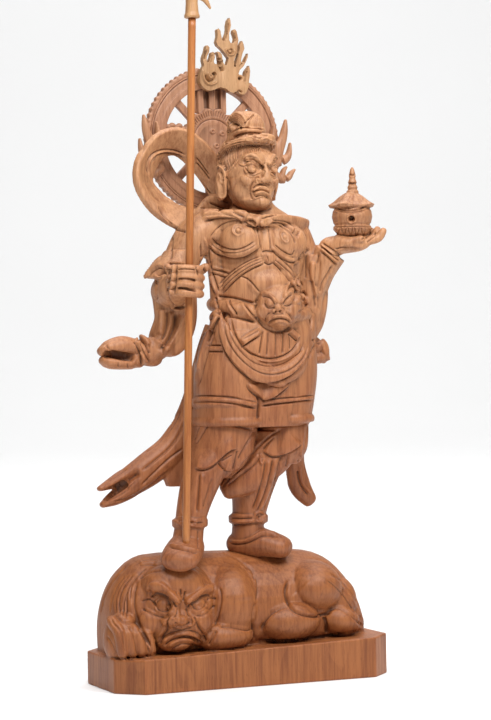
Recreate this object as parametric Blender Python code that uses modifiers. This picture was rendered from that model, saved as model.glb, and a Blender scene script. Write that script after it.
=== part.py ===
"""Carved wooden guardian figure with a trident and a small pagoda, standing on a crouching demon.

Millimetres below are turned into metres by MM. The figure faces -Y, +Z is up, and the origin is the
centre of the plinth's underside.
"""

import math

import bmesh
import bpy
from mathutils import Euler, Matrix, Vector

MM = 0.001

# Plinth
PLINTH_LENGTH = 123.0
PLINTH_DEPTH = 53.0
PLINTH_CORNER = 10.0
PLINTH_TOP_LEFT = 13.8
PLINTH_TOP_RIGHT = 17.0

# Figure
HEAD_CENTRE = (5.6, -6.0, 211.0)
HEAD_TURN = 12.0
FIST_CENTRE = (-28.2, -20.4, 166.6)
PALM_TOP = 184.9

# Halo
HALO_CENTRE = (1.8, 24.0, 228.6)
HALO_TURN = 3.0
HALO_RADIUS = 32.3
HALO_RIM_INNER = 22.9
HUB_RADIUS = 13.6
HUB_LOBES = 14
HALO_THICKNESS = 3.6
SPOKES = 8
STEM_HALF = 2.6
STEM_FOOT_Z = 178.6
STEM_SEAT_Y = 10.6
FLAME_Y = -4.2
FLAME_BACK = -2.1

# Trident
SHAFT_RADIUS = 1.6
SHAFT_FOOT = (-30.4, -19.5, 58.4)
SHAFT_TOP = (-24.6, -21.5, 274.0)
SOCKET_HEIGHT = 11.0
PRONG_HEIGHT = 30.0

# Pagoda
PAGODA_AXIS = (49.0, -16.0)
PAGODA_BODY_RADIUS = 8.6
PAGODA_ROOF_HALF = 8.3
DOOR_TURN = math.radians(23.0)

# Soles: a point on each, and how the sole is turned
RIGHT_SOLE = (-29.5, -14.0, 51.4)
RIGHT_SOLE_TURN = (7.0, 0.0, -32.0)
LEFT_SOLE = (9.0, -3.5, 52.4)
LEFT_SOLE_TURN = (0.0, 0.0, 50.0)

# Clearance left between neighbouring nodes
GAP = 0.3
CLEAR = 0.35


def clear_scene():
    for obj in list(bpy.data.objects):
        bpy.data.objects.remove(obj, do_unlink=True)


def collection(name, hidden=False):
    made = bpy.data.collections.new(name)
    made.hide_render = hidden
    bpy.context.scene.collection.children.link(made)
    return made


def wood(name, colour, roughness):
    made = bpy.data.materials.new(name)
    made.use_nodes = True
    shader = made.node_tree.nodes["Principled BSDF"]
    shader.inputs["Base Color"].default_value = (*colour, 1.0)
    shader.inputs["Roughness"].default_value = roughness
    made.diffuse_color = (*colour, 1.0)
    return made


# Shapes: each helper below adds one closed shell to a bmesh

def eased(rows, steps):
    """Rows of numbers with Catmull-Rom rows put in between."""
    found = []
    last = len(rows) - 1
    for index in range(last):
        before = rows[max(index - 1, 0)]
        start = rows[index]
        end = rows[index + 1]
        after = rows[min(index + 2, last)]
        for step in range(steps):
            t = step / steps
            row = []
            for a, b, c, d in zip(before, start, end, after):
                curve = 2 * b + (c - a) * t + (2 * a - 5 * b + 4 * c - d) * t * t
                row.append(0.5 * (curve + (3 * b - a - 3 * c + d) * t ** 3))
            found.append(row)
    found.append(list(rows[last]))
    return found


def skin(shape, rings, closed=False):
    """Faces over rings of points; the two ends are capped unless the rings close on themselves."""
    loops = [[shape.verts.new(Vector(p) * MM) for p in ring] for ring in rings]
    pairs = list(zip(loops, loops[1:]))
    if closed:
        pairs.append((loops[-1], loops[0]))
    for low, high in pairs:
        for k in range(len(low)):
            n = (k + 1) % len(low)
            shape.faces.new((low[k], low[n], high[n], high[k]))
    if not closed:
        shape.faces.new(list(reversed(loops[0])))
        shape.faces.new(loops[-1])


def limb(shape, rows, side=(1, 0, 0), sides=16, steps=4, power=2.0, round_ends=True):
    """A loft along rows of (x, y, z, half width, half depth), its width lying along side."""
    fine = eased(rows, steps)
    spine = [Vector(row[:3]) for row in fine]
    rings = []
    for index, row in enumerate(fine):
        ahead = spine[min(index + 1, len(spine) - 1)] - spine[max(index - 1, 0)]
        ahead.normalize()
        across = Vector(side) - ahead * Vector(side).dot(ahead)
        across.normalize()
        deep = ahead.cross(across)
        spots = [(0.0, 1.0)]
        if round_ends and index == 0:
            spots = [(-0.85, 0.5), (-0.5, 0.85), (0.0, 1.0)]
        if round_ends and index == len(fine) - 1:
            spots = [(0.0, 1.0), (0.5, 0.85), (0.85, 0.5)]
        for shift, scale in spots:
            centre = spine[index] + ahead * shift * min(row[3], row[4])
            ring = []
            for k in range(sides):
                angle = 2 * math.pi * k / sides
                c = math.cos(angle)
                s = math.sin(angle)
                u = math.copysign(abs(c) ** (2 / power), c) * row[3] * scale
                v = math.copysign(abs(s) ** (2 / power), s) * row[4] * scale
                ring.append(centre + across * u + deep * v)
            rings.append(ring)
    skin(shape, rings)


def stack(shape, rows, sides=24, steps=3, waves=0, swell=0.0, start=0.0):
    """A loft of level ellipses from rows of (z, x, y, half width, half depth), with folds if asked."""
    rings = []
    fine = eased(rows, steps)
    for index, (z, x, y, half_x, half_y) in enumerate(fine):
        share = swell * index / (len(fine) - 1)
        ring = []
        for k in range(sides):
            angle = 2 * math.pi * k / sides
            grow = 1 + share * math.cos(waves * angle + start)
            ring.append((x + half_x * grow * math.cos(angle), y + half_y * grow * math.sin(angle), z))
        rings.append(ring)
    if rows[0][0] > rows[-1][0]:
        rings.reverse()
    skin(shape, rings)


def ball(shape, at, half, turn=(0, 0, 0), segments=20):
    angles = Euler([math.radians(a) for a in turn])
    matrix = Matrix.Translation(Vector(at) * MM) @ angles.to_matrix().to_4x4()
    matrix = matrix @ Matrix.Diagonal((half[0] * MM, half[1] * MM, half[2] * MM, 1.0))
    bmesh.ops.create_uvsphere(shape, u_segments=segments, v_segments=segments // 2, radius=1.0, matrix=matrix)


def slab(shape, outline, y_front, y_back):
    """A flat plate from an (x, z) outline, between two depths."""
    skin(shape, [[(x, y_back, z) for x, z in outline], [(x, y_front, z) for x, z in outline]])


def turned(shape, axis, rows, sides=24):
    """A turned form about a vertical axis from rows of (z, radius)."""
    stack(shape, [(z, axis[0], axis[1], r, r) for z, r in rows], sides=sides, steps=1)


def place(shape, local, matrix):
    """Adds the local shape to another one, moved by the matrix."""
    bmesh.ops.transform(local, matrix=matrix, verts=local.verts)
    step = bpy.data.meshes.new("step")
    local.to_mesh(step)
    local.free()
    shape.from_mesh(step)
    bpy.data.meshes.remove(step)


def add_object(name, shape, home, material=None):
    mesh = bpy.data.meshes.new(name)
    bmesh.ops.recalc_face_normals(shape, faces=shape.faces)
    shape.to_mesh(mesh)
    shape.free()
    obj = bpy.data.objects.new(name, mesh)
    home.objects.link(obj)
    if material:
        mesh.materials.append(material)
    else:
        obj.display_type = "WIRE"
    return obj


def carve(obj, voxel, rounds, triangles):
    """Fuses the shells into one skin, eases it and thins it to about the given number of triangles."""
    fuse = obj.modifiers.new("Fuse", "REMESH")
    fuse.mode = "VOXEL"
    fuse.voxel_size = voxel * MM
    if rounds:
        ease = obj.modifiers.new("Ease", "SMOOTH")
        ease.factor = 0.5
        ease.iterations = rounds
    seen = obj.evaluated_get(bpy.context.evaluated_depsgraph_get())
    found = sum(len(face.vertices) - 2 for face in seen.data.polygons)
    thin = obj.modifiers.new("Thin", "DECIMATE")
    thin.ratio = min(1.0, triangles / found)


def cut(obj, cutter, operation="DIFFERENCE"):
    step = obj.modifiers.new("Cut " + cutter.name, "BOOLEAN")
    step.operation = operation
    step.solver = "EXACT"
    step.object = cutter


# The figure, part by part

def add_trunk(shape):
    """Armoured trunk from the hips to the neck, with the shoulder cape and its knot."""
    stack(shape, [
        (122, 10.5, -3.0, 20, 14),
        (130, 11.0, -3.0, 22, 16),
        (138, 11.3, -3.0, 22.8, 17),
        (148, 10.8, -3.5, 21.4, 16.4),
        (156, 10.2, -4.0, 19, 15),
        (163, 10.0, -4.4, 18.0, 15.0),
        (170, 10.2, -4.4, 18.6, 15.2),
        (178, 10.6, -4.2, 20.4, 15.4),
        (185, 10.6, -3.5, 21.6, 15.2),
        (190, 10.4, -2.5, 20.5, 13.5),
        (195, 10.2, -2.0, 15, 10.5),
        (199, 9.0, -3.0, 9.2, 9),
        (204, 7.0, -4.0, 7.6, 8.5),
    ])
    ball(shape, (0.2, -12.0, 183.6), (9.8, 8.4, 8.8), segments=24)
    ball(shape, (19.4, -12.0, 182.6), (9.4, 8.4, 8.8), segments=24)
    ball(shape, (10.6, -9.5, 165.5), (13.4, 12.4, 10.4), segments=24)
    ball(shape, (-10.0, -2, 188.0), (8.5, 9, 7))
    ball(shape, (28.8, -1, 186.0), (6.6, 9, 6.4))
    limb(shape, [(-11, -3, 187, 3.6, 4.6), (-9.6, -4, 177, 3.4, 4.6), (-8.4, -4, 167, 3.2, 4.4), (-8.6, -4, 159, 2.6, 4)])
    for rows in (
        [(-13, -7, 190.5, 2.4, 1.7), (-6, -13.4, 192.2, 2.4, 1.7), (0, -17.4, 193.6, 2.2, 1.7), (4.4, -19.0, 192.6, 2.0, 1.6)],
        [(31, -6, 189.6, 2.4, 1.7), (23, -13.4, 191.0, 2.4, 1.7), (13, -17.6, 193.0, 2.2, 1.7), (5.4, -19.2, 192.6, 2.0, 1.6)],
    ):
        limb(shape, rows, side=(0, -0.4, 0.9))
    ball(shape, (4.8, -19.8, 192.0), (3.0, 2.2, 2.2), (0, 15, 0))
    ball(shape, (0.6, -20.4, 186.2), (2.0, 1.4, 2.0))
    ball(shape, (20.4, -20.0, 184.8), (2.0, 1.4, 2.0))
    for rows in (
        [(-10, -10, 179.5), (-4.5, -17.0, 176.2), (2.5, -20.2, 175.8), (8.6, -19.6, 178.4)],
        [(28.5, -9.6, 179.0), (23.6, -16.6, 175.6), (16.6, -20.0, 175.0), (10.8, -19.6, 178.0)],
        [(9.8, -19.8, 190.0), (10.0, -19.8, 184.0), (9.8, -19.6, 178.0), (9.6, -21.0, 173.6)],
        [(9.6, -21.4, 173.6), (2.0, -20.6, 168.5), (-4.0, -17.4, 164.0), (-7.6, -13.6, 159.0)],
        [(9.6, -21.4, 173.6), (17.0, -20.4, 169.0), (22.6, -16.6, 164.6), (26.6, -12.0, 160.4)],
    ):
        limb(shape, [(*row, 1.5, 1.3) for row in rows], side=(0, 0, 1), sides=8, steps=3)


def add_belt(shape):
    """Twisted belt, the mask buckle and the half-round apron below it."""
    ring = []
    for k in range(25):
        angle = 2 * math.pi * k / 24
        high = 155.4 + 2.4 * math.sin(angle) - 1.6 * math.cos(angle)
        ring.append((10.6 + 19.8 * math.cos(angle), -4.0 + 16.2 * math.sin(angle), high, 3.0, 3.0))
    limb(shape, ring, side=(0, 0, 1), steps=1, sides=10, round_ends=False)
    local = bmesh.new()
    ball(local, (0, 0.6, 0), (10.2, 5.6, 9.4), segments=24)
    ball(local, (0, -3.2, -3.2), (5.4, 3.6, 5.0))
    ball(local, (0, -5.4, -0.6), (2.6, 2.2, 2.2))
    for mirror in (-1, 1):
        ball(local, (mirror * 4.4, -3.8, 2.8), (2.8, 2.4, 2.0))
        ball(local, (mirror * 4.8, -3.4, 5.6), (3.8, 2.2, 1.6), (0, -mirror * 24, 0))
        ball(local, (mirror * 6.0, -2.4, -2.6), (3.0, 3.0, 3.4))
        ball(local, (mirror * 7.0, -0.6, 8.0), (2.2, 2.2, 3.0), (0, mirror * 20, 0))
    limb(local, [(-3.8, -5.0, -6.0, 0.9, 1.4), (0, -7.0, -4.8, 0.9, 1.4), (3.8, -5.0, -6.0, 0.9, 1.4)], side=(0, 0, 1))
    place(shape, local, Matrix.Translation(Vector((13.0, -20.4, 156.0)) * MM) @ Matrix.Rotation(math.radians(6), 4, "Z"))
    border = [
        (-12.6, -11.5, 153.0),
        (-11.4, -15.4, 145.0),
        (-7.8, -18.6, 137.6),
        (-1.6, -21.0, 131.2),
        (5.6, -22.0, 128.0),
        (12.4, -21.8, 127.6),
        (19.4, -20.2, 130.0),
        (26.0, -16.4, 135.4),
        (31.0, -11.4, 143.6),
        (33.0, -7.6, 151.0),
    ]
    limb(shape, [(x, y, z, 4.0, 1.9) for x, y, z in border], side=(0, 0, 1), sides=12)
    limb(shape, [
        (9.5, -14.0, 152, 19.0, 5.4),
        (9.7, -15.0, 144, 19.4, 5.8),
        (9.6, -15.6, 136, 15.5, 5.8),
        (9.4, -16.4, 129, 9.0, 5.0),
        (7.6, -18.4, 122, 6.0, 3.0),
        (6.0, -20.4, 117.4, 2.0, 1.4),
    ], side=(1, 0, 0), sides=20)


def add_skirt(shape):
    """Armour panels over both thighs, and the cloth hems below them."""
    stack(shape, [
        (151, 10.3, -3.6, 19.6, 15.4),
        (145, 10.4, -3.2, 22.3, 16.8),
        (132, 9.8, -3.0, 25.0, 17.8),
        (118, 9.0, -3.0, 24.8, 17.8),
        (106, 8.4, -3.0, 23.6, 17.0),
    ])
    stack(shape, [
        (146, -1.6, -5.0, 13.0, 15.0),
        (138, -3.2, -5.3, 14.4, 15.4),
        (130, -4.0, -5.6, 15.0, 15.8),
        (116, -4.6, -6.0, 15.2, 15.9),
        (103.6, -5.2, -6.2, 15.3, 15.6),
    ])
    stack(shape, [
        (146, 22.5, -3.5, 12.0, 14.6),
        (130, 22.4, -3.8, 13.0, 15.4),
        (116, 21.0, -4.0, 12.5, 15.4),
        (101.8, 19.8, -4.2, 11.4, 15.0),
    ])
    for z in (114.8, 105.2):
        panel_band(shape, (-4.8, -6.0, z), (15.6, 16.3))
        panel_band(shape, (20.6, -4.0, z - 1.6), (12.2, 15.7))
    stack(shape, [
        (106, -6.6, -5.5, 13.8, 13.8),
        (96, -8.6, -5.8, 13.4, 13.0),
        (90, -10.6, -6.0, 11.4, 11.4),
        (85.2, -13.6, -6.4, 7.6, 8.8),
    ], waves=7, swell=0.04)
    stack(shape, [
        (104, 19.8, -3.5, 12.0, 13.4),
        (96, 19.4, -3.5, 11.4, 12.4),
        (90, 18.4, -3.4, 8.6, 9.5),
    ], waves=7, swell=0.05)
    limb(shape, [
        (23, -8, 102, 8, 5),
        (15, -9, 94, 8, 5),
        (3, -8, 85, 7, 4.4),
        (-5.5, -5, 80.0, 4.5, 3.4),
    ], side=(0.5, 0, 0.86))
    stack(shape, [
        (106, 5.0, 6.0, 23, 9),
        (96, 2.0, 6.5, 24, 8),
        (88, -4.0, 7.0, 25.6, 6.5),
        (81.4, -12.0, 7.5, 16, 5),
    ], waves=9, swell=0.06)


def panel_band(shape, centre, half):
    """Raised edging round one armour panel."""
    x, y, z = centre
    ring = []
    for k in range(21):
        angle = 2 * math.pi * k / 20
        ring.append((x + half[0] * math.cos(angle), y + half[1] * math.sin(angle), z, 1.6, 0.9))
    limb(shape, ring, side=(0, 0, 1), steps=1, sides=8, round_ends=False)


def add_legs(shape):
    """Trousers drawn in at the ankles, ankle ties, and the two shoes."""
    stack(shape, [
        (104, -7.6, -6.0, 11, 11),
        (92, -14.6, -7.5, 9.8, 9.8),
        (83, -19.2, -8.5, 8.4, 8.6),
        (74, -23.0, -10.0, 7.0, 7.4),
        (66, -25.4, -11.0, 6.1, 6.8),
        (60, -26.6, -11.5, 6.3, 7.0),
        (55, -27.2, -12.0, 6.0, 6.6),
    ])
    stack(shape, [
        (104, 16.0, -3.0, 12, 12),
        (92, 11.0, -2.5, 11.0, 10.8),
        (82, 7.6, -2.0, 9.4, 9.8),
        (74, 6.4, -1.2, 7.8, 8.4),
        (66, 5.4, -0.6, 6.6, 7.6),
        (60, 5.2, 0.0, 6.8, 7.4),
        (56, 5.0, 0.6, 7.2, 7.4),
    ])
    turned(shape, (-25.2, -10.9), [(65.2, 6.0), (65.8, 7.4), (68.6, 7.5), (69.2, 6.2)])
    turned(shape, (5.4, -0.6), [(65.0, 7.0), (65.6, 8.3), (68.4, 8.4), (69.2, 7.2)])
    limb(shape, [
        (-25.0, -6.5, 57.6, 6.6, 5.2),
        (-27.6, -12.5, 57.4, 7.6, 6.4),
        (-31.4, -17.5, 55.0, 8.4, 5.6),
        (-34.4, -21.5, 53.0, 8.0, 4.8),
    ], side=(0.85, -0.5, 0))
    limb(shape, [
        (2.0, 3.0, 56.5, 6.2, 5.0),
        (7.0, -2.0, 57.4, 7.0, 6.6),
        (12.5, -6.5, 56.4, 7.2, 5.6),
        (16.4, -9.6, 55.2, 6.8, 4.8),
    ], side=(0.64, 0.77, 0))


def add_right_arm(shape):
    """Arm holding the shaft, with a flared upper sleeve and a long hanging one tied in a knot."""
    limb(shape, [
        (-10.0, -2.0, 190.0, 8.0, 8.6),
        (-18.0, -2.0, 185.0, 8.0, 8.4),
        (-23.6, -2.0, 175.5, 7.6, 8.0),
        (-27.8, -2.0, 166.0, 7.0, 7.4),
    ], side=(1, 0, 0.3))
    stack(shape, [
        (180.0, -23.6, -3.0, 7.2, 8.0),
        (174.5, -26.6, -3.2, 8.6, 8.8),
        (169.4, -29.4, -3.2, 9.6, 9.4),
        (168.4, -30.0, -3.2, 8.2, 8.2),
    ])
    limb(shape, [
        (-29.4, -1.0, 163.0, 7.4, 7.4),
        (-30.0, -8.0, 163.5, 7.2, 7.4),
        (-29.6, -14.5, 164.6, 6.4, 6.8),
    ], side=(1, 0, 0))
    limb(shape, [
        (-26.8, -2.0, 161.0, 9.6, 6.6),
        (-27.2, -3.5, 151.0, 9.0, 5.8),
        (-31.0, -4.8, 143.6, 8.4, 5.0),
        (-37.0, -5.8, 138.6, 6.8, 4.6),
        (-43.5, -6.2, 137.8, 5.2, 4.4),
    ], side=(0.85, 0, 0.53), round_ends=False)
    ball(shape, (-43.4, -6.2, 137.9), (3.0, 5.4, 6.6), (0, 14, 0))
    limb(shape, [
        (-45.0, -6.4, 139.6, 3.4, 4.2),
        (-52.0, -7.0, 140.6, 4.2, 4.8),
        (-58.0, -7.6, 139.8, 3.4, 4.4),
        (-60.6, -7.8, 139.0, 2.2, 3.6),
    ], side=(0, 0, 1))
    limb(shape, [
        (-45.0, -6.4, 135.0, 3.4, 4.0),
        (-52.0, -7.0, 134.0, 2.9, 4.6),
        (-58.0, -7.6, 133.8, 2.4, 4.2),
        (-60.4, -7.8, 134.6, 1.8, 3.6),
    ], side=(0, 0, 1))
    ball(shape, (-51.0, -4.0, 137.3), (9.0, 2.4, 4.0))


def add_right_hand(shape):
    """Fist round the shaft: the back of the hand, four curled fingers and the thumb."""
    x, y, z = FIST_CENTRE
    ball(shape, (x - 1.4, y + 3.4, z - 0.6), (6.2, 5.4, 7.4))
    for k in range(4):
        high = z + 5.0 - 3.3 * k
        reach = 6.6 - 0.25 * k
        limb(shape, [
            (x - reach, y + 2.0, high, 1.75, 2.2),
            (x - 3.4, y - 3.4, high, 1.75, 2.2),
            (x + 2.6, y - 3.8, high - 0.3, 1.75, 2.1),
            (x + reach - 0.6, y - 0.2, high - 0.5, 1.7, 2.0),
        ], side=(0, 0, 1), sides=12, steps=3)
    limb(shape, [
        (x + 3.6, y + 4.0, z + 3.0, 2.2, 2.2),
        (x + 6.8, y + 1.4, z + 4.6, 2.0, 2.0),
        (x + 7.2, y - 2.2, z + 5.6, 1.8, 1.7),
    ], side=(0, 0, 1), sides=12, steps=3)


def add_left_arm(shape):
    """Raised forearm in a wide sleeve, and the knotted end at the hip."""
    limb(shape, [
        (29.0, -1.0, 186.6, 6.4, 8.4),
        (31.8, -2.0, 178.0, 6.8, 8.0),
        (34.0, -3.0, 168.0, 8.0, 7.8),
        (34.6, -3.0, 158.0, 7.8, 7.0),
        (34.4, -2.0, 148.0, 6.2, 5.6),
        (34.8, -1.6, 143.0, 3.0, 4.0),
    ], side=(1, 0, 0))
    limb(shape, [
        (34.4, -4.0, 162.0, 6.8, 6.8),
        (37.4, -7.5, 171.0, 6.4, 6.6),
        (41.2, -10.5, 178.9, 7.0, 6.8),
    ], side=(1, 0, -0.3), round_ends=False)
    ball(shape, (41.6, -0.5, 137.0), (2.7, 3.0, 5.2))
    ball(shape, (38.6, -1.0, 134.4), (4.6, 3.0, 2.6))
    ball(shape, (37.2, -1.0, 139.6), (3.6, 3.0, 4.0))


def add_left_hand(shape):
    """Open hand, palm up, the fingertips turned up beside the pagoda."""
    limb(shape, [
        (40.6, -10.6, 180.8, 5.0, 4.8),
        (44.6, -13.8, 182.0, 6.6, 4.0),
        (49.4, -15.8, 182.2, 7.4, 3.4),
        (53.4, -16.8, 183.6, 6.8, 3.0),
    ], side=(0.4, -0.9, 0))
    for k in range(4):
        out = -5.0 + 3.3 * k
        rise = (0.2, 1.0, 0.6, -0.6)[k]
        limb(shape, [
            (52.0 - 0.4 * out, -16.8 + 0.9 * out, 183.4, 1.9, 1.9),
            (56.4 - 0.4 * out, -17.6 + 0.9 * out, 184.6, 1.8, 1.8),
            (58.4 - 0.4 * out, -18.0 + 0.9 * out, 187.4 + rise, 1.5, 1.5),
        ], side=(0, 1, 0), sides=12, steps=3)
    limb(shape, [
        (42.6, -15.6, 180.6, 2.0, 2.0),
        (45.6, -19.6, 182.6, 1.9, 1.9),
        (49.6, -22.8, 184.0, 1.7, 1.7),
    ], side=(0, 0, 1), sides=12, steps=3)


def add_scarf(shape):
    """Broad scarf floating in a ring behind the right shoulder."""
    path = [
        (9.0, 11.0, 196.0),
        (3.9, 12.0, 203.6),
        (-6.0, 12.0, 217.6),
        (-17.6, 11.0, 226.4),
        (-29.0, 9.0, 224.0),
        (-36.2, 8.0, 211.6),
        (-32.6, 6.0, 201.6),
        (-24.4, 4.0, 195.2),
        (-15.0, 1.0, 192.0),
    ]
    centre = Vector((-17.0, 9.0, 208.0))
    fine = eased(path, 4)
    rings = []
    for index, spot in enumerate(fine):
        here = Vector(spot)
        ahead = Vector(fine[min(index + 1, len(fine) - 1)]) - Vector(fine[max(index - 1, 0)])
        ahead.normalize()
        out = here - centre
        out.y = 0.0
        out = out - ahead * out.dot(ahead)
        out.normalize()
        flat = out * 0.8 + Vector((0, -0.6, 0))
        flat = flat - ahead * flat.dot(ahead)
        flat.normalize()
        thick = ahead.cross(flat)
        wide = 6.4
        rings.append([
            here + flat * wide + thick * 1.3,
            here + flat * wide * 0.4 + thick * 1.7,
            here - flat * wide * 0.4 + thick * 1.7,
            here - flat * wide + thick * 1.3,
            here - flat * wide - thick * 1.3,
            here - flat * wide * 0.4 - thick * 1.7,
            here + flat * wide * 0.4 - thick * 1.7,
            here + flat * wide - thick * 1.3,
        ])
    skin(shape, rings)
    limb(shape, [(3.0, 9.0, 201.0, 4.0, 2.4), (-6.0, 7.0, 199.0, 5.0, 2.4), (-14.0, 3.0, 191.0, 5.0, 2.6)], side=(0, 0, 1))


def add_tails(shape):
    """Robe tail blown out to the right, open at its forked end, and the scarf end on the left."""
    limb(shape, [
        (-5.0, 5.0, 148.0, 5.0, 5.4),
        (-7.6, 6.0, 138.6, 5.4, 6.0),
        (-11.2, 7.0, 124.0, 5.8, 6.6),
        (-16.6, 8.0, 109.0, 6.0, 7.0),
        (-24.8, 8.0, 97.2, 6.0, 7.2),
        (-35.0, 8.0, 89.6, 5.8, 7.2),
        (-43.6, 8.0, 84.4, 5.4, 6.4),
        (-47.0, 8.0, 82.4, 5.0, 5.6),
    ], side=(0, 1, 0), round_ends=False)
    limb(shape, [
        (-40.0, 8.6, 88.6, 5.2, 3.4),
        (-47.0, 8.6, 86.0, 5.0, 3.2),
        (-53.0, 8.4, 83.4, 4.0, 2.2),
        (-57.6, 8.2, 81.6, 2.6, 1.1),
    ], side=(0, 1, 0))
    limb(shape, [
        (-40.0, 8.0, 83.4, 5.2, 3.6),
        (-46.0, 8.0, 80.2, 4.8, 3.8),
        (-52.0, 8.0, 77.2, 4.0, 3.0),
        (-56.4, 8.0, 75.0, 2.6, 1.4),
    ], side=(0, 1, 0))
    limb(shape, [
        (31.0, 4.0, 118.0, 4.0, 5.0),
        (31.4, 6.0, 104.0, 4.2, 4.6),
        (31.0, 8.0, 90.6, 4.4, 3.8),
        (33.2, 8.0, 79.8, 5.0, 3.0),
        (38.0, 8.0, 73.0, 3.4, 2.2),
    ], side=(0.85, 0, 0.5))


def add_head(shape):
    """Frowning head with a headband and a topknot, turned a little to its left."""
    local = bmesh.new()
    ball(local, (0, 1.0, 3.4), (12.0, 13.8, 13.0), segments=28)
    ball(local, (0, -2.6, -3.6), (11.2, 10.8, 11.0), segments=24)
    ball(local, (0, -4.6, -9.0), (8.8, 7.4, 5.8), segments=24)
    ball(local, (0, -9.4, -10.8), (4.4, 3.2, 3.0))
    for mirror in (-1, 1):
        ball(local, (mirror * 5.4, -11.2, 5.4), (4.8, 2.5, 1.9), (0, -mirror * 20, 0))
        ball(local, (mirror * 5.0, -11.8, 2.0), (2.4, 2.0, 1.8))
        ball(local, (mirror * 6.8, -9.4, -2.8), (3.6, 3.6, 3.4))
        ball(local, (mirror * 12.0, 0.6, -3.4), (1.8, 3.4, 7.0), (6, 0, 0))
        ball(local, (mirror * 2.4, -13.4, -2.4), (1.9, 1.8, 1.6))
    limb(local, [(0, -11.6, 4.0, 1.5, 2.0), (0, -13.0, 0.6, 1.8, 2.0), (0, -14.2, -1.9, 2.2, 1.8)])
    limb(local, [(-4.8, -11.2, -8.6, 1.2, 1.6), (0, -13.2, -6.4, 1.3, 1.8), (4.8, -11.2, -8.6, 1.2, 1.6)], side=(0, 0, 1))
    ball(local, (0, -12.4, -8.6), (3.0, 1.6, 1.1))
    band = []
    for k in range(25):
        angle = 2 * math.pi * k / 24
        front = -math.sin(angle)
        band.append((11.6 * math.cos(angle), 1.0 - 12.4 * front, 10.6 + 4.6 * front, 1.4, 1.3))
    limb(local, band, side=(0, 0, 1), steps=1, sides=10, round_ends=False)
    turned(local, (0, 0.8), [(13, 9.0), (16.4, 8.0), (18.6, 7.4)])
    turned(local, (0, 0.6), [(17.0, 7.2), (17.6, 8.2), (19.8, 8.2), (20.4, 7.4)])
    ball(local, (0.6, 1.0, 20.8), (7.6, 8.0, 6.9))
    ball(local, (-5.6, -1.6, 22.4), (3.8, 6.0, 4.6))
    ball(local, (0.8, -12.2, 15.6), (4.6, 1.6, 2.2))
    turn = Matrix.Translation(Vector(HEAD_CENTRE) * MM) @ Matrix.Rotation(math.radians(HEAD_TURN), 4, "Z")
    place(shape, local, turn)


# The demon and its plinth, which are one block

def add_plinth(shape):
    """Low block with cut corners, its top rising a little to the right."""
    x = PLINTH_LENGTH / 2
    y = PLINTH_DEPTH / 2
    c = PLINTH_CORNER
    outline = [(-x + c, -y), (x - c, -y), (x, -y + c), (x, y - c), (x - c, y), (-x + c, y), (-x, y - c), (-x, -y + c)]
    rise = (PLINTH_TOP_RIGHT - PLINTH_TOP_LEFT) / PLINTH_LENGTH
    middle = (PLINTH_TOP_RIGHT + PLINTH_TOP_LEFT) / 2
    low = [(a, b, 0.0) for a, b in outline]
    high = [(a, b, middle + rise * a) for a, b in outline]
    skin(shape, [low, high])


def add_demon_body(shape):
    """Arched back, the thigh, calf and foot folded at the right, the upper arm and the forearm."""
    tops = [(-58, 30, 9), (-57, 37, 13), (-54, 43.8, 16.5), (-50, 48.8, 18.6), (-44, 52.9, 20.4), (-34, 54.4, 21.4)]
    tops += [(0, 53.8, 21.6), (20, 53.4, 21.4), (32, 52.4, 20.6), (40, 49.8, 19), (46, 45.2, 17.5), (51, 39.0, 15.5), (55, 31, 12), (57, 23, 8)]
    local = bmesh.new()
    stack(local, [(x, -(top + 6) / 2, 4.0, (top - 6) / 2, deep) for x, top, deep in tops], sides=28, steps=2)
    place(shape, local, Matrix.Rotation(math.radians(90), 4, "Y"))
    ball(shape, (30.6, -6.5, 37.4), (13.6, 15.6, 11.6), (0, 8, 0), segments=24)
    ball(shape, (17.0, -13.6, 24.6), (14.0, 10.6, 8.6), segments=24)
    ball(shape, (41.0, -12.0, 23.4), (9.6, 9.4, 6.6), (0, 18, 0))
    ball(shape, (42.4, -4.0, 30.6), (10.0, 12.0, 11.4))
    ball(shape, (-8.0, -2.0, 32.0), (15.0, 20.6, 18.6), segments=24)
    ball(shape, (-13.0, -15.0, 20.4), (13.0, 8.6, 6.4))
    ball(shape, (31.0, 14.0, 34.0), (14.0, 10.0, 12.0))
    ball(shape, (20.0, 19.0, 22.0), (13.0, 6.0, 8.0))


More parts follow.
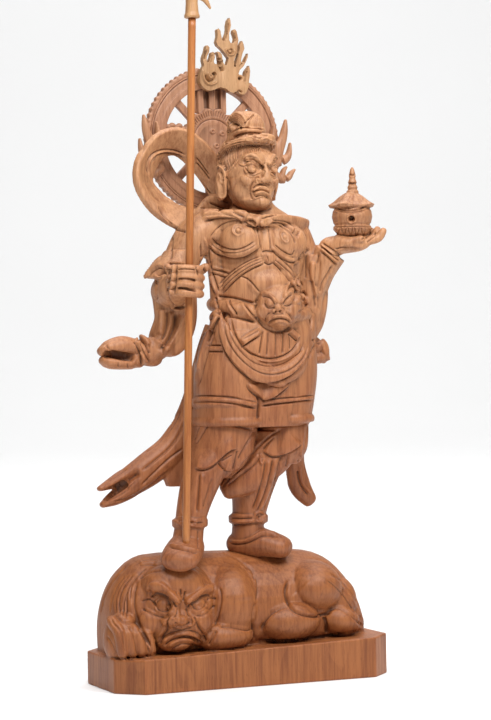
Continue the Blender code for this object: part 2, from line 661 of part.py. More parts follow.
def add_demon_head(shape):
    """Large scowling head at the front left, and the fist beside its cheek."""
    local = bmesh.new()
    ball(local, (0, 3.0, 2.0), (18.2, 15.0, 18.0), segments=28)
    ball(local, (0, 0.0, -5.0), (15.6, 13.6, 12.6), segments=24)
    ball(local, (0, -4.0, 10.5), (13.0, 8.4, 8.0))
    ball(local, (0, -8.6, -13.4), (7.4, 5.0, 4.2))
    for mirror in (-1, 1):
        ball(local, (mirror * 8.4, -9.8, 7.4), (7.0, 4.2, 2.9), (0, -mirror * 26, 0))
        ball(local, (mirror * 7.8, -11.0, 2.6), (4.0, 3.0, 2.8))
        ball(local, (mirror * 10.0, -8.4, -4.6), (5.8, 5.2, 6.0))
        ball(local, (mirror * 3.3, -14.0, -3.4), (2.7, 2.4, 2.3))
    limb(local, [(0, -11.0, 6.0, 2.4, 2.6), (0, -13.4, 1.0, 2.4, 2.6), (0, -14.8, -3.2, 3.2, 2.8)])
    limb(local, [(-8.2, -10.4, -12.6, 1.6, 2.4), (0, -13.2, -8.8, 1.6, 2.6), (8.2, -10.4, -12.6, 1.6, 2.4)], side=(0, 0, 1))
    place(shape, local, Matrix.Translation(Vector((-33.2, -9.8, 32.4)) * MM) @ Matrix.Rotation(math.radians(-18), 4, "Z"))
    ball(shape, (-56.0, -10.0, 22.0), (7.0, 9.0, 10.4), (0, 12, 0))
    for k in range(4):
        x = -60.4 + 4.0 * k
        limb(shape, [
            (x, -12.0, 29.0 - 0.9 * k, 2.4, 2.4),
            (x + 1.2, -17.4, 24.5 - 0.6 * k, 2.4, 2.4),
            (x + 2.2, -18.4, 16.4, 2.3, 2.3),
        ], side=(1, 0, 0), sides=12, steps=3)


# Halo, flames, trident and pagoda

def hoop(shape, radius, inner, y_front, y_back, steps=48):
    """Flat ring standing in the XZ plane."""
    rings = []
    for k in range(steps):
        angle = 2 * math.pi * k / steps
        c = math.cos(angle)
        s = math.sin(angle)
        rings.append([
            (radius * c, y_front, radius * s),
            (radius * c, y_back, radius * s),
            (inner * c, y_back, inner * s),
            (inner * c, y_front, inner * s),
        ])
    skin(shape, rings, closed=True)


def tongue(shape, rows, thick):
    """One flame tongue in front of the ring from rows of (x, z, half width)."""
    rows = [(x, FLAME_Y, z, half, min(thick, half + 0.5)) for x, z, half in rows]
    limb(shape, rows, side=(1, 0, 0.35), sides=10, steps=3)


def halo_place():
    """Where the halo stands: its centre behind the head, turned with the figure's shoulders."""
    return Matrix.Translation(Vector(HALO_CENTRE) * MM) @ Matrix.Rotation(math.radians(HALO_TURN), 4, "Z")


def add_halo(shape):
    """Ring, hub, spokes, three upright bars under the crown, and the stem that comes down to the back."""
    half = HALO_THICKNESS / 2
    hoop(shape, HALO_RADIUS, HALO_RIM_INNER, -half, half)
    hub = []
    for k in range(48):
        angle = 2 * math.pi * k / 48
        reach = HUB_RADIUS + 0.9 * math.cos(HUB_LOBES * angle)
        hub.append((reach * math.cos(angle), reach * math.sin(angle)))
    slab(shape, hub, -half - 0.6, half)
    for k in range(SPOKES):
        angle = 2 * math.pi * k / SPOKES
        c = math.cos(angle)
        s = math.sin(angle)
        inner = HUB_RADIUS - 2.0
        outer = HALO_RIM_INNER + 2.0
        wide = 1.6
        slab(shape, [
            (inner * c + wide * s, inner * s - wide * c),
            (outer * c + wide * s, outer * s - wide * c),
            (outer * c - wide * s, outer * s + wide * c),
            (inner * c - wide * s, inner * s + wide * c),
        ], 0.8 - half, half - 0.4)
    slab(shape, [(-7.4, 12.0), (7.4, 12.0), (7.8, 24.6), (-7.8, 24.6)], 0.8, half - 0.2)
    for x in (-5.4, 0.0, 5.4):
        slab(shape, [(x - 1.3, 12.0), (x + 1.3, 12.0), (x + 1.3, 24.8), (x - 1.3, 24.8)], 0.4 - half, 1.0)
    foot = STEM_FOOT_Z - HALO_CENTRE[2]
    slab(shape, [(-STEM_HALF, foot), (STEM_HALF, foot), (STEM_HALF, -8.0), (-STEM_HALF, -8.0)], 0.2, half + 0.6)
    front = STEM_SEAT_Y + GAP - HALO_CENTRE[1]
    slab(shape, [(-STEM_HALF, foot), (STEM_HALF, foot), (STEM_HALF, foot + 9.0), (-STEM_HALF, foot + 9.0)], front, half)


def add_flame_top(shape):
    """Tall flame with a curled foot over the crown of the ring."""
    for rows in (
        [(-4.8, 28.7, 2.0), (-4.2, 25.3, 2.6), (-0.4, 22.8, 2.6), (4.0, 24.0, 3.4), (8.2, 24.1, 3.8), (11.8, 21.9, 3.2), (14.7, 22.4, 2.2)],
        [(-4.6, 27.7, 2.2), (-5.2, 31.7, 1.9), (-4.2, 35.1, 1.6), (-3.9, 39.5, 0.7)],
        [(-2.7, 29.0, 1.9), (-1.9, 32.6, 1.5), (-1.3, 37.0, 0.8)],
        [(-1.3, 26.2, 2.0), (0.6, 28.4, 1.4), (-0.2, 31.2, 0.8)],
        [(4.6, 25.9, 2.2), (3.4, 30.6, 1.7), (1.7, 34.2, 1.4), (0.8, 37.4, 0.7)],
        [(5.3, 24.3, 3.4), (7.0, 28.1, 3.2), (8.0, 32.3, 2.6), (8.4, 35.7, 2.8), (6.3, 39.3, 2.2)],
        [(7.2, 34.9, 2.4), (4.0, 37.9, 1.9), (1.7, 41.0, 1.5), (1.8, 44.2, 1.2), (1.3, 47.8, 0.6)],
        [(6.5, 38.9, 2.4), (5.5, 42.5, 1.7), (6.7, 46.5, 1.4), (6.3, 49.5, 1.0), (6.9, 52.9, 0.6)],
        [(9.1, 37.1, 2.2), (10.3, 41.5, 1.6), (9.3, 44.5, 1.2), (8.9, 47.7, 0.6)],
        [(8.9, 30.9, 2.0), (11.6, 36.0, 1.6), (12.7, 39.2, 1.3), (12.0, 42.4, 0.7)],
        [(8.6, 26.3, 2.6), (12.2, 30.2, 1.9), (14.5, 33.8, 1.4), (15.2, 37.8, 0.7)],
        [(12.2, 22.5, 2.6), (14.8, 25.6, 1.9), (15.8, 28.8, 1.4), (15.8, 32.4, 0.7)],
    ):
        tongue(shape, rows, 2.0)


def add_flame_side(shape, mirror):
    """Smaller flame on one side of the ring."""
    for rows in (
        [(26.4, -13.2, 2.0), (28.5, -7.9, 2.8), (30.0, -3.3, 2.6), (32.1, 1.5, 2.0), (33.1, 5.7, 1.5), (33.7, 9.6, 0.6)],
        [(29.5, -8.7, 2.2), (33.3, -7.3, 2.0), (35.0, -4.9, 1.4), (35.7, -0.5, 0.6)],
        [(28.5, -5.9, 2.2), (27.4, -0.9, 1.6), (27.2, 2.9, 1.2), (27.9, 6.9, 0.6)],
        [(27.2, -13.6, 2.0), (31.2, -16.3, 1.8), (34.5, -15.3, 1.5), (35.9, -13.5, 1.2), (37.6, -11.9, 0.6)],
        [(31.2, -15.5, 1.5), (32.3, -12.3, 1.1), (33.6, -10.9, 0.6)],
    ):
        tongue(shape, [(mirror * x, z, half) for x, z, half in rows], 1.8)


def add_trident_head(shape):
    """Socket, middle blade, two curved side prongs and the hook hanging below them."""
    x, y, z = SHAFT_TOP
    turned(shape, (x, y), [(z, 3.1), (z + 0.8, 3.3), (z + 2.2, 2.8), (z + 6.0, 2.5), (z + SOCKET_HEIGHT, 2.6)], sides=20)
    ball(shape, (x, y, z + SOCKET_HEIGHT), (3.2, 2.8, 2.4), segments=16)
    top = z + SOCKET_HEIGHT + PRONG_HEIGHT
    limb(shape, [
        (x, y, z + SOCKET_HEIGHT, 1.8, 1.4),
        (x, y, z + SOCKET_HEIGHT + 9, 2.4, 1.3),
        (x, y, z + SOCKET_HEIGHT + 16, 2.6, 1.1),
        (x, y, top, 0.6, 0.6),
    ], sides=12)
    for mirror in (-1, 1):
        limb(shape, [
            (x, y, z + SOCKET_HEIGHT + 1.0, 1.6, 1.4),
            (x + mirror * 5.0, y, z + SOCKET_HEIGHT + 2.4, 1.7, 1.4),
            (x + mirror * 8.8, y, z + SOCKET_HEIGHT + 7.0, 1.6, 1.3),
            (x + mirror * 8.0, y, z + SOCKET_HEIGHT + 14.0, 1.4, 1.1),
            (x + mirror * 7.2, y, z + SOCKET_HEIGHT + 21.0, 0.6, 0.6),
        ], side=(0.7, 0, -0.7), sides=12)
    limb(shape, [
        (x + 1.6, y, z + SOCKET_HEIGHT - 1.6, 1.4, 1.2),
        (x + 5.6, y, z + SOCKET_HEIGHT - 3.2, 1.3, 1.1),
        (x + 8.5, y, z + 2.4, 0.6, 0.6),
    ], side=(0.7, 0, 0.7), sides=12)


def add_pagoda(shape):
    """Lotus foot, round body, square roof with raised corners, and a tiered finial."""
    x, y = PAGODA_AXIS
    base = PALM_TOP + GAP
    turned(shape, (x, y), [(base, 4.6), (base + 1.2, 6.4), (base + 3.4, 8.2), (base + 4.6, 8.0), (base + 5.2, 7.0)], sides=24)
    turned(shape, (x, y), [
        (base + 4.4, 6.8),
        (base + 6.0, 8.0),
        (base + 8.6, PAGODA_BODY_RADIUS),
        (base + 11.0, 8.2),
        (base + 13.4, 6.6),
    ], sides=24)
    rings = []
    half = PAGODA_ROOF_HALF
    for z, size, lift in ((base + 12.2, half - 0.6, 0.6), (base + 13.2, half, 1.2), (base + 14.6, half - 1.8, 0.8), (base + 17.2, 4.2, 0.2), (base + 18.8, 2.2, 0.0)):
        ring = []
        for k in range(16):
            angle = 2 * math.pi * (k + 0.5) / 16
            c = math.cos(angle)
            s = math.sin(angle)
            stretch = 1 / max(abs(c), abs(s))
            corner = (stretch - 1) / 0.414
            ring.append((x - 0.3 + size * c * stretch, y + size * s * stretch, z + lift * corner))
        rings.append(ring)
    skin(shape, rings)
    turned(shape, (x + 0.4, y), [
        (base + 18.0, 2.6),
        (base + 19.4, 2.6),
        (base + 20.2, 1.9),
        (base + 21.0, 2.2),
        (base + 22.4, 1.6),
        (base + 23.2, 1.9),
        (base + 24.8, 1.3),
        (base + 26.0, 1.5),
        (base + 28.6, 0.9),
        (base + 29.6, 0.4),
    ], sides=14)


def box(name, centre, half, turn, home):
    shape = bmesh.new()
    angles = Euler([math.radians(a) for a in turn])
    matrix = Matrix.Translation(Vector(centre) * MM) @ angles.to_matrix().to_4x4()
    matrix = matrix @ Matrix.Diagonal((half[0] * MM, half[1] * MM, half[2] * MM, 1.0))
    bmesh.ops.create_cube(shape, size=2.0, matrix=matrix)
    return add_object(name, shape, home, None)


def rod(name, low, high, radius, home, sides=12, material=None):
    """Straight round bar between two points."""
    shape = bmesh.new()
    limb(shape, [(*low, radius, radius), (*high, radius, radius)], sides=sides, steps=1, round_ends=False)
    return add_object(name, shape, home, material)


def seat_feet(figure, demon, tools):
    """Flat soles, and flat seats for them on the demon, one clearance apart."""
    for name, spot, turn in (("right", RIGHT_SOLE, RIGHT_SOLE_TURN), ("left", LEFT_SOLE, LEFT_SOLE_TURN)):
        lean = Euler([math.radians(a) for a in turn]).to_matrix() @ Vector((0, 0, 1))
        below = Vector(spot) - lean * 15.0
        above = Vector(spot) + lean * (15.0 - GAP)
        cut(figure, box("sole_" + name, below, (14, 24, 15), turn, tools))
        cut(demon, box("seat_" + name, above, (8.6, 16.5, 15), turn, tools))


def main():
    clear_scene()
    home = collection("guardian_figure")
    tools = collection("cutters", hidden=True)
    looks = {
        "demon_plinth": wood("demon_wood", (0.42, 0.20, 0.09), 0.55),
        "figure": wood("figure_wood", (0.45, 0.23, 0.11), 0.55),
        "halo": wood("halo_wood", (0.45, 0.23, 0.12), 0.55),
        "flame": wood("flame_wood", (0.56, 0.34, 0.17), 0.55),
        "shaft": wood("shaft_wood", (0.42, 0.17, 0.06), 0.4),
        "point": wood("trident_wood", (0.56, 0.33, 0.16), 0.5),
        "pagoda": wood("pagoda_wood", (0.47, 0.25, 0.12), 0.55),
    }

    shape = bmesh.new()
    for add in (add_plinth, add_demon_body, add_demon_head):
        add(shape)
    demon = add_object("demon_plinth", shape, home, looks["demon_plinth"])
    carve(demon, 0.9, 2, 1800)

    shape = bmesh.new()
    for add in (
        add_trunk, add_belt, add_skirt, add_legs, add_right_arm, add_right_hand,
        add_left_arm, add_left_hand, add_scarf, add_tails, add_head,
    ):
        add(shape)
    figure = add_object("figure", shape, home, looks["figure"])
    carve(figure, 0.8, 1, 4860)
    seat_feet(figure, demon, tools)

    foot = Vector(SHAFT_FOOT)
    top = Vector(SHAFT_TOP)
    lean = (top - foot).normalized()
    rod("spear_shaft", foot, top - lean * GAP, SHAFT_RADIUS, home, material=looks["shaft"])
    cut(figure, rod("shaft_way", foot - lean * GAP, top, SHAFT_RADIUS + CLEAR, tools))
    x, y = PAGODA_AXIS
    cut(figure, rod("pagoda_way", (x, y, PALM_TOP), (x, y, PALM_TOP + 30), 9.0, tools, sides=32))

    cut(figure, box("stem_seat", (HALO_CENTRE[0] - 0.6, STEM_SEAT_Y + 8, STEM_FOOT_Z + 4.5), (4.0, 8, 6.0), (0, 0, HALO_TURN), tools))

    shape = bmesh.new()
    add_halo(shape)
    halo = add_object("halo", shape, home, looks["halo"])
    halo.matrix_world = halo_place()
    carve(halo, 0.45, 0, 1000)

    flames = (("flame_top", add_flame_top, None, 620), ("flame_left", add_flame_side, 1, 190), ("flame_right", add_flame_side, -1, 190))
    for name, add, mirror, triangles in flames:
        shape = bmesh.new()
        if mirror is None:
            add(shape)
        else:
            add(shape, mirror)
        flame = add_object(name, shape, home, looks["flame"])
        flame.matrix_world = halo_place()
        carve(flame, 0.4, 1, triangles)
        cut(flame, box("back_" + name, (0, FLAME_BACK + 10, 0), (60, 10, 60), (0, 0, 0), tools))
        tools.objects["back_" + name].matrix_world = halo_place()

    shape = bmesh.new()
    add_trident_head(shape)
    point = add_object("spear_head", shape, home, looks["point"])
    carve(point, 0.35, 1, 320)

    shape = bmesh.new()
    add_pagoda(shape)
    pagoda = add_object("pagoda", shape, home, looks["pagoda"])
    carve(pagoda, 0.35, 0, 460)
    cut(pagoda, rod("door", (x - 20 * math.sin(DOOR_TURN), y - 20 * math.cos(DOOR_TURN), PALM_TOP + 8.6), (x, y, PALM_TOP + 8.6), 1.3, tools, sides=12))


main()
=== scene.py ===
"""Fine carving, wood, light and camera for the guardian figure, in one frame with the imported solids.

Every form is made in millimetres from closed shells, fused into one skin, carved with brush strokes that
are laid out in a view of it, thinned, and turned into metres at the end.
"""
import math

import bpy
import numpy as np
from mathutils import Euler, Matrix, Vector


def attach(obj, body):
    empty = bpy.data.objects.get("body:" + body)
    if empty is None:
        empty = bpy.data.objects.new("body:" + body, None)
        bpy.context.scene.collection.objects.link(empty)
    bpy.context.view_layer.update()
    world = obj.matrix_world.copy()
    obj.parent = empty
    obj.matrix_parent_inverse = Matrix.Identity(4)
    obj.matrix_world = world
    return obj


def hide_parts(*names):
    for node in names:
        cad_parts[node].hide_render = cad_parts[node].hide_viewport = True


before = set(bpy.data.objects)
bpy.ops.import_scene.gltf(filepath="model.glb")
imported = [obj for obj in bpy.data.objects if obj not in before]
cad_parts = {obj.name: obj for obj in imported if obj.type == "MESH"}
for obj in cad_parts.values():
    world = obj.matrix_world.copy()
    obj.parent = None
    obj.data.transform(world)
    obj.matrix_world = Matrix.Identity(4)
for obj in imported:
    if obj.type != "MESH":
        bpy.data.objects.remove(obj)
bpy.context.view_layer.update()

MM = 0.001

# Forms that the solids have too, in millimetres
PLINTH_LENGTH = 123.0
PLINTH_DEPTH = 53.0
PLINTH_CORNER = 10.0
PLINTH_TOP_LEFT = 13.8
PLINTH_TOP_RIGHT = 17.0
HEAD_CENTRE = (5.6, -6.0, 211.0)
HEAD_TURN = 12.0
FIST_CENTRE = (-28.2, -20.4, 166.6)
PALM_TOP = 184.9
HALO_CENTRE = (1.8, 24.0, 228.6)
HALO_TURN = 3.0
HALO_RADIUS = 32.3
HALO_RIM_INNER = 22.9
HUB_RADIUS = 13.6
HUB_LOBES = 14
HALO_THICKNESS = 3.6
SPOKES = 8
STEM_HALF = 2.6
STEM_FOOT_Z = 178.6
STEM_SEAT_Y = 10.6
FLAME_Y = -4.2
FLAME_BACK = -2.1
SHAFT_RADIUS = 1.6
SHAFT_FOOT = (-30.4, -19.5, 58.4)
SHAFT_TOP = (-24.6, -21.5, 274.0)
SOCKET_HEIGHT = 11.0
PRONG_HEIGHT = 30.0
PAGODA_AXIS = (49.0, -16.0)
PAGODA_BODY_RADIUS = 8.6
PAGODA_ROOF_HALF = 8.3
GAP = 0.3

# Finer forms, which only the scene has
HALO_TEETH = 74
HUB_FLUTES = 64

# The photograph's camera, in millimetres, and its picture of 491 by 720 pixels, each 0.42 mm at the figure
CAMERA_TURN = math.radians(23.0)
CAMERA_ROLL = math.radians(-1.0)
CAMERA_AWAY = 953.29
CAMERA_ASIDE = 5.175
CAMERA_HIGH = 134.0
LENS = 113.1
SENSOR = 36.0
PICTURE = (491, 720)
PIXEL = 0.42


def eased(rows, steps):
    """Rows of numbers with Catmull-Rom rows put in between."""
    found = []
    last = len(rows) - 1
    for index in range(last):
        before = rows[max(index - 1, 0)]
        start = rows[index]
        end = rows[index + 1]
        after = rows[min(index + 2, last)]
        for step in range(steps):
            t = step / steps
            row = []
            for a, b, c, d in zip(before, start, end, after):
                curve = 2 * b + (c - a) * t + (2 * a - 5 * b + 4 * c - d) * t * t
                row.append(0.5 * (curve + (3 * b - a - 3 * c + d) * t ** 3))
            found.append(row)
    found.append(list(rows[last]))
    return found


class Shells:
    """Closed shells in millimetres, all later fused into one skin."""

    def __init__(self):
        self.points = []
        self.faces = []

    def skin(self, rings, closed=False):
        """Faces over rings of points; the two ends are capped unless the rings close on themselves."""
        first = len(self.points)
        size = len(rings[0])
        for ring in rings:
            self.points.extend(tuple(point) for point in ring)
        count = len(rings)
        for low in range(count if closed else count - 1):
            high = (low + 1) % count
            for k in range(size):
                n = (k + 1) % size
                self.faces.append([
                    first + low * size + k, first + low * size + n, first + high * size + n,
                    first + high * size + k,
                ])
        if not closed:
            self.faces.append([first + k for k in reversed(range(size))])
            self.faces.append([first + (count - 1) * size + k for k in range(size)])

    def limb(self, rows, side=(1, 0, 0), sides=24, steps=6, power=2.0, round_ends=True):
        """A loft along rows of (x, y, z, half width, half depth), its width lying along side."""
        fine = eased(rows, steps)
        spine = [Vector(row[:3]) for row in fine]
        rings = []
        for index, row in enumerate(fine):
            ahead = spine[min(index + 1, len(spine) - 1)] - spine[max(index - 1, 0)]
            ahead.normalize()
            across = Vector(side) - ahead * Vector(side).dot(ahead)
            across.normalize()
            deep = ahead.cross(across)
            spots = [(0.0, 1.0)]
            if round_ends and index == 0:
                spots = [(-0.85, 0.5), (-0.5, 0.85), (0.0, 1.0)]
            if round_ends and index == len(fine) - 1:
                spots = [(0.0, 1.0), (0.5, 0.85), (0.85, 0.5)]
            for shift, scale in spots:
                centre = spine[index] + ahead * shift * min(row[3], row[4])
                ring = []
                for k in range(sides):
                    angle = 2 * math.pi * k / sides
                    c = math.cos(angle)
                    s = math.sin(angle)
                    u = math.copysign(abs(c) ** (2 / power), c) * row[3] * scale
                    v = math.copysign(abs(s) ** (2 / power), s) * row[4] * scale
                    ring.append(centre + across * u + deep * v)
                rings.append(ring)
        self.skin(rings)

    def stack(self, rows, sides=48, steps=5, waves=0, swell=0.0, start=0.0):
        """A loft of level ellipses from rows of (z, x, y, half width, half depth), with folds if asked."""
        rings = []
        fine = eased(rows, steps)
        for index, (z, x, y, half_x, half_y) in enumerate(fine):
            share = swell * index / (len(fine) - 1)
            ring = []
            for k in range(sides):
                angle = 2 * math.pi * k / sides
                grow = 1 + share * math.cos(waves * angle + start)
                ring.append((x + half_x * grow * math.cos(angle), y + half_y * grow * math.sin(angle), z))
            rings.append(ring)
        if rows[0][0] > rows[-1][0]:
            rings.reverse()
        self.skin(rings)

    def ball(self, at, half, turn=(0, 0, 0), segments=32):
        angles = Euler([math.radians(a) for a in turn]).to_matrix()
        rings = []
        levels = segments // 2
        for level in range(levels):
            high = math.pi * (level + 0.5) / levels
            ring = []
            for k in range(segments):
                angle = 2 * math.pi * k / segments
                spot = (math.sin(high) * math.cos(angle), math.sin(high) * math.sin(angle), -math.cos(high))
                ring.append(Vector(at) + angles @ Vector([a * b for a, b in zip(spot, half)]))
            rings.append(ring)
        self.skin(rings)

    def slab(self, outline, y_front, y_back):
        """A flat plate from an (x, z) outline, between two depths."""
        self.skin([[(x, y_back, z) for x, z in outline], [(x, y_front, z) for x, z in outline]])

    def turned(self, axis, rows, sides=48):
        """A turned form about a vertical axis from rows of (z, radius)."""
        self.stack([(z, axis[0], axis[1], r, r) for z, r in rows], sides=sides, steps=1)

    def hoop(self, radius, inner, y_front, y_back, steps=96):
        """Flat ring standing in the XZ plane."""
        rings = []
        for k in range(steps):
            angle = 2 * math.pi * k / steps
            c = math.cos(angle)
            s = math.sin(angle)
            corners = ((radius, y_front), (radius, y_back), (inner, y_back), (inner, y_front))
            rings.append([(reach * c, y, reach * s) for reach, y in corners])
        self.skin(rings, closed=True)

    def place(self, local, matrix):
        """Adds the shells of another set, moved by the matrix."""
        first = len(self.points)
        self.points.extend(tuple(matrix @ Vector(point)) for point in local.points)
        self.faces.extend([first + k for k in face] for face in local.faces)

    def fuse(self, name, voxel, rounds):
        """One skin of small four-sided faces round all the shells."""
        mesh = bpy.data.meshes.new(name)
        mesh.from_pydata(self.points, [], self.faces)
        obj = bpy.data.objects.new(name, mesh)
        bpy.context.scene.collection.objects.link(obj)
        fuse = obj.modifiers.new("Fuse", "REMESH")
        fuse.mode = "VOXEL"
        fuse.voxel_size = voxel
        seen = obj.evaluated_get(bpy.context.evaluated_depsgraph_get()).data
        points = np.empty(len(seen.vertices) * 3)
        seen.vertices.foreach_get("co", points)
        quads = np.empty(len(seen.loops), dtype=np.int64)
        seen.loops.foreach_get("vertex_index", quads)
        bpy.data.objects.remove(obj)
        bpy.data.meshes.remove(mesh)
        surface = Surface(points.reshape(-1, 3), quads.reshape(-1, 4))
        surface.relax(rounds)
        return surface


class Surface:
    """A fused skin as arrays, carved by moving its points along their normals."""

    def __init__(self, points, quads):
        self.points = points
        self.quads = quads
        self.starts = quads.ravel()
        self.ends = np.roll(quads, -1, axis=1).ravel()
        self.degree = np.maximum(np.bincount(self.starts, minlength=len(points)), 1)
        self.up = np.zeros(len(points))
        self.down = np.zeros(len(points))

    def around(self, values):
        """Each point's mean of the values next to it."""
        found = np.empty_like(values)
        for k in range(values.shape[1]):
            summed = np.bincount(self.starts, weights=values[self.ends, k], minlength=len(values))
            found[:, k] = summed / self.degree
        return found

    def relax(self, rounds, share=0.5):
        for _ in range(rounds):
            self.points += share * (self.around(self.points) - self.points)

    def normals(self):
        corners = self.points[self.quads]
        across = np.cross(corners[:, 2] - corners[:, 0], corners[:, 3] - corners[:, 1])
        found = np.zeros_like(self.points)
        for k in range(3):
            summed = np.repeat(across[:, k], 4)
            found[:, k] = np.bincount(self.starts, weights=summed, minlength=len(found))
        return found / np.maximum(np.linalg.norm(found, axis=1), 1e-9)[:, None]

    def settle(self, ease=2):
        """Moves the points by what the strokes since the last time have asked for."""
        facing = self.normals()
        for _ in range(ease):
            facing += 0.5 * (self.around(facing) - facing)
        facing /= np.maximum(np.linalg.norm(facing, axis=1), 1e-9)[:, None]
        self.points += facing * (self.up - self.down)[:, None]
        self.up[:] = 0
        self.down[:] = 0

    def finish(self, name, triangles, material, slot, nodes):
        """Thins the skin, marks its grooves and edges for painted shade and highlight, and makes the piece
        of it.
        """
        mesh = bpy.data.meshes.new(name)
        mesh.from_pydata(self.points * MM, [], self.quads)
        obj = bpy.data.objects.new(name, mesh)
        bpy.context.scene.collection.objects.link(obj)
        thin = obj.modifiers.new("Thin", "DECIMATE")
        thin.ratio = min(1.0, triangles / (2 * len(self.quads)))
        thinned = bpy.data.meshes.new_from_object(obj.evaluated_get(bpy.context.evaluated_depsgraph_get()))
        obj.modifiers.clear()
        obj.data = thinned
        bpy.data.meshes.remove(mesh)
        thinned.name = name
        dress(obj, material, nodes)
        return obj


def mark_painted_shade_and_highlight(mesh):
    """Stores how deep each point lies in a groove, as a number from -1 on an edge to 1 in a groove. The
    wood paints shade into the grooves and a highlight on the edges from it.
    """
    count = len(mesh.vertices)
    points = np.empty(count * 3)
    mesh.vertices.foreach_get("co", points)
    points = points.reshape(-1, 3) / MM
    facing = np.empty(count * 3)
    mesh.vertices.foreach_get("normal", facing)
    facing = facing.reshape(-1, 3)
    edges = np.empty(len(mesh.edges) * 2, dtype=np.int64)
    mesh.edges.foreach_get("vertices", edges)
    edges = edges.reshape(-1, 2)
    starts = np.concatenate([edges[:, 0], edges[:, 1]])
    ends = np.concatenate([edges[:, 1], edges[:, 0]])
    degree = np.maximum(np.bincount(starts, minlength=count), 1)
    eased_points = points.copy()
    hollow = np.zeros(count)
    for level in (3, 9):
        for _ in range(level):
            for k in range(3):
                summed = np.bincount(starts, weights=eased_points[ends, k], minlength=count)
                eased_points[:, k] += 0.6 * (summed / degree - eased_points[:, k])
        hollow += np.einsum("ij,ij->i", eased_points - points, facing)
    marks = mesh.attributes.new("hollow", "FLOAT", "POINT")
    marks.data.foreach_set("value", np.clip(hollow * 1.6, -1, 1).astype(np.float32))


def dress(obj, material, nodes):
    """Shades the piece smooth, gives it its wood, hangs it under the root, and hides the solids it stands
    for.
    """
    mesh = obj.data
    mesh.materials.clear()
    mesh.materials.append(material)
    mesh.polygons.foreach_set("use_smooth", [True] * len(mesh.polygons))
    mark_painted_shade_and_highlight(mesh)
    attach(obj, "root")
    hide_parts(*nodes)


# Sights: ways to look at a surface, and strokes carved where that view sees them

PLAIN_AWAY = 1000.0

# A sight sorts what it sees into cells, in millimetres, and takes points this near in depth for one layer
CELL_SIZE = 0.7
ROWS_MOST = 8192
LAYER_DEPTH = 5.0
NOTHING_NEAR = 1e9


def photo_view(points):
    """Where points in millimetres fall in the photograph, in its pixels, and how far off they are."""
    s = math.sin(CAMERA_TURN)
    c = math.cos(CAMERA_TURN)
    aside = c * points[:, 0] - s * points[:, 1]
    away = CAMERA_AWAY + s * points[:, 0] + c * points[:, 1]
    focal = LENS / SENSOR * PICTURE[1]
    right = focal * (aside - CAMERA_ASIDE) / away
    down = -focal * (points[:, 2] - CAMERA_HIGH) / away
    cr = math.cos(-CAMERA_ROLL)
    sr = math.sin(-CAMERA_ROLL)
    across = PICTURE[0] / 2 + right * cr + down * sr
    high = PICTURE[1] / 2 - right * sr + down * cr
    return across, high, away


def mirrored_view(place):
    """The photograph's view of a placed form that is swapped left for right."""
    turn = np.array(place.to_3x3())
    origin = np.array(place.translation)

    def see(points):
        local = (points - origin) @ turn
        local[:, 0] = -local[:, 0]
        return photo_view(local @ turn.T + origin)

    return see


def plain_view(turn):
    """A level view without perspective, in millimetres: 0 looks at the front and 180 at the back."""
    angle = math.radians(turn)
    c = math.cos(angle)
    s = math.sin(angle)

    def see(points):
        across = c * points[:, 0] + s * points[:, 1]
        away = -s * points[:, 0] + c * points[:, 1] + PLAIN_AWAY
        return across, -points[:, 2], away

    return see


PROFILES = {
    "ridge": lambda far: np.exp(-far * far),
    "band": lambda far: np.clip((1.25 - far) / 0.5, 0, 1),
    "groove": lambda far: np.exp(-far * far),
    "dome": lambda far: np.sqrt(np.clip(1.0 - far * far, 0, 1)),
}


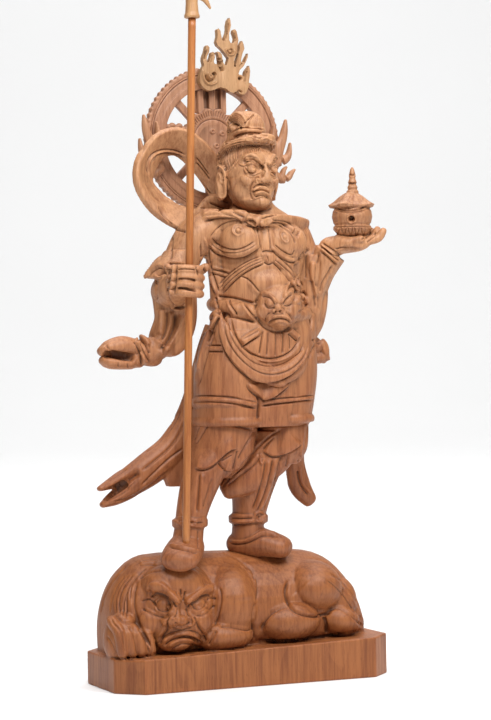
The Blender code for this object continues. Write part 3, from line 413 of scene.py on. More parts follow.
class Sight:
    """What one view sees of a surface. Strokes follow paths in that view, and move it along its normals."""

    def __init__(self, surface, view, unit=PIXEL, share=None, slack=2.0):
        across, high, away = view(surface.points)
        nearer = view(surface.points + surface.normals() * 0.1)[2] < away
        self.cell = CELL_SIZE / unit
        places = self.cells(across, high)
        self.kinds, where = np.unique(places, return_inverse=True)
        self.nearest = np.full(len(self.kinds), NOTHING_NEAR)
        np.minimum.at(self.nearest, where, away)
        self.seen = np.flatnonzero(nearer & (away < self.nearest[where] + slack))
        self.surface = surface
        self.unit = unit
        self.flat = np.stack([across[self.seen], high[self.seen]], axis=1)
        self.deep = away[self.seen]
        self.share = np.ones(len(self.seen)) if share is None else share[self.seen]

    def cells(self, across, high):
        column = np.floor(across / self.cell).astype(np.int64)
        row = np.floor(high / self.cell).astype(np.int64)
        return column * ROWS_MOST + row

    def depths(self, line):
        """How far off the surface lies under a line's points."""
        places = self.cells(line[:, 0], line[:, 1])
        found = np.minimum(np.searchsorted(self.kinds, places), len(self.kinds) - 1)
        good = self.kinds[found] == places
        if not good.any():
            return None
        steps = np.arange(len(line))
        deep = np.interp(steps, steps[good], self.nearest[found[good]])
        return np.convolve(np.pad(deep, 2, "edge"), np.full(5, 0.2), "valid")

    def measure(self, path, reach):
        """Seen points near a path: their distance from it, their side of it and their share along it."""
        line = np.array(eased(path, 4))
        lengths = np.hypot(*np.diff(line, axis=0).T)
        line = line[np.concatenate([[True], lengths > 1e-6])]
        steps = np.diff(line, axis=0)
        lengths = np.hypot(*steps.T)
        run = np.concatenate([[0.0], np.cumsum(lengths)])
        under = self.depths(line)
        if under is None:
            return None
        wide = reach / self.unit
        chosen = np.flatnonzero(np.all(
            (self.flat > line.min(axis=0) - wide) & (self.flat < line.max(axis=0) + wide), axis=1,
        ))
        spots = self.flat[chosen]
        deep = self.deep[chosen]
        far = np.full(len(chosen), NOTHING_NEAR)
        side = np.zeros(len(chosen))
        share = np.zeros(len(chosen))
        for k, (start, step) in enumerate(zip(line, steps)):
            low = np.minimum(start, start + step) - wide
            top = np.maximum(start, start + step) + wide
            near = np.flatnonzero(np.all((spots > low) & (spots < top), axis=1))
            gap = spots[near] - start
            along = np.clip(gap @ step / lengths[k] ** 2, 0, 1)
            off = gap - along[:, None] * step
            value = np.hypot(off[:, 0], off[:, 1])
            depth = under[k] + along * (under[k + 1] - under[k])
            better = (value < far[near]) & (np.abs(deep[near] - depth) < LAYER_DEPTH)
            picked = near[better]
            far[picked] = value[better]
            side[picked] = (gap[better, 1] * step[0] - gap[better, 0] * step[1]) / lengths[k]
            share[picked] = (run[k] + along[better] * lengths[k]) / run[-1]
        kept = far < wide
        far *= self.unit
        side = np.sign(side) * np.minimum(np.abs(side) * self.unit, far)
        return chosen[kept], far[kept], side[kept], share[kept]

    def stroke(self, path, width, depth, kind, taper=0.12, fade=6.0):
        """Raises or cuts along a path: ridge, band, groove, or lap, which is raised on the right of it."""
        found = self.measure(path, fade * 1.6 if kind == "lap" else width * 2.6)
        if found is None:
            return
        chosen, far, side, share = found
        ends = np.clip(np.minimum(share, 1 - share) / taper, 0, 1)
        ends = ends * ends * (3 - 2 * ends) * depth * self.share[chosen]
        points = self.seen[chosen]
        up = self.surface.up
        down = self.surface.down
        if kind == "lap":
            rise = np.clip(side / width + 0.5, 0, 1) * np.exp(-np.square(np.maximum(side, 0) / fade))
            up[points] = np.maximum(up[points], ends * rise * np.clip(1.6 - far / fade, 0, 1))
            cutting = np.exp(-np.square((side + width) / width)) * (far < width * 3)
            down[points] = np.maximum(down[points], 0.45 * ends * cutting)
        else:
            target = down if kind == "groove" else up
            target[points] = np.maximum(target[points], ends * PROFILES[kind](far / width))

    def boss(self, spot, radius, height, kind):
        """A round boss, a flat disc, a round dish, or a flat well at one place."""
        gap = self.flat - np.asarray(spot)
        far = np.hypot(gap[:, 0], gap[:, 1]) * self.unit / radius
        under = self.depths(np.array([spot, spot]))
        chosen = np.flatnonzero(far < 1.3)
        if under is None or not len(chosen):
            return
        chosen = chosen[np.abs(self.deep[chosen] - under[0]) < LAYER_DEPTH]
        shape = PROFILES["band" if kind in ("disc", "well") else "dome"](far[chosen] / 1.05)
        target = self.surface.down if kind in ("dish", "well") else self.surface.up
        points = self.seen[chosen]
        target[points] = np.maximum(target[points], height * shape * self.share[chosen])

    def carve(self, table, deep=1.0):
        """Lays out a table of named strokes: kind, width, depth and path."""
        for kind, width, depth, path in table.values():
            depth *= deep
            if kind in ("boss", "disc", "dish", "well"):
                self.boss(path[0], width, depth, kind)
            else:
                self.stroke(path, width, depth, kind)

    def comb(self, top, foot, count, width, depth, bend=0.0):
        """Evenly spread grooves between two rows of places, each bent sideways a little."""
        rows = [eased(top, 16), eased(foot, 16)]
        for k in range(count):
            share = k / (count - 1)
            (u, v), (a, b) = [fine[round(share * (len(fine) - 1))] for fine in rows]
            middle = ((u + a) / 2 + bend * (b - v) / 10, (v + b) / 2 - bend * (a - u) / 10)
            self.stroke([(u, v), middle, (a, b)], width, depth, "groove", taper=0.06)

    def sweep(self, first, last, count, width, depth, kind="groove"):
        """Strokes that change evenly from the first path to the last."""
        for k in range(count):
            share = k / (count - 1)
            path = [(u + (a - u) * share, v + (b - v) * share) for (u, v), (a, b) in zip(first, last)]
            self.stroke(path, width, depth, kind, taper=0.06)


def carve(surface, *tables, views=None, deep=1.0):
    """Carves the tables one after another, each over what the one before has left."""
    for table in tables:
        for view, share in views or ((photo_view, None),):
            Sight(surface, view, share=share).carve(table, deep)
        surface.settle()


# Strokes by name: kind, width and depth in millimetres, and a path in the photograph's pixels

TRUNK_FORMS = {
    "shaded flank": ("groove", 3.0, 0.6, [(211.1, 258.9), (218.1, 266), (226.5, 270.2), (236.3, 267.4)]),
    "under breastplates": ("groove", 2.0, 0.7, [
        (212.5, 257.5), (222.3, 261.8), (234.9, 263.2), (248.9, 258.9), (258.8, 254.7),
    ]),
    "centre strap": ("band", 3.2, 0.5, [(263.7, 226.7), (265.1, 239.3), (266.5, 251.9)]),
}

TRUNK_EDGES = {
    "right plate top": ("groove", 0.35, 0.6, [
        (209.6, 240), (213.2, 233), (220.2, 226), (229.3, 221.8), (239.1, 220.8), (247.5, 223.2),
        (253.9, 228.1), (258.8, 237.9),
    ]),
    "right plate band": ("band", 1.15, 0.75, [
        (208.9, 241.4), (213.2, 247.4), (221.6, 251.9), (232.1, 254.2), (241.9, 253.3), (251.8, 248.7),
        (259.5, 243.2),
    ]),
    "right plate inner groove": ("groove", 0.3, 0.75, [
        (211.1, 236.8), (217.4, 244.1), (226.5, 248.6), (237, 249.7), (246.8, 246.5), (256, 240.4),
    ]),
    "right plate middle groove": ("groove", 0.28, 0.7, [
        (209.9, 241), (214.6, 246.6), (222.6, 250.8), (232.1, 252.5), (241.9, 251.4), (251.2, 247.2),
        (257.6, 242.7),
    ]),
    "right plate foot": ("groove", 0.45, 0.9, [
        (207.5, 243.2), (211.8, 250.2), (220.9, 256.1), (232.1, 258.2), (244, 257.3), (253.9, 252.2),
        (260.2, 247.7),
    ]),
    "right disc": ("disc", 2.7, 0.3, [(238.1, 230.2)]),
    "right disc ring": ("ridge", 0.38, 0.7, [
        (243.8, 230.5), (242.1, 234.1), (238.1, 235.8), (234.2, 234.1), (232.5, 230.5), (234.2, 226.5),
        (238.1, 225), (242.1, 226.5), (243.8, 230.5),
    ]),
    "left plate top": ("groove", 0.35, 0.6, [
        (268.9, 223.2), (277.7, 225), (286.8, 229.8), (292.5, 235.8), (296, 244.9),
    ]),
    "left plate band": ("band", 1.0, 0.7, [
        (271.7, 246.3), (279.8, 253.6), (288.2, 258.4), (294.1, 258.9), (296.9, 251.9),
    ]),
    "left plate inner groove": ("groove", 0.28, 0.7, [
        (274.2, 243.8), (281.2, 249.7), (288.2, 254.2), (292.7, 254.7), (294.7, 249.1),
    ]),
    "left plate middle groove": ("groove", 0.25, 0.6, [
        (272.8, 245.8), (280.5, 251.9), (288.2, 256.4), (293.6, 256.8), (296, 250.5),
    ]),
    "left plate foot": ("groove", 0.4, 0.8, [
        (270.3, 248.4), (279.1, 256.4), (288.2, 261.5), (295.8, 261.8), (299.2, 253.3),
    ]),
    "left disc": ("disc", 2.1, 0.3, [(284.7, 237.2)]),
    "left disc ring": ("ridge", 0.34, 0.65, [
        (288.5, 237.9), (288.2, 241.5), (285.9, 242.4), (282.6, 239.9), (280.9, 235.9), (281.5, 232.8),
        (283.8, 232), (286.8, 234.2), (288.5, 237.9),
    ]),
    "strap right edge": ("groove", 0.32, 0.8, [
        (256.8, 226.7), (258.8, 233.7), (260.2, 242.1), (261.6, 252.2),
    ]),
    "strap left edge": ("groove", 0.3, 0.6, [(268, 226.7), (269.4, 233.7), (270.3, 242.1), (270.8, 250.8)]),
    "chest belt top": ("groove", 0.3, 0.6, [(261.6, 252.2), (266.5, 251.1), (274.2, 252.2)]),
    "chest knot": ("disc", 2.2, 0.7, [(270, 258.2)]),
    "chest knot tie": ("ridge", 0.8, 0.6, [(260.9, 255.6), (266.5, 254.5), (274.2, 255)]),
    "chest knot foot": ("groove", 0.35, 0.7, [(263.7, 261.8), (268.6, 264.3), (274.2, 261.8)]),
    "chest knot fold": ("groove", 0.25, 0.5, [(266.5, 255.9), (267.9, 259.6), (268.9, 263.2)]),
    "right cord": ("band", 1.7, 0.7, [
        (263.7, 259.1), (251.8, 263.9), (239.4, 271), (228.9, 280), (219.3, 290.9),
    ]),
    "right cord lines": ("groove", 0.25, 0.7, [
        (263.1, 258.1), (251.1, 262.7), (238.6, 270), (227.9, 278.9), (218.4, 289.8),
    ]),
    "right cord low line": ("groove", 0.25, 0.7, [
        (264.4, 260.6), (252.7, 265.3), (240.4, 272.6), (230, 281.4), (220.5, 292.4),
    ]),
    "right cord top edge": ("groove", 0.35, 0.7, [
        (262.4, 255.6), (250.1, 260.4), (237.2, 267.6), (226.5, 276.5), (217.1, 287.3),
    ]),
    "right cord foot": ("groove", 0.4, 0.9, [
        (265.8, 263.2), (253.9, 267.9), (241.6, 275.2), (231.3, 283.9), (222, 294.3),
    ]),
    "left cord": ("band", 1.4, 0.7, [
        (273.6, 258.2), (281.5, 264.8), (289.4, 273), (295.3, 281.7), (300.3, 290.9),
    ]),
    "left cord line": ("groove", 0.25, 0.7, [
        (273.6, 258.9), (281.5, 265.7), (289.4, 273.7), (295.3, 282.1), (300.3, 291.2),
    ]),
    "left cord top edge": ("groove", 0.35, 0.7, [
        (275.9, 255), (283.8, 261.2), (291.6, 269.1), (297.8, 277.5), (303.1, 287.7),
    ]),
    "left cord foot": ("groove", 0.35, 0.8, [
        (271.7, 261.2), (279.5, 268.5), (286.8, 276.5), (292.7, 285.1), (297.8, 294),
    ]),
    "flank strap upper": ("ridge", 0.5, 0.5, [
        (209.6, 267.4), (218.1, 268.2), (225.1, 269.9), (230.7, 272.3),
    ]),
    "flank strap line": ("groove", 0.3, 0.6, [
        (209.6, 269.5), (218.1, 270.5), (224.4, 271.9), (229.3, 274.4),
    ]),
    "flank strap lower": ("ridge", 0.5, 0.5, [
        (210.4, 271.6), (217.4, 272.7), (223, 274.4), (227.2, 276.5),
    ]),
    "flank strap foot": ("groove", 0.3, 0.6, [
        (210.8, 273.8), (217.4, 274.9), (222.6, 276.6), (226.2, 278.9),
    ]),
    "belly edge right": ("groove", 0.32, 0.9, [
        (238.4, 275.8), (246.8, 278.6), (253.4, 284.8), (259.8, 292.9),
    ]),
    "belly edge left": ("groove", 0.4, 0.4, [(279.8, 267.4), (286.8, 275.1), (291.8, 284.2)]),
    "cape edge right": ("lap", 0.45, 1.2, [
        (244.7, 223.2), (236.3, 218.5), (225.1, 217.1), (213.9, 218), (201.9, 220.8),
    ]),
    "cape hem right": ("groove", 0.32, 0.5, [
        (242.6, 221.1), (234.2, 216.6), (223.7, 214.7), (212.5, 215.4), (200.9, 217.1),
    ]),
    "cape fold right": ("groove", 0.45, 0.9, [
        (208.2, 201.7), (218.1, 206.3), (229.3, 211.2), (240.5, 215.7), (246.1, 218),
    ]),
    "cape fold right low": ("groove", 0.35, 0.6, [
        (198.4, 207), (209.6, 209.8), (222.3, 213.8), (236.3, 216.8),
    ]),
    "cape edge left": ("groove", 0.45, 1.0, [
        (270.7, 223.6), (279.8, 223.6), (288.2, 226.7), (294.6, 231.6), (300.2, 234.8),
    ]),
    "cape hem left": ("groove", 0.32, 0.6, [
        (272.1, 221.1), (281.2, 221.1), (291.1, 224.1), (300.9, 231.2),
    ]),
    "cape collar left": ("groove", 0.45, 0.9, [(260.9, 218.2), (268.6, 217.1), (277, 213.8)]),
    "cape hollow left": ("groove", 1.1, 1.4, [(293.2, 229.8), (296.7, 232.6), (299.8, 234.2)]),
    "collar right": ("groove", 0.45, 0.9, [
        (218.1, 198.6), (232.1, 204.2), (244.7, 210.1), (253.2, 213.8), (257.4, 214.6),
    ]),
    "knot loop": ("ridge", 0.6, 1.2, [
        (245.4, 219.9), (248.2, 217.4), (253.2, 218), (257.4, 221.1), (256, 224.1), (250.4, 223.3),
        (246.1, 221.1),
    ]),
    "knot centre": ("groove", 0.3, 0.9, [(248.9, 220.5), (254.8, 221.3)]),
    "knot end": ("ridge", 0.6, 0.9, [(260.2, 222.5), (264.4, 224.1), (268.6, 222.5), (272.8, 219.6)]),
    "knot drop": ("ridge", 0.6, 0.7, [(260.2, 221.1), (262.3, 225.3), (265.8, 228.1)]),
    "knot foot": ("groove", 0.35, 0.7, [(246.1, 225), (253.2, 226.7), (258.8, 225.3)]),
    "neck crease": ("groove", 0.6, 0.8, [(251.8, 208.7), (260.2, 210.7), (268.6, 209.8), (272.8, 207)]),
}

TRUNK_POINTS = {
    "right disc core": ("boss", 0.95, 0.7, [(238.1, 230.2)]),
    "right disc groove": ("groove", 0.28, 0.5, [
        (240.9, 230.3), (240.1, 232.3), (238.1, 233.1), (236.2, 232.3), (235.3, 230.3), (236.2, 228.4),
        (238.1, 227.5), (240.1, 228.4), (240.9, 230.3),
    ]),
    "left disc core": ("boss", 0.8, 0.6, [(284.9, 237.1)]),
}

BELT_EDGES = {
    "belt top": ("groove", 0.5, 1.0, [(216.7, 296), (232.1, 297.7), (246.1, 301.1), (255.7, 303.6)]),
    "belt foot": ("groove", 0.6, 1.4, [(213.9, 312.7), (226.5, 314.8), (241.9, 318.6), (257.4, 322.4)]),
    "belt twist at the hip": ("groove", 0.4, 1.0, [(215.5, 296.8), (216.7, 303.9), (218.1, 311.6)]),
    "belt twist in the middle": ("groove", 0.35, 0.9, [(229, 299.4), (232.1, 307.4), (237.4, 315.4)]),
    "belt strand in the middle": ("ridge", 0.6, 0.4, [(226.2, 298.8), (229.3, 307.4), (233.8, 315.1)]),
    "belt twist by the mask": ("groove", 0.35, 0.9, [(244, 302.5), (249.6, 311.6), (257.4, 320.4)]),
    "belt strand by the mask": ("ridge", 0.6, 0.4, [(240.8, 301.3), (246.1, 310.9), (253.9, 320.7)]),
    "apron edge": ("lap", 0.45, 1.3, [
        (311, 340.4), (304, 360), (291.1, 374), (274.2, 381.1), (257.4, 380.5), (241.9, 371.5),
        (227.9, 355.1), (220.6, 334.7), (217.8, 314.4),
    ]),
    "apron middle ridge": ("ridge", 0.6, 0.7, [
        (306.5, 340.4), (300.2, 355.1), (288.2, 365.6), (272.8, 370.1), (256, 367), (241.6, 355.5),
        (230.7, 340.4), (225.8, 323.5), (225.1, 314.4),
    ]),
    "apron inner ridge": ("ridge", 0.5, 0.6, [
        (303, 338.2), (295.5, 350.9), (285.4, 358.6), (270, 361.7), (253.2, 358.2), (239.8, 347.6),
        (232.1, 334), (228.2, 315.1),
    ]),
    "apron outer groove": ("groove", 0.3, 0.7, [
        (308.6, 341.8), (302.3, 357.5), (289.9, 369.4), (273.6, 374.5), (257.1, 371.5), (240.8, 359.3),
        (229.3, 343.2), (224.1, 324.9), (223.1, 314.4),
    ]),
    "apron middle groove": ("groove", 0.28, 0.7, [
        (305.1, 339.2), (298.1, 353), (287.1, 362.1), (271.7, 366.2), (254.8, 362.8), (240.8, 351.6),
        (231.4, 337.3), (226.9, 319.3),
    ]),
    "apron inner groove": ("groove", 0.35, 1.0, [
        (300.9, 336.8), (293.6, 348.5), (284, 355.5), (269.7, 358.6), (254.6, 355.1), (242.6, 346),
        (234.6, 332.6), (230.7, 316.5),
    ]),
    "pleat 1": ("groove", 0.35, 0.9, [(263, 329.8), (261.3, 341.8), (259.1, 355.1)]),
    "pleat 2": ("groove", 0.32, 0.6, [(268.6, 330.5), (267.6, 343.2), (266.5, 356.5)]),
    "pleat 3": ("groove", 0.32, 0.6, [(275.9, 331.2), (275.9, 344.6), (275.3, 357.2)]),
    "pleat 4": ("groove", 0.35, 0.8, [(282.9, 330.5), (283.2, 343.2), (282.4, 354.4)]),
    "pleat 5": ("groove", 0.32, 0.6, [(288.9, 332.6), (289.9, 341.8), (289.9, 350.2)]),
    "right ribbon": ("band", 1.5, 1.3, [(260.9, 331.2), (250.4, 336.4), (240.8, 343.2)]),
    "right ribbon edge": ("groove", 0.35, 1.1, [(263, 333.1), (251.8, 340.4), (240.2, 348.2)]),
    "right ribbon line": ("groove", 0.35, 0.5, [(259.5, 330.5), (249.6, 335.4), (239.4, 340.9)]),
    "left ribbon": ("band", 1.1, 1.1, [(288.9, 329.8), (294.6, 334.5), (298.4, 338.2)]),
    "left ribbon edge": ("groove", 0.5, 0.8, [(288.2, 332.6), (293.9, 338.2), (298.4, 341.8)]),
    "flap edge": ("lap", 0.45, 1.2, [
        (290.4, 383.2), (279.8, 392.6), (266.5, 399.9), (258.8, 396.2), (249.6, 388.8), (248, 381.3),
    ]),
    "robe edge": ("ridge", 0.9, 0.7, [(215.3, 315.1), (207.5, 336.8), (200.9, 358.6), (194.9, 385.3)]),
    "robe groove": ("groove", 0.4, 0.9, [(218.8, 315.1), (211.8, 338.2), (205.2, 360), (197.7, 388.1)]),
    "skirt top ridge": ("band", 0.8, 0.5, [(206.8, 348.1), (213.9, 348.1), (222.3, 348.5)]),
    "skirt top groove": ("groove", 0.32, 0.8, [(206.8, 345.3), (213.9, 345.3), (221.7, 345.4)]),
    "skirt top foot": ("groove", 0.4, 1.0, [(206.6, 351.3), (213.9, 351.3), (223.7, 351.6)]),
    "near band groove": ("groove", 0.3, 0.7, [
        (193.1, 395.9), (211.1, 395.9), (232.1, 397.3), (251.8, 401), (259.1, 403.2),
    ]),
    "near band ridge": ("band", 0.7, 0.4, [
        (193.1, 398.5), (211.1, 398.5), (232.1, 400.3), (251.8, 404.2), (258.8, 406.3),
    ]),
    "near band foot": ("groove", 0.4, 1.0, [
        (193.1, 402.1), (211.1, 401.8), (232.1, 403.8), (250.4, 407.4), (258.2, 409.4),
    ]),
    "far band groove": ("groove", 0.3, 0.7, [(259.6, 401), (274.2, 399), (295.3, 397.3), (315.2, 395.1)]),
    "far band ridge": ("band", 0.7, 0.4, [(259.6, 403.8), (274.2, 401.5), (295.3, 399.6), (314.9, 397.2)]),
    "far band foot": ("groove", 0.4, 1.0, [(259.6, 406.6), (274.2, 404.4), (295.3, 402.1), (314.6, 399.9)]),
    "panel seam": ("groove", 0.45, 1.3, [(256, 394.4), (259.1, 400.7), (258.5, 409.1), (257.9, 419.6)]),
    "right of the apron": ("groove", 0.6, 0.8, [(319.8, 338.2), (313.5, 348.8), (308.6, 360)]),
    "hip fold": ("groove", 0.6, 0.9, [(312.1, 338.9), (317, 341.8), (320.5, 344.6)]),
    "hip curl": ("ridge", 0.8, 0.8, [(323.3, 338.2), (322.6, 346), (326.8, 355.8), (328.9, 361.4)]),
    "sleeve and trunk": ("groove", 0.8, 1.6, [
        (296.9, 261.1), (296.9, 273), (298.9, 284.2), (302.6, 293.3), (307.2, 298.2),
    ]),
    "sleeve fold 1": ("groove", 0.8, 0.8, [(309.3, 266), (311, 281.4), (314.2, 296.8), (316.3, 309.5)]),
    "sleeve fold 2": ("groove", 0.7, 0.6, [(319.8, 258.9), (318.4, 275.8), (318, 292.6), (318.8, 312.3)]),
    "sleeve fold ridge": ("ridge", 1.3, 0.8, [(314.9, 260.4), (314.2, 278.6), (316.3, 298.2)]),
    "sleeve fold 3": ("groove", 0.7, 0.6, [(331.8, 273), (326.8, 291.2), (322.6, 309.5), (321.2, 326.3)]),
    "upper sleeve fold": ("groove", 0.8, 0.9, [(309.3, 248.4), (302.3, 256.1), (298.8, 261.8)]),
}

MASK_EDGES = {
    "mask side": ("groove", 0.6, 1.3, [
        (257.9, 295.4), (255.4, 305.3), (257.6, 317.9), (264.1, 326.6), (274.2, 331.6), (285.4, 330.8),
        (292.2, 325.6),
    ]),
    "right cheek": ("boss", 3.0, 0.7, [(261.9, 312.3)]),
    "left cheek": ("boss", 2.6, 0.7, [(295.5, 310.9)]),
    "chin": ("boss", 2.8, 0.5, [(279.1, 326.3)]),
    "nose": ("boss", 1.5, 1.3, [(278, 307.8)]),
    "left horn": ("ridge", 0.7, 1.2, [
        (283.8, 298.2), (285.4, 290.5), (288.9, 284.5), (293.2, 283.1), (295, 285.9),
    ]),
    "left ear": ("ridge", 0.8, 1.0, [
        (298.8, 304.6), (297.8, 298.9), (302, 295.4), (306.2, 298.9), (306.8, 304.6),
    ]),
    "left mane": ("groove", 0.4, 0.9, [(295.3, 289.8), (295.5, 296.8), (294.1, 301.3)]),
    "left mane low": ("groove", 0.5, 0.9, [(297.4, 312.3), (303, 308.8), (306.8, 303.2)]),
    "left mane line": ("groove", 0.35, 0.7, [(300.9, 302.5), (303.7, 299.9), (305.4, 298.2)]),
    "left ear rim": ("groove", 0.4, 0.8, [(288.2, 289.8), (290.5, 286.7), (292.5, 285.9)]),
}

MASK_POINTS = {
    "right brow": ("ridge", 0.7, 1.2, [(259.9, 294.6), (265.1, 293.2), (271.4, 296.8), (277, 303.6)]),
    "right brow foot": ("groove", 0.35, 0.9, [
        (261.3, 297.1), (265.5, 296.3), (270.8, 299.1), (275.1, 305),
    ]),
    "left brow": ("ridge", 0.65, 1.1, [(292.5, 291.5), (288.2, 293.2), (283.8, 298.2), (280.5, 304.1)]),
    "left brow foot": ("groove", 0.3, 0.8, [
        (292.7, 294.7), (288.8, 296.6), (285.2, 300.5), (282.4, 305.5),
    ]),
    "right eye": ("boss", 1.9, 1.1, [(270, 301.6)]),
    "left eye": ("boss", 1.4, 0.9, [(288.2, 301.3)]),
    "under the right eye": ("groove", 0.35, 0.9, [
        (264.1, 302.2), (266.5, 306.7), (270.7, 308.4), (275.3, 307.4),
    ]),
    "under the left eye": ("groove", 0.3, 0.7, [(283.8, 305.3), (287.7, 306.1), (292.2, 303.6)]),
    "right nostril wing": ("boss", 0.75, 0.6, [(273.8, 310.6)]),
    "left nostril wing": ("boss", 0.7, 0.6, [(282.1, 310)]),
    "right nostril": ("dish", 0.5, 0.8, [(275.6, 312)]),
    "left nostril": ("dish", 0.5, 0.8, [(280.2, 311.7)]),
    "nose foot": ("groove", 0.3, 0.7, [(272.1, 313.4), (277.7, 314.4), (283.8, 313.1)]),
    "upper lip": ("ridge", 0.5, 0.8, [
        (266.5, 321.5), (272.5, 317.1), (279.8, 315.6), (286.8, 317.3), (291.6, 321.3),
    ]),
    "mouth": ("groove", 0.35, 1.1, [
        (267.2, 324.1), (273.1, 320.1), (280.1, 318.7), (287.1, 320.1), (290.8, 323.5),
    ]),
    "lower lip": ("ridge", 0.45, 0.5, [
        (268.6, 325.8), (274.2, 322.7), (280.5, 321.3), (286.8, 322.7), (289.6, 324.9),
    ]),
    "right cheek fold": ("groove", 0.4, 0.8, [(270.3, 312.3), (266.5, 316.8), (264.1, 322.4)]),
    "left cheek fold": ("groove", 0.4, 0.8, [(285.7, 311.2), (289.9, 315.1), (293, 320.4)]),
}

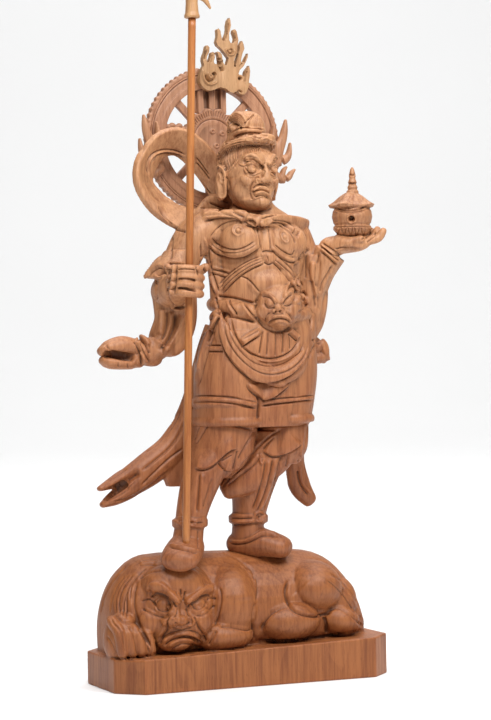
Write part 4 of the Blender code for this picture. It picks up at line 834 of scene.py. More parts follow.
LEG_EDGES = {
    "near band groove": ("groove", 0.34, 0.8, [
        (193.3, 418.2), (212.7, 417.9), (230.9, 419.8), (243, 421.8), (253.4, 424.5),
    ]),
    "near band ridge": ("ridge", 0.45, 0.9, [
        (193.3, 420.6), (212.7, 420.4), (230.9, 422.3), (243, 424.5), (252.9, 426.7),
    ]),
    "near band foot": ("groove", 0.48, 1.4, [
        (193.3, 423.5), (212.7, 423.5), (230.9, 425.2), (243, 427.4), (252.7, 429.7),
    ]),
    "far band groove": ("groove", 0.34, 0.7, [
        (253.3, 422.5), (273.3, 420.8), (291.5, 419.6), (309.2, 418.4),
    ]),
    "far band ridge": ("ridge", 0.45, 0.8, [(253.3, 424.6), (273.3, 423), (291.5, 421.8), (308.7, 420.6)]),
    "far band foot": ("groove", 0.48, 1.2, [
        (253.3, 427.4), (273.3, 425.9), (291.5, 424.6), (308.4, 423.3),
    ]),
    "seam": ("groove", 0.48, 1.2, [(257.1, 402.4), (256.1, 413.3), (253.4, 426.1)]),
    "near hem": ("lap", 0.45, 1.5, [
        (237.9, 449), (231.8, 449.7), (225.8, 453.6), (219.4, 459.6), (211.5, 466.2), (203, 469.1),
        (193.3, 468.1),
    ]),
    "notch left": ("groove", 0.41, 1, [(217.6, 462), (220.6, 466.6), (224.2, 470)]),
    "notch right": ("groove", 0.41, 1, [(237.7, 449.9), (235.7, 460.6), (232.7, 470.5)]),
    "notch fold": ("groove", 0.34, 0.8, [(220.6, 461.2), (226.6, 458.4), (232.7, 454.8)]),
    "notch foot": ("lap", 0.45, 0.9, [(232.3, 470.8), (227.2, 470.8), (223.6, 469.3)]),
    "waist fold 1": ("groove", 0.41, 0.8, [(199.1, 425.7), (196, 433.3), (194, 440.6)]),
    "waist fold 2": ("groove", 0.41, 0.7, [(208.1, 424.2), (201.8, 434.5), (194.8, 445.1)]),
    "drape 1": ("groove", 0.54, 1.1, [(256.6, 429.1), (249.7, 440), (243.2, 450.9), (237.7, 461.2)]),
    "drape 2": ("groove", 0.54, 1.1, [
        (283.2, 428.1), (268.4, 437.6), (255.1, 450.9), (243, 464.2), (229.7, 477.6), (220.2, 489.1),
    ]),
    "drape 3": ("groove", 0.48, 0.9, [(272.3, 435.1), (256.9, 447.9), (244.5, 460.6), (236.9, 469.7)]),
    "drape 4": ("groove", 0.48, 0.9, [(262.4, 454.8), (252.7, 466), (239.4, 475.7), (225.1, 486.8)]),
    "drape ridge 1": ("ridge", 1.1, 0.9, [(276.9, 433), (261.4, 444.8), (246.9, 459.1), (233.3, 473.3)]),
    "drape ridge 2": ("ridge", 1.1, 0.8, [(263.8, 440), (251.5, 452.1), (240.6, 465.4)]),
    "drape ridge 3": ("ridge", 1, 0.8, [(259.4, 453.9), (247.8, 466), (234.5, 477.6)]),
    "far hem": ("lap", 0.45, 1.3, [
        (302.6, 441.8), (297.5, 446.8), (285.4, 453.6), (273.9, 456), (267.2, 453.6), (261.5, 450.3),
    ]),
    "far hem fold": ("groove", 0.41, 0.8, [(274.5, 436.4), (267.2, 444.8), (262.4, 449.9)]),
    "hem curl": ("ridge", 0.5, 0.9, [(261.2, 453.3), (260, 459.4), (262.1, 464.2), (264.3, 458.2)]),
    "knee fold 1": ("groove", 0.54, 1, [(199.4, 472.7), (198.4, 490.9), (197, 513.3)]),
    "knee fold 2": ("ridge", 1, 0.7, [(202.4, 472.7), (201.2, 492.1), (199.6, 513.3)]),
    "knee fold 3": ("groove", 0.48, 0.8, [(182.7, 478.8), (181.8, 496.9), (182.7, 514.5)]),
    "knee fold 4": ("groove", 0.48, 0.7, [(212.7, 477.6), (207.9, 492.1), (203, 509.1)]),
    "shin fold": ("ridge", 1, 0.6, [(188.5, 477.6), (188, 496.9), (188.5, 513.9)]),
    "far fold 1": ("ridge", 0.62, 0.8, [(269.4, 458.2), (267, 475.1), (262.1, 493.3), (254.9, 511.5)]),
    "far fold 2": ("ridge", 0.62, 0.8, [(276, 457.6), (272.1, 477.6), (266.3, 495.7), (258.8, 512.1)]),
    "far fold groove 1": ("groove", 0.34, 1, [
        (272.8, 457.6), (269.7, 476.3), (264.2, 494.5), (256.8, 511.7),
    ]),
    "far fold groove 2": ("groove", 0.41, 1, [
        (265.5, 460.6), (263.1, 477.6), (258.1, 494.5), (251.2, 511.5),
    ]),
    "far fold groove 3": ("groove", 0.41, 0.9, [
        (280.1, 457), (276.9, 475.1), (270.9, 494.5), (262.6, 512.1),
    ]),
    "far hem pleat 1": ("groove", 0.41, 0.8, [(288.4, 453.3), (286.6, 465.4), (284.2, 477.6)]),
    "far hem pleat 2": ("groove", 0.41, 0.7, [(281.2, 455.1), (279.4, 465.4), (276.9, 477.6)]),
    "right tie 1": ("ridge", 0.56, 0.8, [
        (175.9, 517.3), (181.8, 518.1), (188.5, 518.8), (197, 519.7), (206, 518.1),
    ]),
    "right tie 2": ("ridge", 0.56, 0.8, [
        (175.4, 522.9), (181.8, 524.1), (188.5, 525.1), (197, 526.3), (204, 526.7),
    ]),
    "right tie groove": ("groove", 0.31, 0.8, [
        (175.6, 520), (181.8, 520.9), (188.5, 521.9), (197, 522.9), (204.8, 522.6),
    ]),
    "right knot": ("boss", 1, 0.9, [(182.2, 521.2)]),
    "right knot 2": ("boss", 1.1, 0.9, [(195.1, 523)]),
    "left tie 1": ("ridge", 0.56, 0.8, [(230.3, 514.6), (236.9, 515.1), (245.4, 515.6), (254.1, 515.4)]),
    "left tie 2": ("ridge", 0.56, 0.8, [(230.3, 521.4), (236.9, 521.7), (246.6, 521.4), (255.1, 520.7)]),
    "left tie groove": ("groove", 0.34, 0.9, [(230.3, 518.1), (240.6, 518.6), (253.3, 518.1)]),
    "left knot": ("ridge", 0.43, 1.2, [
        (255.1, 519.4), (254.9, 514.5), (258.1, 512.1), (262.1, 512.7), (263.4, 516.6), (262.1, 520.2),
        (258.1, 521.5), (255.4, 519.7),
    ]),
    "left knot core": ("dish", 0.6, 0.8, [(259.4, 516.9)]),
    "left tie foot": ("groove", 0.34, 0.9, [(230.3, 524.8), (240.6, 525.1), (255.1, 523.8), (263, 523)]),
    "right gaiter": ("ridge", 0.5, 0.8, [
        (167.9, 544.2), (175.1, 545.4), (183.6, 546.9), (192.1, 549), (198.4, 550.9), (202.3, 550.3),
    ]),
    "right gaiter foot": ("groove", 0.34, 0.9, [
        (168.1, 546.9), (176.4, 548.3), (186, 550.5), (198.2, 553.4),
    ]),
    "right gaiter seam": ("groove", 0.34, 0.7, [(198.4, 529.7), (197.9, 539.4), (198.6, 549.8)]),
    "left gaiter": ("ridge", 0.56, 1, [
        (227.9, 540), (235.7, 541.3), (244.2, 540.6), (252.7, 537.2), (261.2, 532.8), (270.9, 532.6),
        (279.4, 535.2),
    ]),
    "left gaiter foot": ("groove", 0.41, 1.1, [
        (227.9, 543), (236.9, 544.4), (246.6, 543.2), (255.1, 539.4), (262.4, 535.7), (270.9, 535.5),
        (278.1, 537.2),
    ]),
    "tail edge": ("groove", 0.34, 0.9, [
        (181.8, 407.3), (175.1, 421.8), (165.4, 435.1), (153.3, 446.7), (140.6, 454.5),
    ]),
    "tail fold": ("groove", 0.54, 0.9, [
        (184.8, 418.2), (178.8, 433.9), (168.5, 448.5), (154.5, 460.6), (141.2, 471.5),
    ]),
    "tail low fold": ("groove", 0.48, 0.9, [
        (185.1, 447.3), (168.5, 459.4), (152.1, 475.1), (140.6, 486.6),
    ]),
    "scarf end edge": ("ridge", 0.5, 0.8, [
        (303.8, 424.8), (301.4, 448.5), (299.7, 467.9), (302.4, 483.6), (314.5, 496.9),
    ]),
    "scarf end groove": ("groove", 0.41, 0.9, [
        (298.7, 457), (297.8, 472.7), (300.6, 484.8), (309.6, 496.9),
    ]),
    "scarf end outer": ("groove", 0.34, 0.8, [(308.7, 423), (305.8, 446), (305, 465.4), (307.8, 477.6)]),
}

TAIL_EDGES = {
    "tail hollow": ("groove", 1.5, 3.2, [(100, 499), (110, 493), (122, 485), (134, 476), (141, 471)]),
    "tail hollow foot": ("groove", 0.5, 0.8, [(104, 500), (118, 496), (130, 487), (140, 477)]),
    "tail upper fold": ("groove", 0.48, 0.9, [(118, 470), (140, 452), (160, 434)]),
    "tail lower fold": ("groove", 0.48, 0.9, [(112, 502), (130, 498), (150, 486), (170, 470)]),
    "tail upper tip": ("groove", 0.34, 0.7, [(100, 488), (112, 479), (128, 468)]),
}

ARM_EDGES = {
    "flare hollow": ("groove", 0.95, 1.9, [(156, 275.9), (161.8, 271.6), (170.4, 270.7)]),
    "flare edge": ("lap", 0.38, 1.2, [
        (171.3, 268.5), (164.6, 268.5), (158.9, 267.1), (151.2, 271.7), (145.5, 280.1),
    ]),
    "upper sleeve fold": ("groove", 0.48, 0.7, [(172.3, 235.7), (171.3, 247.2), (171.3, 260.6)]),
    "upper sleeve fold 2": ("groove", 0.41, 0.6, [(164.6, 244.4), (162.7, 253.9), (161.3, 261.6)]),
    "cuff ridge": ("ridge", 0.62, 1.1, [(174.6, 263.7), (173.6, 275), (172.3, 285.5), (170.9, 296)]),
    "cuff groove": ("groove", 0.41, 1, [
        (171.3, 266.8), (168.9, 278.8), (166.8, 287.4), (168, 297), (171.3, 304.2),
    ]),
    "cuff inner groove": ("groove", 0.34, 0.9, [
        (176.6, 263.5), (176.1, 275), (175, 285.5), (173.3, 295.1),
    ]),
    "cuff foot": ("groove", 0.41, 1, [
        (168, 297), (170.4, 302.2), (174.7, 306.4), (180, 307.7), (186.2, 306.6),
    ]),
    "cuff foot ridge": ("ridge", 0.5, 0.8, [
        (170.4, 305.1), (174.2, 308.9), (179.5, 310.4), (185.9, 309.2),
    ]),
    "elbow fold": ("groove", 0.48, 0.8, [(157, 279.8), (156, 289.3), (156.5, 300.8)]),
    "sleeve fold 1": ("ridge", 1.4, 0.9, [(160.8, 308.5), (161, 321.9), (160.3, 335.3)]),
    "sleeve fold 2": ("groove", 1.02, 1.7, [
        (175.6, 312.3), (175, 321.9), (171.8, 332.4), (166.6, 342.9), (158.9, 351.5),
    ]),
    "sleeve fold 3": ("ridge", 1.5, 1.1, [
        (182.3, 313.3), (180, 324.7), (174.2, 337.2), (165.6, 348.7), (156, 356.3),
    ]),
    "sleeve fold 4": ("groove", 0.68, 1.1, [(166.6, 310.4), (166.6, 321.9), (164.6, 333.3), (160.8, 341)]),
    "sleeve fold 5": ("ridge", 1.3, 0.9, [(171.3, 311.3), (170.9, 323.8), (168, 334.3), (162.7, 343.9)]),
    "knot band 1": ("ridge", 0.87, 1.3, [(134.5, 338.6), (140.7, 337.2), (146, 341), (147.9, 346.3)]),
    "knot band 2": ("ridge", 1.18, 1.4, [(135.9, 341.5), (139.8, 347.2), (143.1, 355.4), (147.4, 363.5)]),
    "knot groove 1": ("groove", 0.41, 1.1, [
        (138.3, 342.9), (142.6, 350.6), (146.5, 358.2), (149.3, 363.5),
    ]),
    "knot groove 2": ("groove", 0.41, 1.1, [(134, 341), (137.8, 348.7), (140.7, 357.3), (141.7, 366.8)]),
    "knot groove 3": ("groove", 0.34, 0.9, [
        (137.8, 339.1), (143.6, 342.9), (147.4, 348.7), (150.3, 354.4),
    ]),
    "tail hollow": ("groove", 1.29, 3.2, [(102, 354.4), (112, 354.6), (122.5, 356.8), (135.9, 358.7)]),
    "tail rim": ("lap", 0.38, 0.8, [
        (104.4, 343.9), (108.2, 349.6), (115.8, 353.4), (126.4, 356.3), (136.9, 357.3),
    ]),
    "tail pleat 1": ("groove", 0.28, 0.6, [(117.8, 362.5), (118.2, 366.8)]),
    "tail pleat 2": ("groove", 0.28, 0.6, [(126.8, 363), (127.5, 367.3)]),
    "finger gap 1": ("groove", 0.37, 1.1, [(176.6, 269.6), (185.7, 269.3), (196, 270.2)]),
    "finger gap 2": ("groove", 0.37, 1.1, [(176.6, 279.2), (186.7, 279), (196.7, 280.7)]),
    "finger gap 3": ("groove", 0.37, 1.1, [(176.6, 288.2), (185.7, 288.6), (197.4, 291.2)]),
    "finger ridge": ("ridge", 0.8, 0.4, [(176.6, 283.6), (185.7, 283.6), (196.2, 285.5)]),
    "thumb edge": ("groove", 0.34, 0.9, [(197, 263), (196.7, 268.3), (198.6, 275.5)]),
    "thumb nail": ("groove", 0.28, 0.5, [(199.1, 261.6), (203.4, 262.1), (204.1, 265.9)]),
    "strap": ("ridge", 0.62, 1, [
        (202.9, 235.7), (206, 244.4), (206.4, 258.7), (209.2, 271.1), (213.4, 283.6), (217.8, 296),
    ]),
    "strap groove": ("groove", 0.41, 1, [
        (201, 241.5), (202.2, 258.7), (205.3, 273.1), (210.8, 285.5), (215.8, 296),
    ]),
    "strap groove 2": ("groove", 0.34, 0.8, [
        (207.9, 244.4), (208.7, 258.7), (211.7, 271.1), (216.1, 283.6), (219.4, 293.2),
    ]),
    "side cloth edge": ("groove", 0.41, 0.9, [
        (213.4, 314.2), (204.8, 328.6), (198.1, 344.8), (194.3, 364),
    ]),
    "side cloth ridge": ("ridge", 0.68, 0.9, [
        (217.8, 314.2), (209.1, 331.4), (202.9, 348.7), (197.2, 373.5),
    ]),
    "side cloth groove": ("groove", 0.41, 0.9, [(219.7, 316.1), (214.4, 326.7), (207.7, 342.9)]),
}

CUFF_EDGES = {
    "cuff ridge 1": ("ridge", 0.43, 0.8, [(320.6, 244.3), (328.7, 250), (336.4, 256.2), (340.7, 259.1)]),
    "cuff ridge 2": ("ridge", 0.43, 0.8, [(320.3, 248.6), (327.8, 254.3), (334.4, 260), (338.8, 263.4)]),
    "cuff groove": ("groove", 0.28, 0.8, [(320.5, 246.5), (328.2, 252.2), (335.4, 258.1), (339.7, 261.2)]),
    "cuff foot": ("groove", 0.34, 0.9, [(320.1, 251.4), (327.3, 257), (334, 262.7), (337.3, 265.3)]),
    "cuff top": ("groove", 0.34, 0.8, [(321.5, 242.6), (330.6, 248.6), (338.3, 254.5), (342.1, 257.7)]),
    "palm line": ("groove", 0.34, 0.8, [(333.5, 249.5), (343.1, 247.8), (353.6, 248.4), (362.2, 250.5)]),
    "palm swell": ("ridge", 2, 0.6, [(334.4, 236.1), (344, 239), (353.6, 242.8)]),
    "finger gap": ("groove", 0.34, 0.7, [(361.2, 240), (367, 236.1), (370.8, 231.3)]),
    "finger gap 2": ("groove", 0.34, 0.7, [(367, 242.8), (372.7, 237.1), (375.6, 231.3)]),
    "arm fold 1": ("groove", 0.61, 0.9, [(318.2, 251.4), (316.3, 262.9), (315.8, 276.3), (316.7, 288.8)]),
    "arm fold 2": ("groove", 0.54, 0.8, [(306.7, 253.3), (305.7, 264.8), (305.9, 279.2)]),
    "arm fold ridge": ("ridge", 1.4, 0.8, [(312, 253.3), (311, 266.7), (311.3, 282.1)]),
    "arm fold 3": ("groove", 0.54, 0.8, [(332.5, 264.8), (327.8, 274.4), (322, 284), (319.6, 293.5)]),
}

SCARF_EDGES = {
    "outer line": ("groove", 0.34, 0.8, [
        (186.7, 155.9), (177.1, 151.3), (166.3, 149.7), (155.9, 152.1), (149.2, 158.3), (147.1, 167),
        (148.3, 175.7),
    ]),
    "inner line": ("groove", 0.34, 0.8, [
        (186.7, 159.6), (177.1, 154.6), (166.6, 152.9), (157.2, 155.6), (151.3, 162.3), (150.5, 173),
        (154.3, 182.7), (161.2, 190.7), (170.6, 197.4), (182.4, 203.8),
    ]),
    "band between": ("ridge", 0.56, 0.5, [
        (186.7, 157.8), (177.1, 152.9), (166.5, 151.3), (156.6, 153.9), (150.3, 160.3), (148.8, 170.4),
        (151.3, 181.1), (157.6, 190.2), (167.7, 198.5), (179.7, 205.4),
    ]),
    "inner edge": ("ridge", 1, 0.6, [
        (170.4, 167), (162.3, 170.4), (159.6, 177.1), (165, 187.8), (175.7, 197.1), (185.8, 202.5),
    ]),
    "inner fold": ("groove", 0.54, 1, [
        (169, 171.7), (166.3, 177.1), (170.4, 186.4), (178.4, 194.5), (185.8, 199.2),
    ]),
    "outer roll": ("ridge", 1.6, 0.7, [
        (143.6, 148.9), (137.9, 159.6), (137.1, 173), (140.9, 186.4), (150.3, 199.8), (165, 213.2),
    ]),
    "near head line 1": ("groove", 0.34, 0.8, [(195.8, 157), (202.5, 165.7), (209.2, 175.7)]),
    "near head line 2": ("groove", 0.34, 0.8, [(195.8, 162.1), (203.2, 171), (209.9, 180.4)]),
    "near head fold": ("groove", 0.48, 1, [(195.8, 177.7), (203.8, 186.4), (211.2, 195.8)]),
    "lower wrap": ("groove", 0.48, 0.8, [(170.4, 227.9), (178.4, 230), (186.2, 232)]),
    "lower wrap 2": ("groove", 0.41, 0.7, [(157, 206.5), (166.3, 218.6), (173, 225.3)]),
}

FACE_FORMS = {
    "brow swell": ("ridge", 1.4, 0.9, [
        (243.6, 158.8), (247.1, 154.5), (252.9, 155.4), (258.3, 159.6), (262.8, 165.4),
    ]),
    "eye socket": ("groove", 1.5, 1.4, [
        (242.7, 165), (247.6, 162.5), (253.8, 163.4), (259.2, 167.5), (261.9, 171.7),
    ]),
    "cheekbone": ("ridge", 2.2, 0.4, [(236.4, 175.7), (242.7, 180.2), (248.9, 182.4)]),
    "under the cheek": ("groove", 2.4, 0.9, [(232, 182.9), (240, 186.9), (246.2, 193.6), (248, 199.8)]),
    "temple": ("groove", 1.8, 0.4, [(232.9, 165.9), (238.7, 162.3), (242.7, 160.5)]),
    "muzzle": ("ridge", 2.2, 0.5, [(254.3, 187.3), (256.1, 193.6), (257.9, 198.9)]),
}

FACE_EDGES = {
    "brow": ("ridge", 0.8, 1.1, [
        (242.7, 159.8), (247, 154.7), (252.9, 155.2), (258.3, 159.5), (263, 165.4),
    ]),
    "brow foot": ("groove", 0.5, 1.4, [
        (243.6, 162), (248.5, 158.6), (253.8, 159.5), (258.9, 163.7), (263.9, 169),
    ]),
    "eyeball": ("boss", 1.6, 1.1, [(251.6, 168.9)]),
    "pupil": ("dish", 0.5, 0.3, [(253, 168.9)]),
    "upper lid": ("ridge", 0.4, 0.6, [
        (238.2, 164.3), (243.6, 165.5), (248, 163.4), (252.9, 163.9), (257.6, 167.1), (261.6, 171.1),
    ]),
    "upper lid crease": ("groove", 0.25, 0.45, [
        (244.6, 163.2), (249.1, 161.2), (254.5, 162), (259.5, 165.9),
    ]),
    "lower lid": ("ridge", 0.32, 0.5, [
        (243.8, 167), (245.4, 170.9), (248.5, 173.9), (252.9, 174.8), (257.9, 172.9), (261.4, 171.1),
    ]),
    "eye rim": ("groove", 0.25, 0.8, [
        (244.9, 167), (246.8, 170.2), (249.6, 172.3), (253.2, 173), (257.1, 171.1),
    ]),
    "eye bag": ("groove", 0.3, 0.4, [
        (242.7, 169), (244.6, 173.2), (248.9, 177), (254.5, 178), (259.5, 175.9),
    ]),
    "eye corner": ("groove", 0.3, 0.5, [(238, 164.6), (241.6, 166.1), (244.6, 167)]),
    "wing of the nose": ("ridge", 0.65, 0.7, [
        (258.8, 177.9), (256.5, 179.8), (256.5, 182.1), (259.2, 183.4),
    ]),
    "wing crease": ("groove", 0.28, 0.7, [(259.8, 176.6), (255.6, 177.9), (254.5, 180.6), (255.6, 183.6)]),
    "nostril": ("dish", 0.5, 0.8, [(261.4, 182.3)]),
    "nose foot": ("groove", 0.35, 0.6, [(258.8, 184.5), (262.8, 183.9), (266.8, 182.9)]),
    "side of the nose": ("groove", 0.5, 0.6, [(264.8, 169.9), (262.8, 174.4), (260.5, 177.9)]),
    "smile fold": ("groove", 0.4, 0.8, [(255.4, 179.5), (252.5, 183.8), (250, 188.7), (249.6, 194)]),
    "smile fold ridge": ("ridge", 0.7, 0.35, [(252.9, 179.3), (249.8, 184.2), (247.3, 189.6)]),
    "frown knob": ("boss", 0.7, 0.5, [(263.9, 162.1)]),
    "corner fold": ("groove", 0.4, 0.7, [(249.6, 192.7), (250.4, 196.2), (252.5, 199.6)]),
    "chin swell": ("ridge", 1.6, 0.5, [(259.6, 202.7), (265.9, 202.7)]),
    "jaw line": ("groove", 0.8, 0.6, [(227.9, 180.2), (228.6, 188.2), (231.2, 197.6), (238.2, 204.7)]),
    "ear rim": ("ridge", 0.5, 0.8, [
        (213.4, 172.6), (214.1, 168.6), (219, 167), (223.2, 169.6), (224.6, 174.8), (224.8, 182.9),
        (225.4, 190), (224.6, 195.4), (221.4, 197.6), (219.3, 194.5), (219.3, 189.1), (217.5, 182.4),
        (214.6, 177.1),
    ]),
    "ear hollow": ("groove", 0.6, 1.3, [(218.4, 170.4), (220.8, 173.5), (221.6, 177.9), (223.2, 182.4)]),
    "ear inner": ("ridge", 0.35, 0.6, [(219.5, 173.5), (220.4, 177.1), (222, 179.7)]),
    "ear lobe": ("groove", 0.35, 0.5, [(221.2, 183.8), (222.3, 189.1), (222.1, 194)]),
    "ear behind": ("groove", 0.5, 1.0, [
        (211.9, 169.5), (212, 175.7), (215.4, 182), (217, 190), (217.7, 197.1),
    ]),
    "ear front": ("groove", 0.4, 1.0, [(226.1, 175.7), (226.8, 182.9), (227.1, 190), (226.4, 196.7)]),
    "hairline": ("groove", 0.3, 0.5, [
        (226.8, 173), (230.6, 170.8), (234.6, 165.4), (240, 158.3), (244.6, 155.6), (250.7, 152.5),
        (257.9, 151.8), (265.9, 151.6), (273, 153.4),
    ]),
}

MOUTH_EDGES = {
    "upper lip": ("ridge", 0.5, 0.7, [
        (252.3, 191.1), (256.8, 188.2), (261.2, 186.8), (265.9, 188.2), (269.6, 192.2),
    ]),
    "upper lip top": ("groove", 0.3, 0.5, [
        (251.6, 189.3), (256.2, 185.9), (261.1, 184.5), (265.9, 185.7), (269.9, 189.6),
    ]),
    "lip dip": ("groove", 0.4, 0.4, [(261.4, 183.8), (261.4, 186.4)]),
    "mouth line": ("groove", 0.3, 1.1, [
        (251.4, 192.9), (256.8, 190.7), (261.4, 189.6), (266.3, 191.2), (270.8, 194.6),
    ]),
    "lower lip": ("ridge", 0.5, 0.7, [
        (253.6, 194.3), (258.6, 192.5), (263.2, 192), (267.5, 193.8), (269.9, 195.9),
    ]),
    "lower lip foot": ("groove", 0.45, 0.8, [(253.6, 197), (259.6, 195.7), (265, 196.2), (269, 198)]),
}

HEAD_EDGES = {
    "band": ("band", 0.8, 0.35, [
        (215.9, 152.3), (221.7, 147.1), (228.8, 142.9), (237.3, 140.2), (245.4, 139.3), (254.3, 140),
        (263.2, 140.9), (270.4, 142.2),
    ]),
    "band lower edge": ("groove", 0.35, 0.9, [
        (215.4, 154.6), (221.7, 149.6), (228.8, 145.5), (236.9, 142.9), (245.4, 142.1), (252.5, 144),
        (261.4, 144.9), (270.4, 146.1),
    ]),
    "band upper edge": ("groove", 0.35, 0.8, [
        (215.9, 150), (221.2, 144.6), (228.4, 140.7), (236.4, 138), (243.6, 137),
    ]),
    "band line": ("groove", 0.22, 0.5, [
        (216.8, 151.8), (223, 146.9), (230.2, 142.9), (238.2, 140.4), (244.6, 139.6),
    ]),
    "flower left": ("ridge", 0.32, 0.7, [
        (245.5, 142.7), (246.4, 138.9), (250.3, 137.3), (253.6, 138.9), (252.5, 142.3), (248.9, 143.4),
        (247.6, 141.1),
    ]),
    "flower middle": ("ridge", 0.32, 0.7, [
        (253.6, 142.9), (256.5, 144.1), (260.1, 142.9), (258.9, 139.6), (255.9, 139.6),
    ]),
    "flower top": ("ridge", 0.3, 0.6, [(251.6, 137.1), (254.7, 136.2), (258.3, 137.5), (261.4, 136.6)]),
    "flower right": ("ridge", 0.32, 0.7, [
        (261, 142.7), (262, 139.3), (265.7, 137.9), (269.1, 139.3), (268.6, 142.7), (265.2, 143.9),
    ]),
    "flower end": ("ridge", 0.32, 0.6, [(269.6, 140), (272.6, 140.5), (273.8, 143.4), (270.9, 145.2)]),
    "flower rim": ("groove", 0.3, 0.6, [
        (243.6, 143.6), (248.9, 145.4), (256.1, 145.8), (263.2, 145.8), (270.4, 147.1),
    ]),
    "flower crown": ("groove", 0.3, 0.6, [
        (244.5, 138.2), (248, 135.4), (254.3, 134.2), (261.4, 134.6), (268.6, 136.4),
    ]),
    "bun band": ("band", 0.8, 0.5, [
        (230.2, 136.9), (234.6, 133.4), (240.9, 131.1), (248.9, 130.2), (257, 130.7), (264.6, 132.9),
    ]),
    "bun band top": ("groove", 0.35, 0.8, [
        (230, 134.6), (235.4, 130.6), (241.6, 128.6), (249.6, 127.9), (257.9, 128.6), (265, 130.6),
    ]),
    "bun band foot": ("groove", 0.35, 0.8, [
        (231.5, 139.1), (236.4, 135.7), (243.6, 133.6), (251.6, 132.9), (259.6, 133.8), (265.9, 135.7),
    ]),
    "bun seam": ("groove", 0.3, 0.6, [(255.6, 113.4), (250.3, 117.7), (246.2, 123), (244.1, 127.9)]),
    "curl mouth": ("groove", 1.1, 3.2, [(227.5, 123.8), (231.1, 123.6), (234.6, 125.3), (236.9, 127.9)]),
}

DEMON_FORMS = {
    "right brow swell": ("ridge", 2.1, 2.2, [(150.4, 589), (161.6, 588.6), (171.8, 596.1), (179.6, 603.7)]),
    "left brow swell": ("ridge", 2.0, 2.1, [(211.6, 589), (201.4, 591), (193.3, 597.6), (185.1, 604.1)]),
    "right socket": ("groove", 2.4, 1.3, [(151.4, 602.2), (162.7, 601.2), (172.9, 607.3)]),
    "left socket": ("groove", 2.2, 1.2, [(190.2, 604.9), (200.4, 600.8), (210.6, 599.6)]),
    "right cheek": ("boss", 5.0, 0.8, [(149.4, 621.6)]),
    "left cheek": ("boss", 4.6, 0.8, [(210.6, 619.6)]),
}

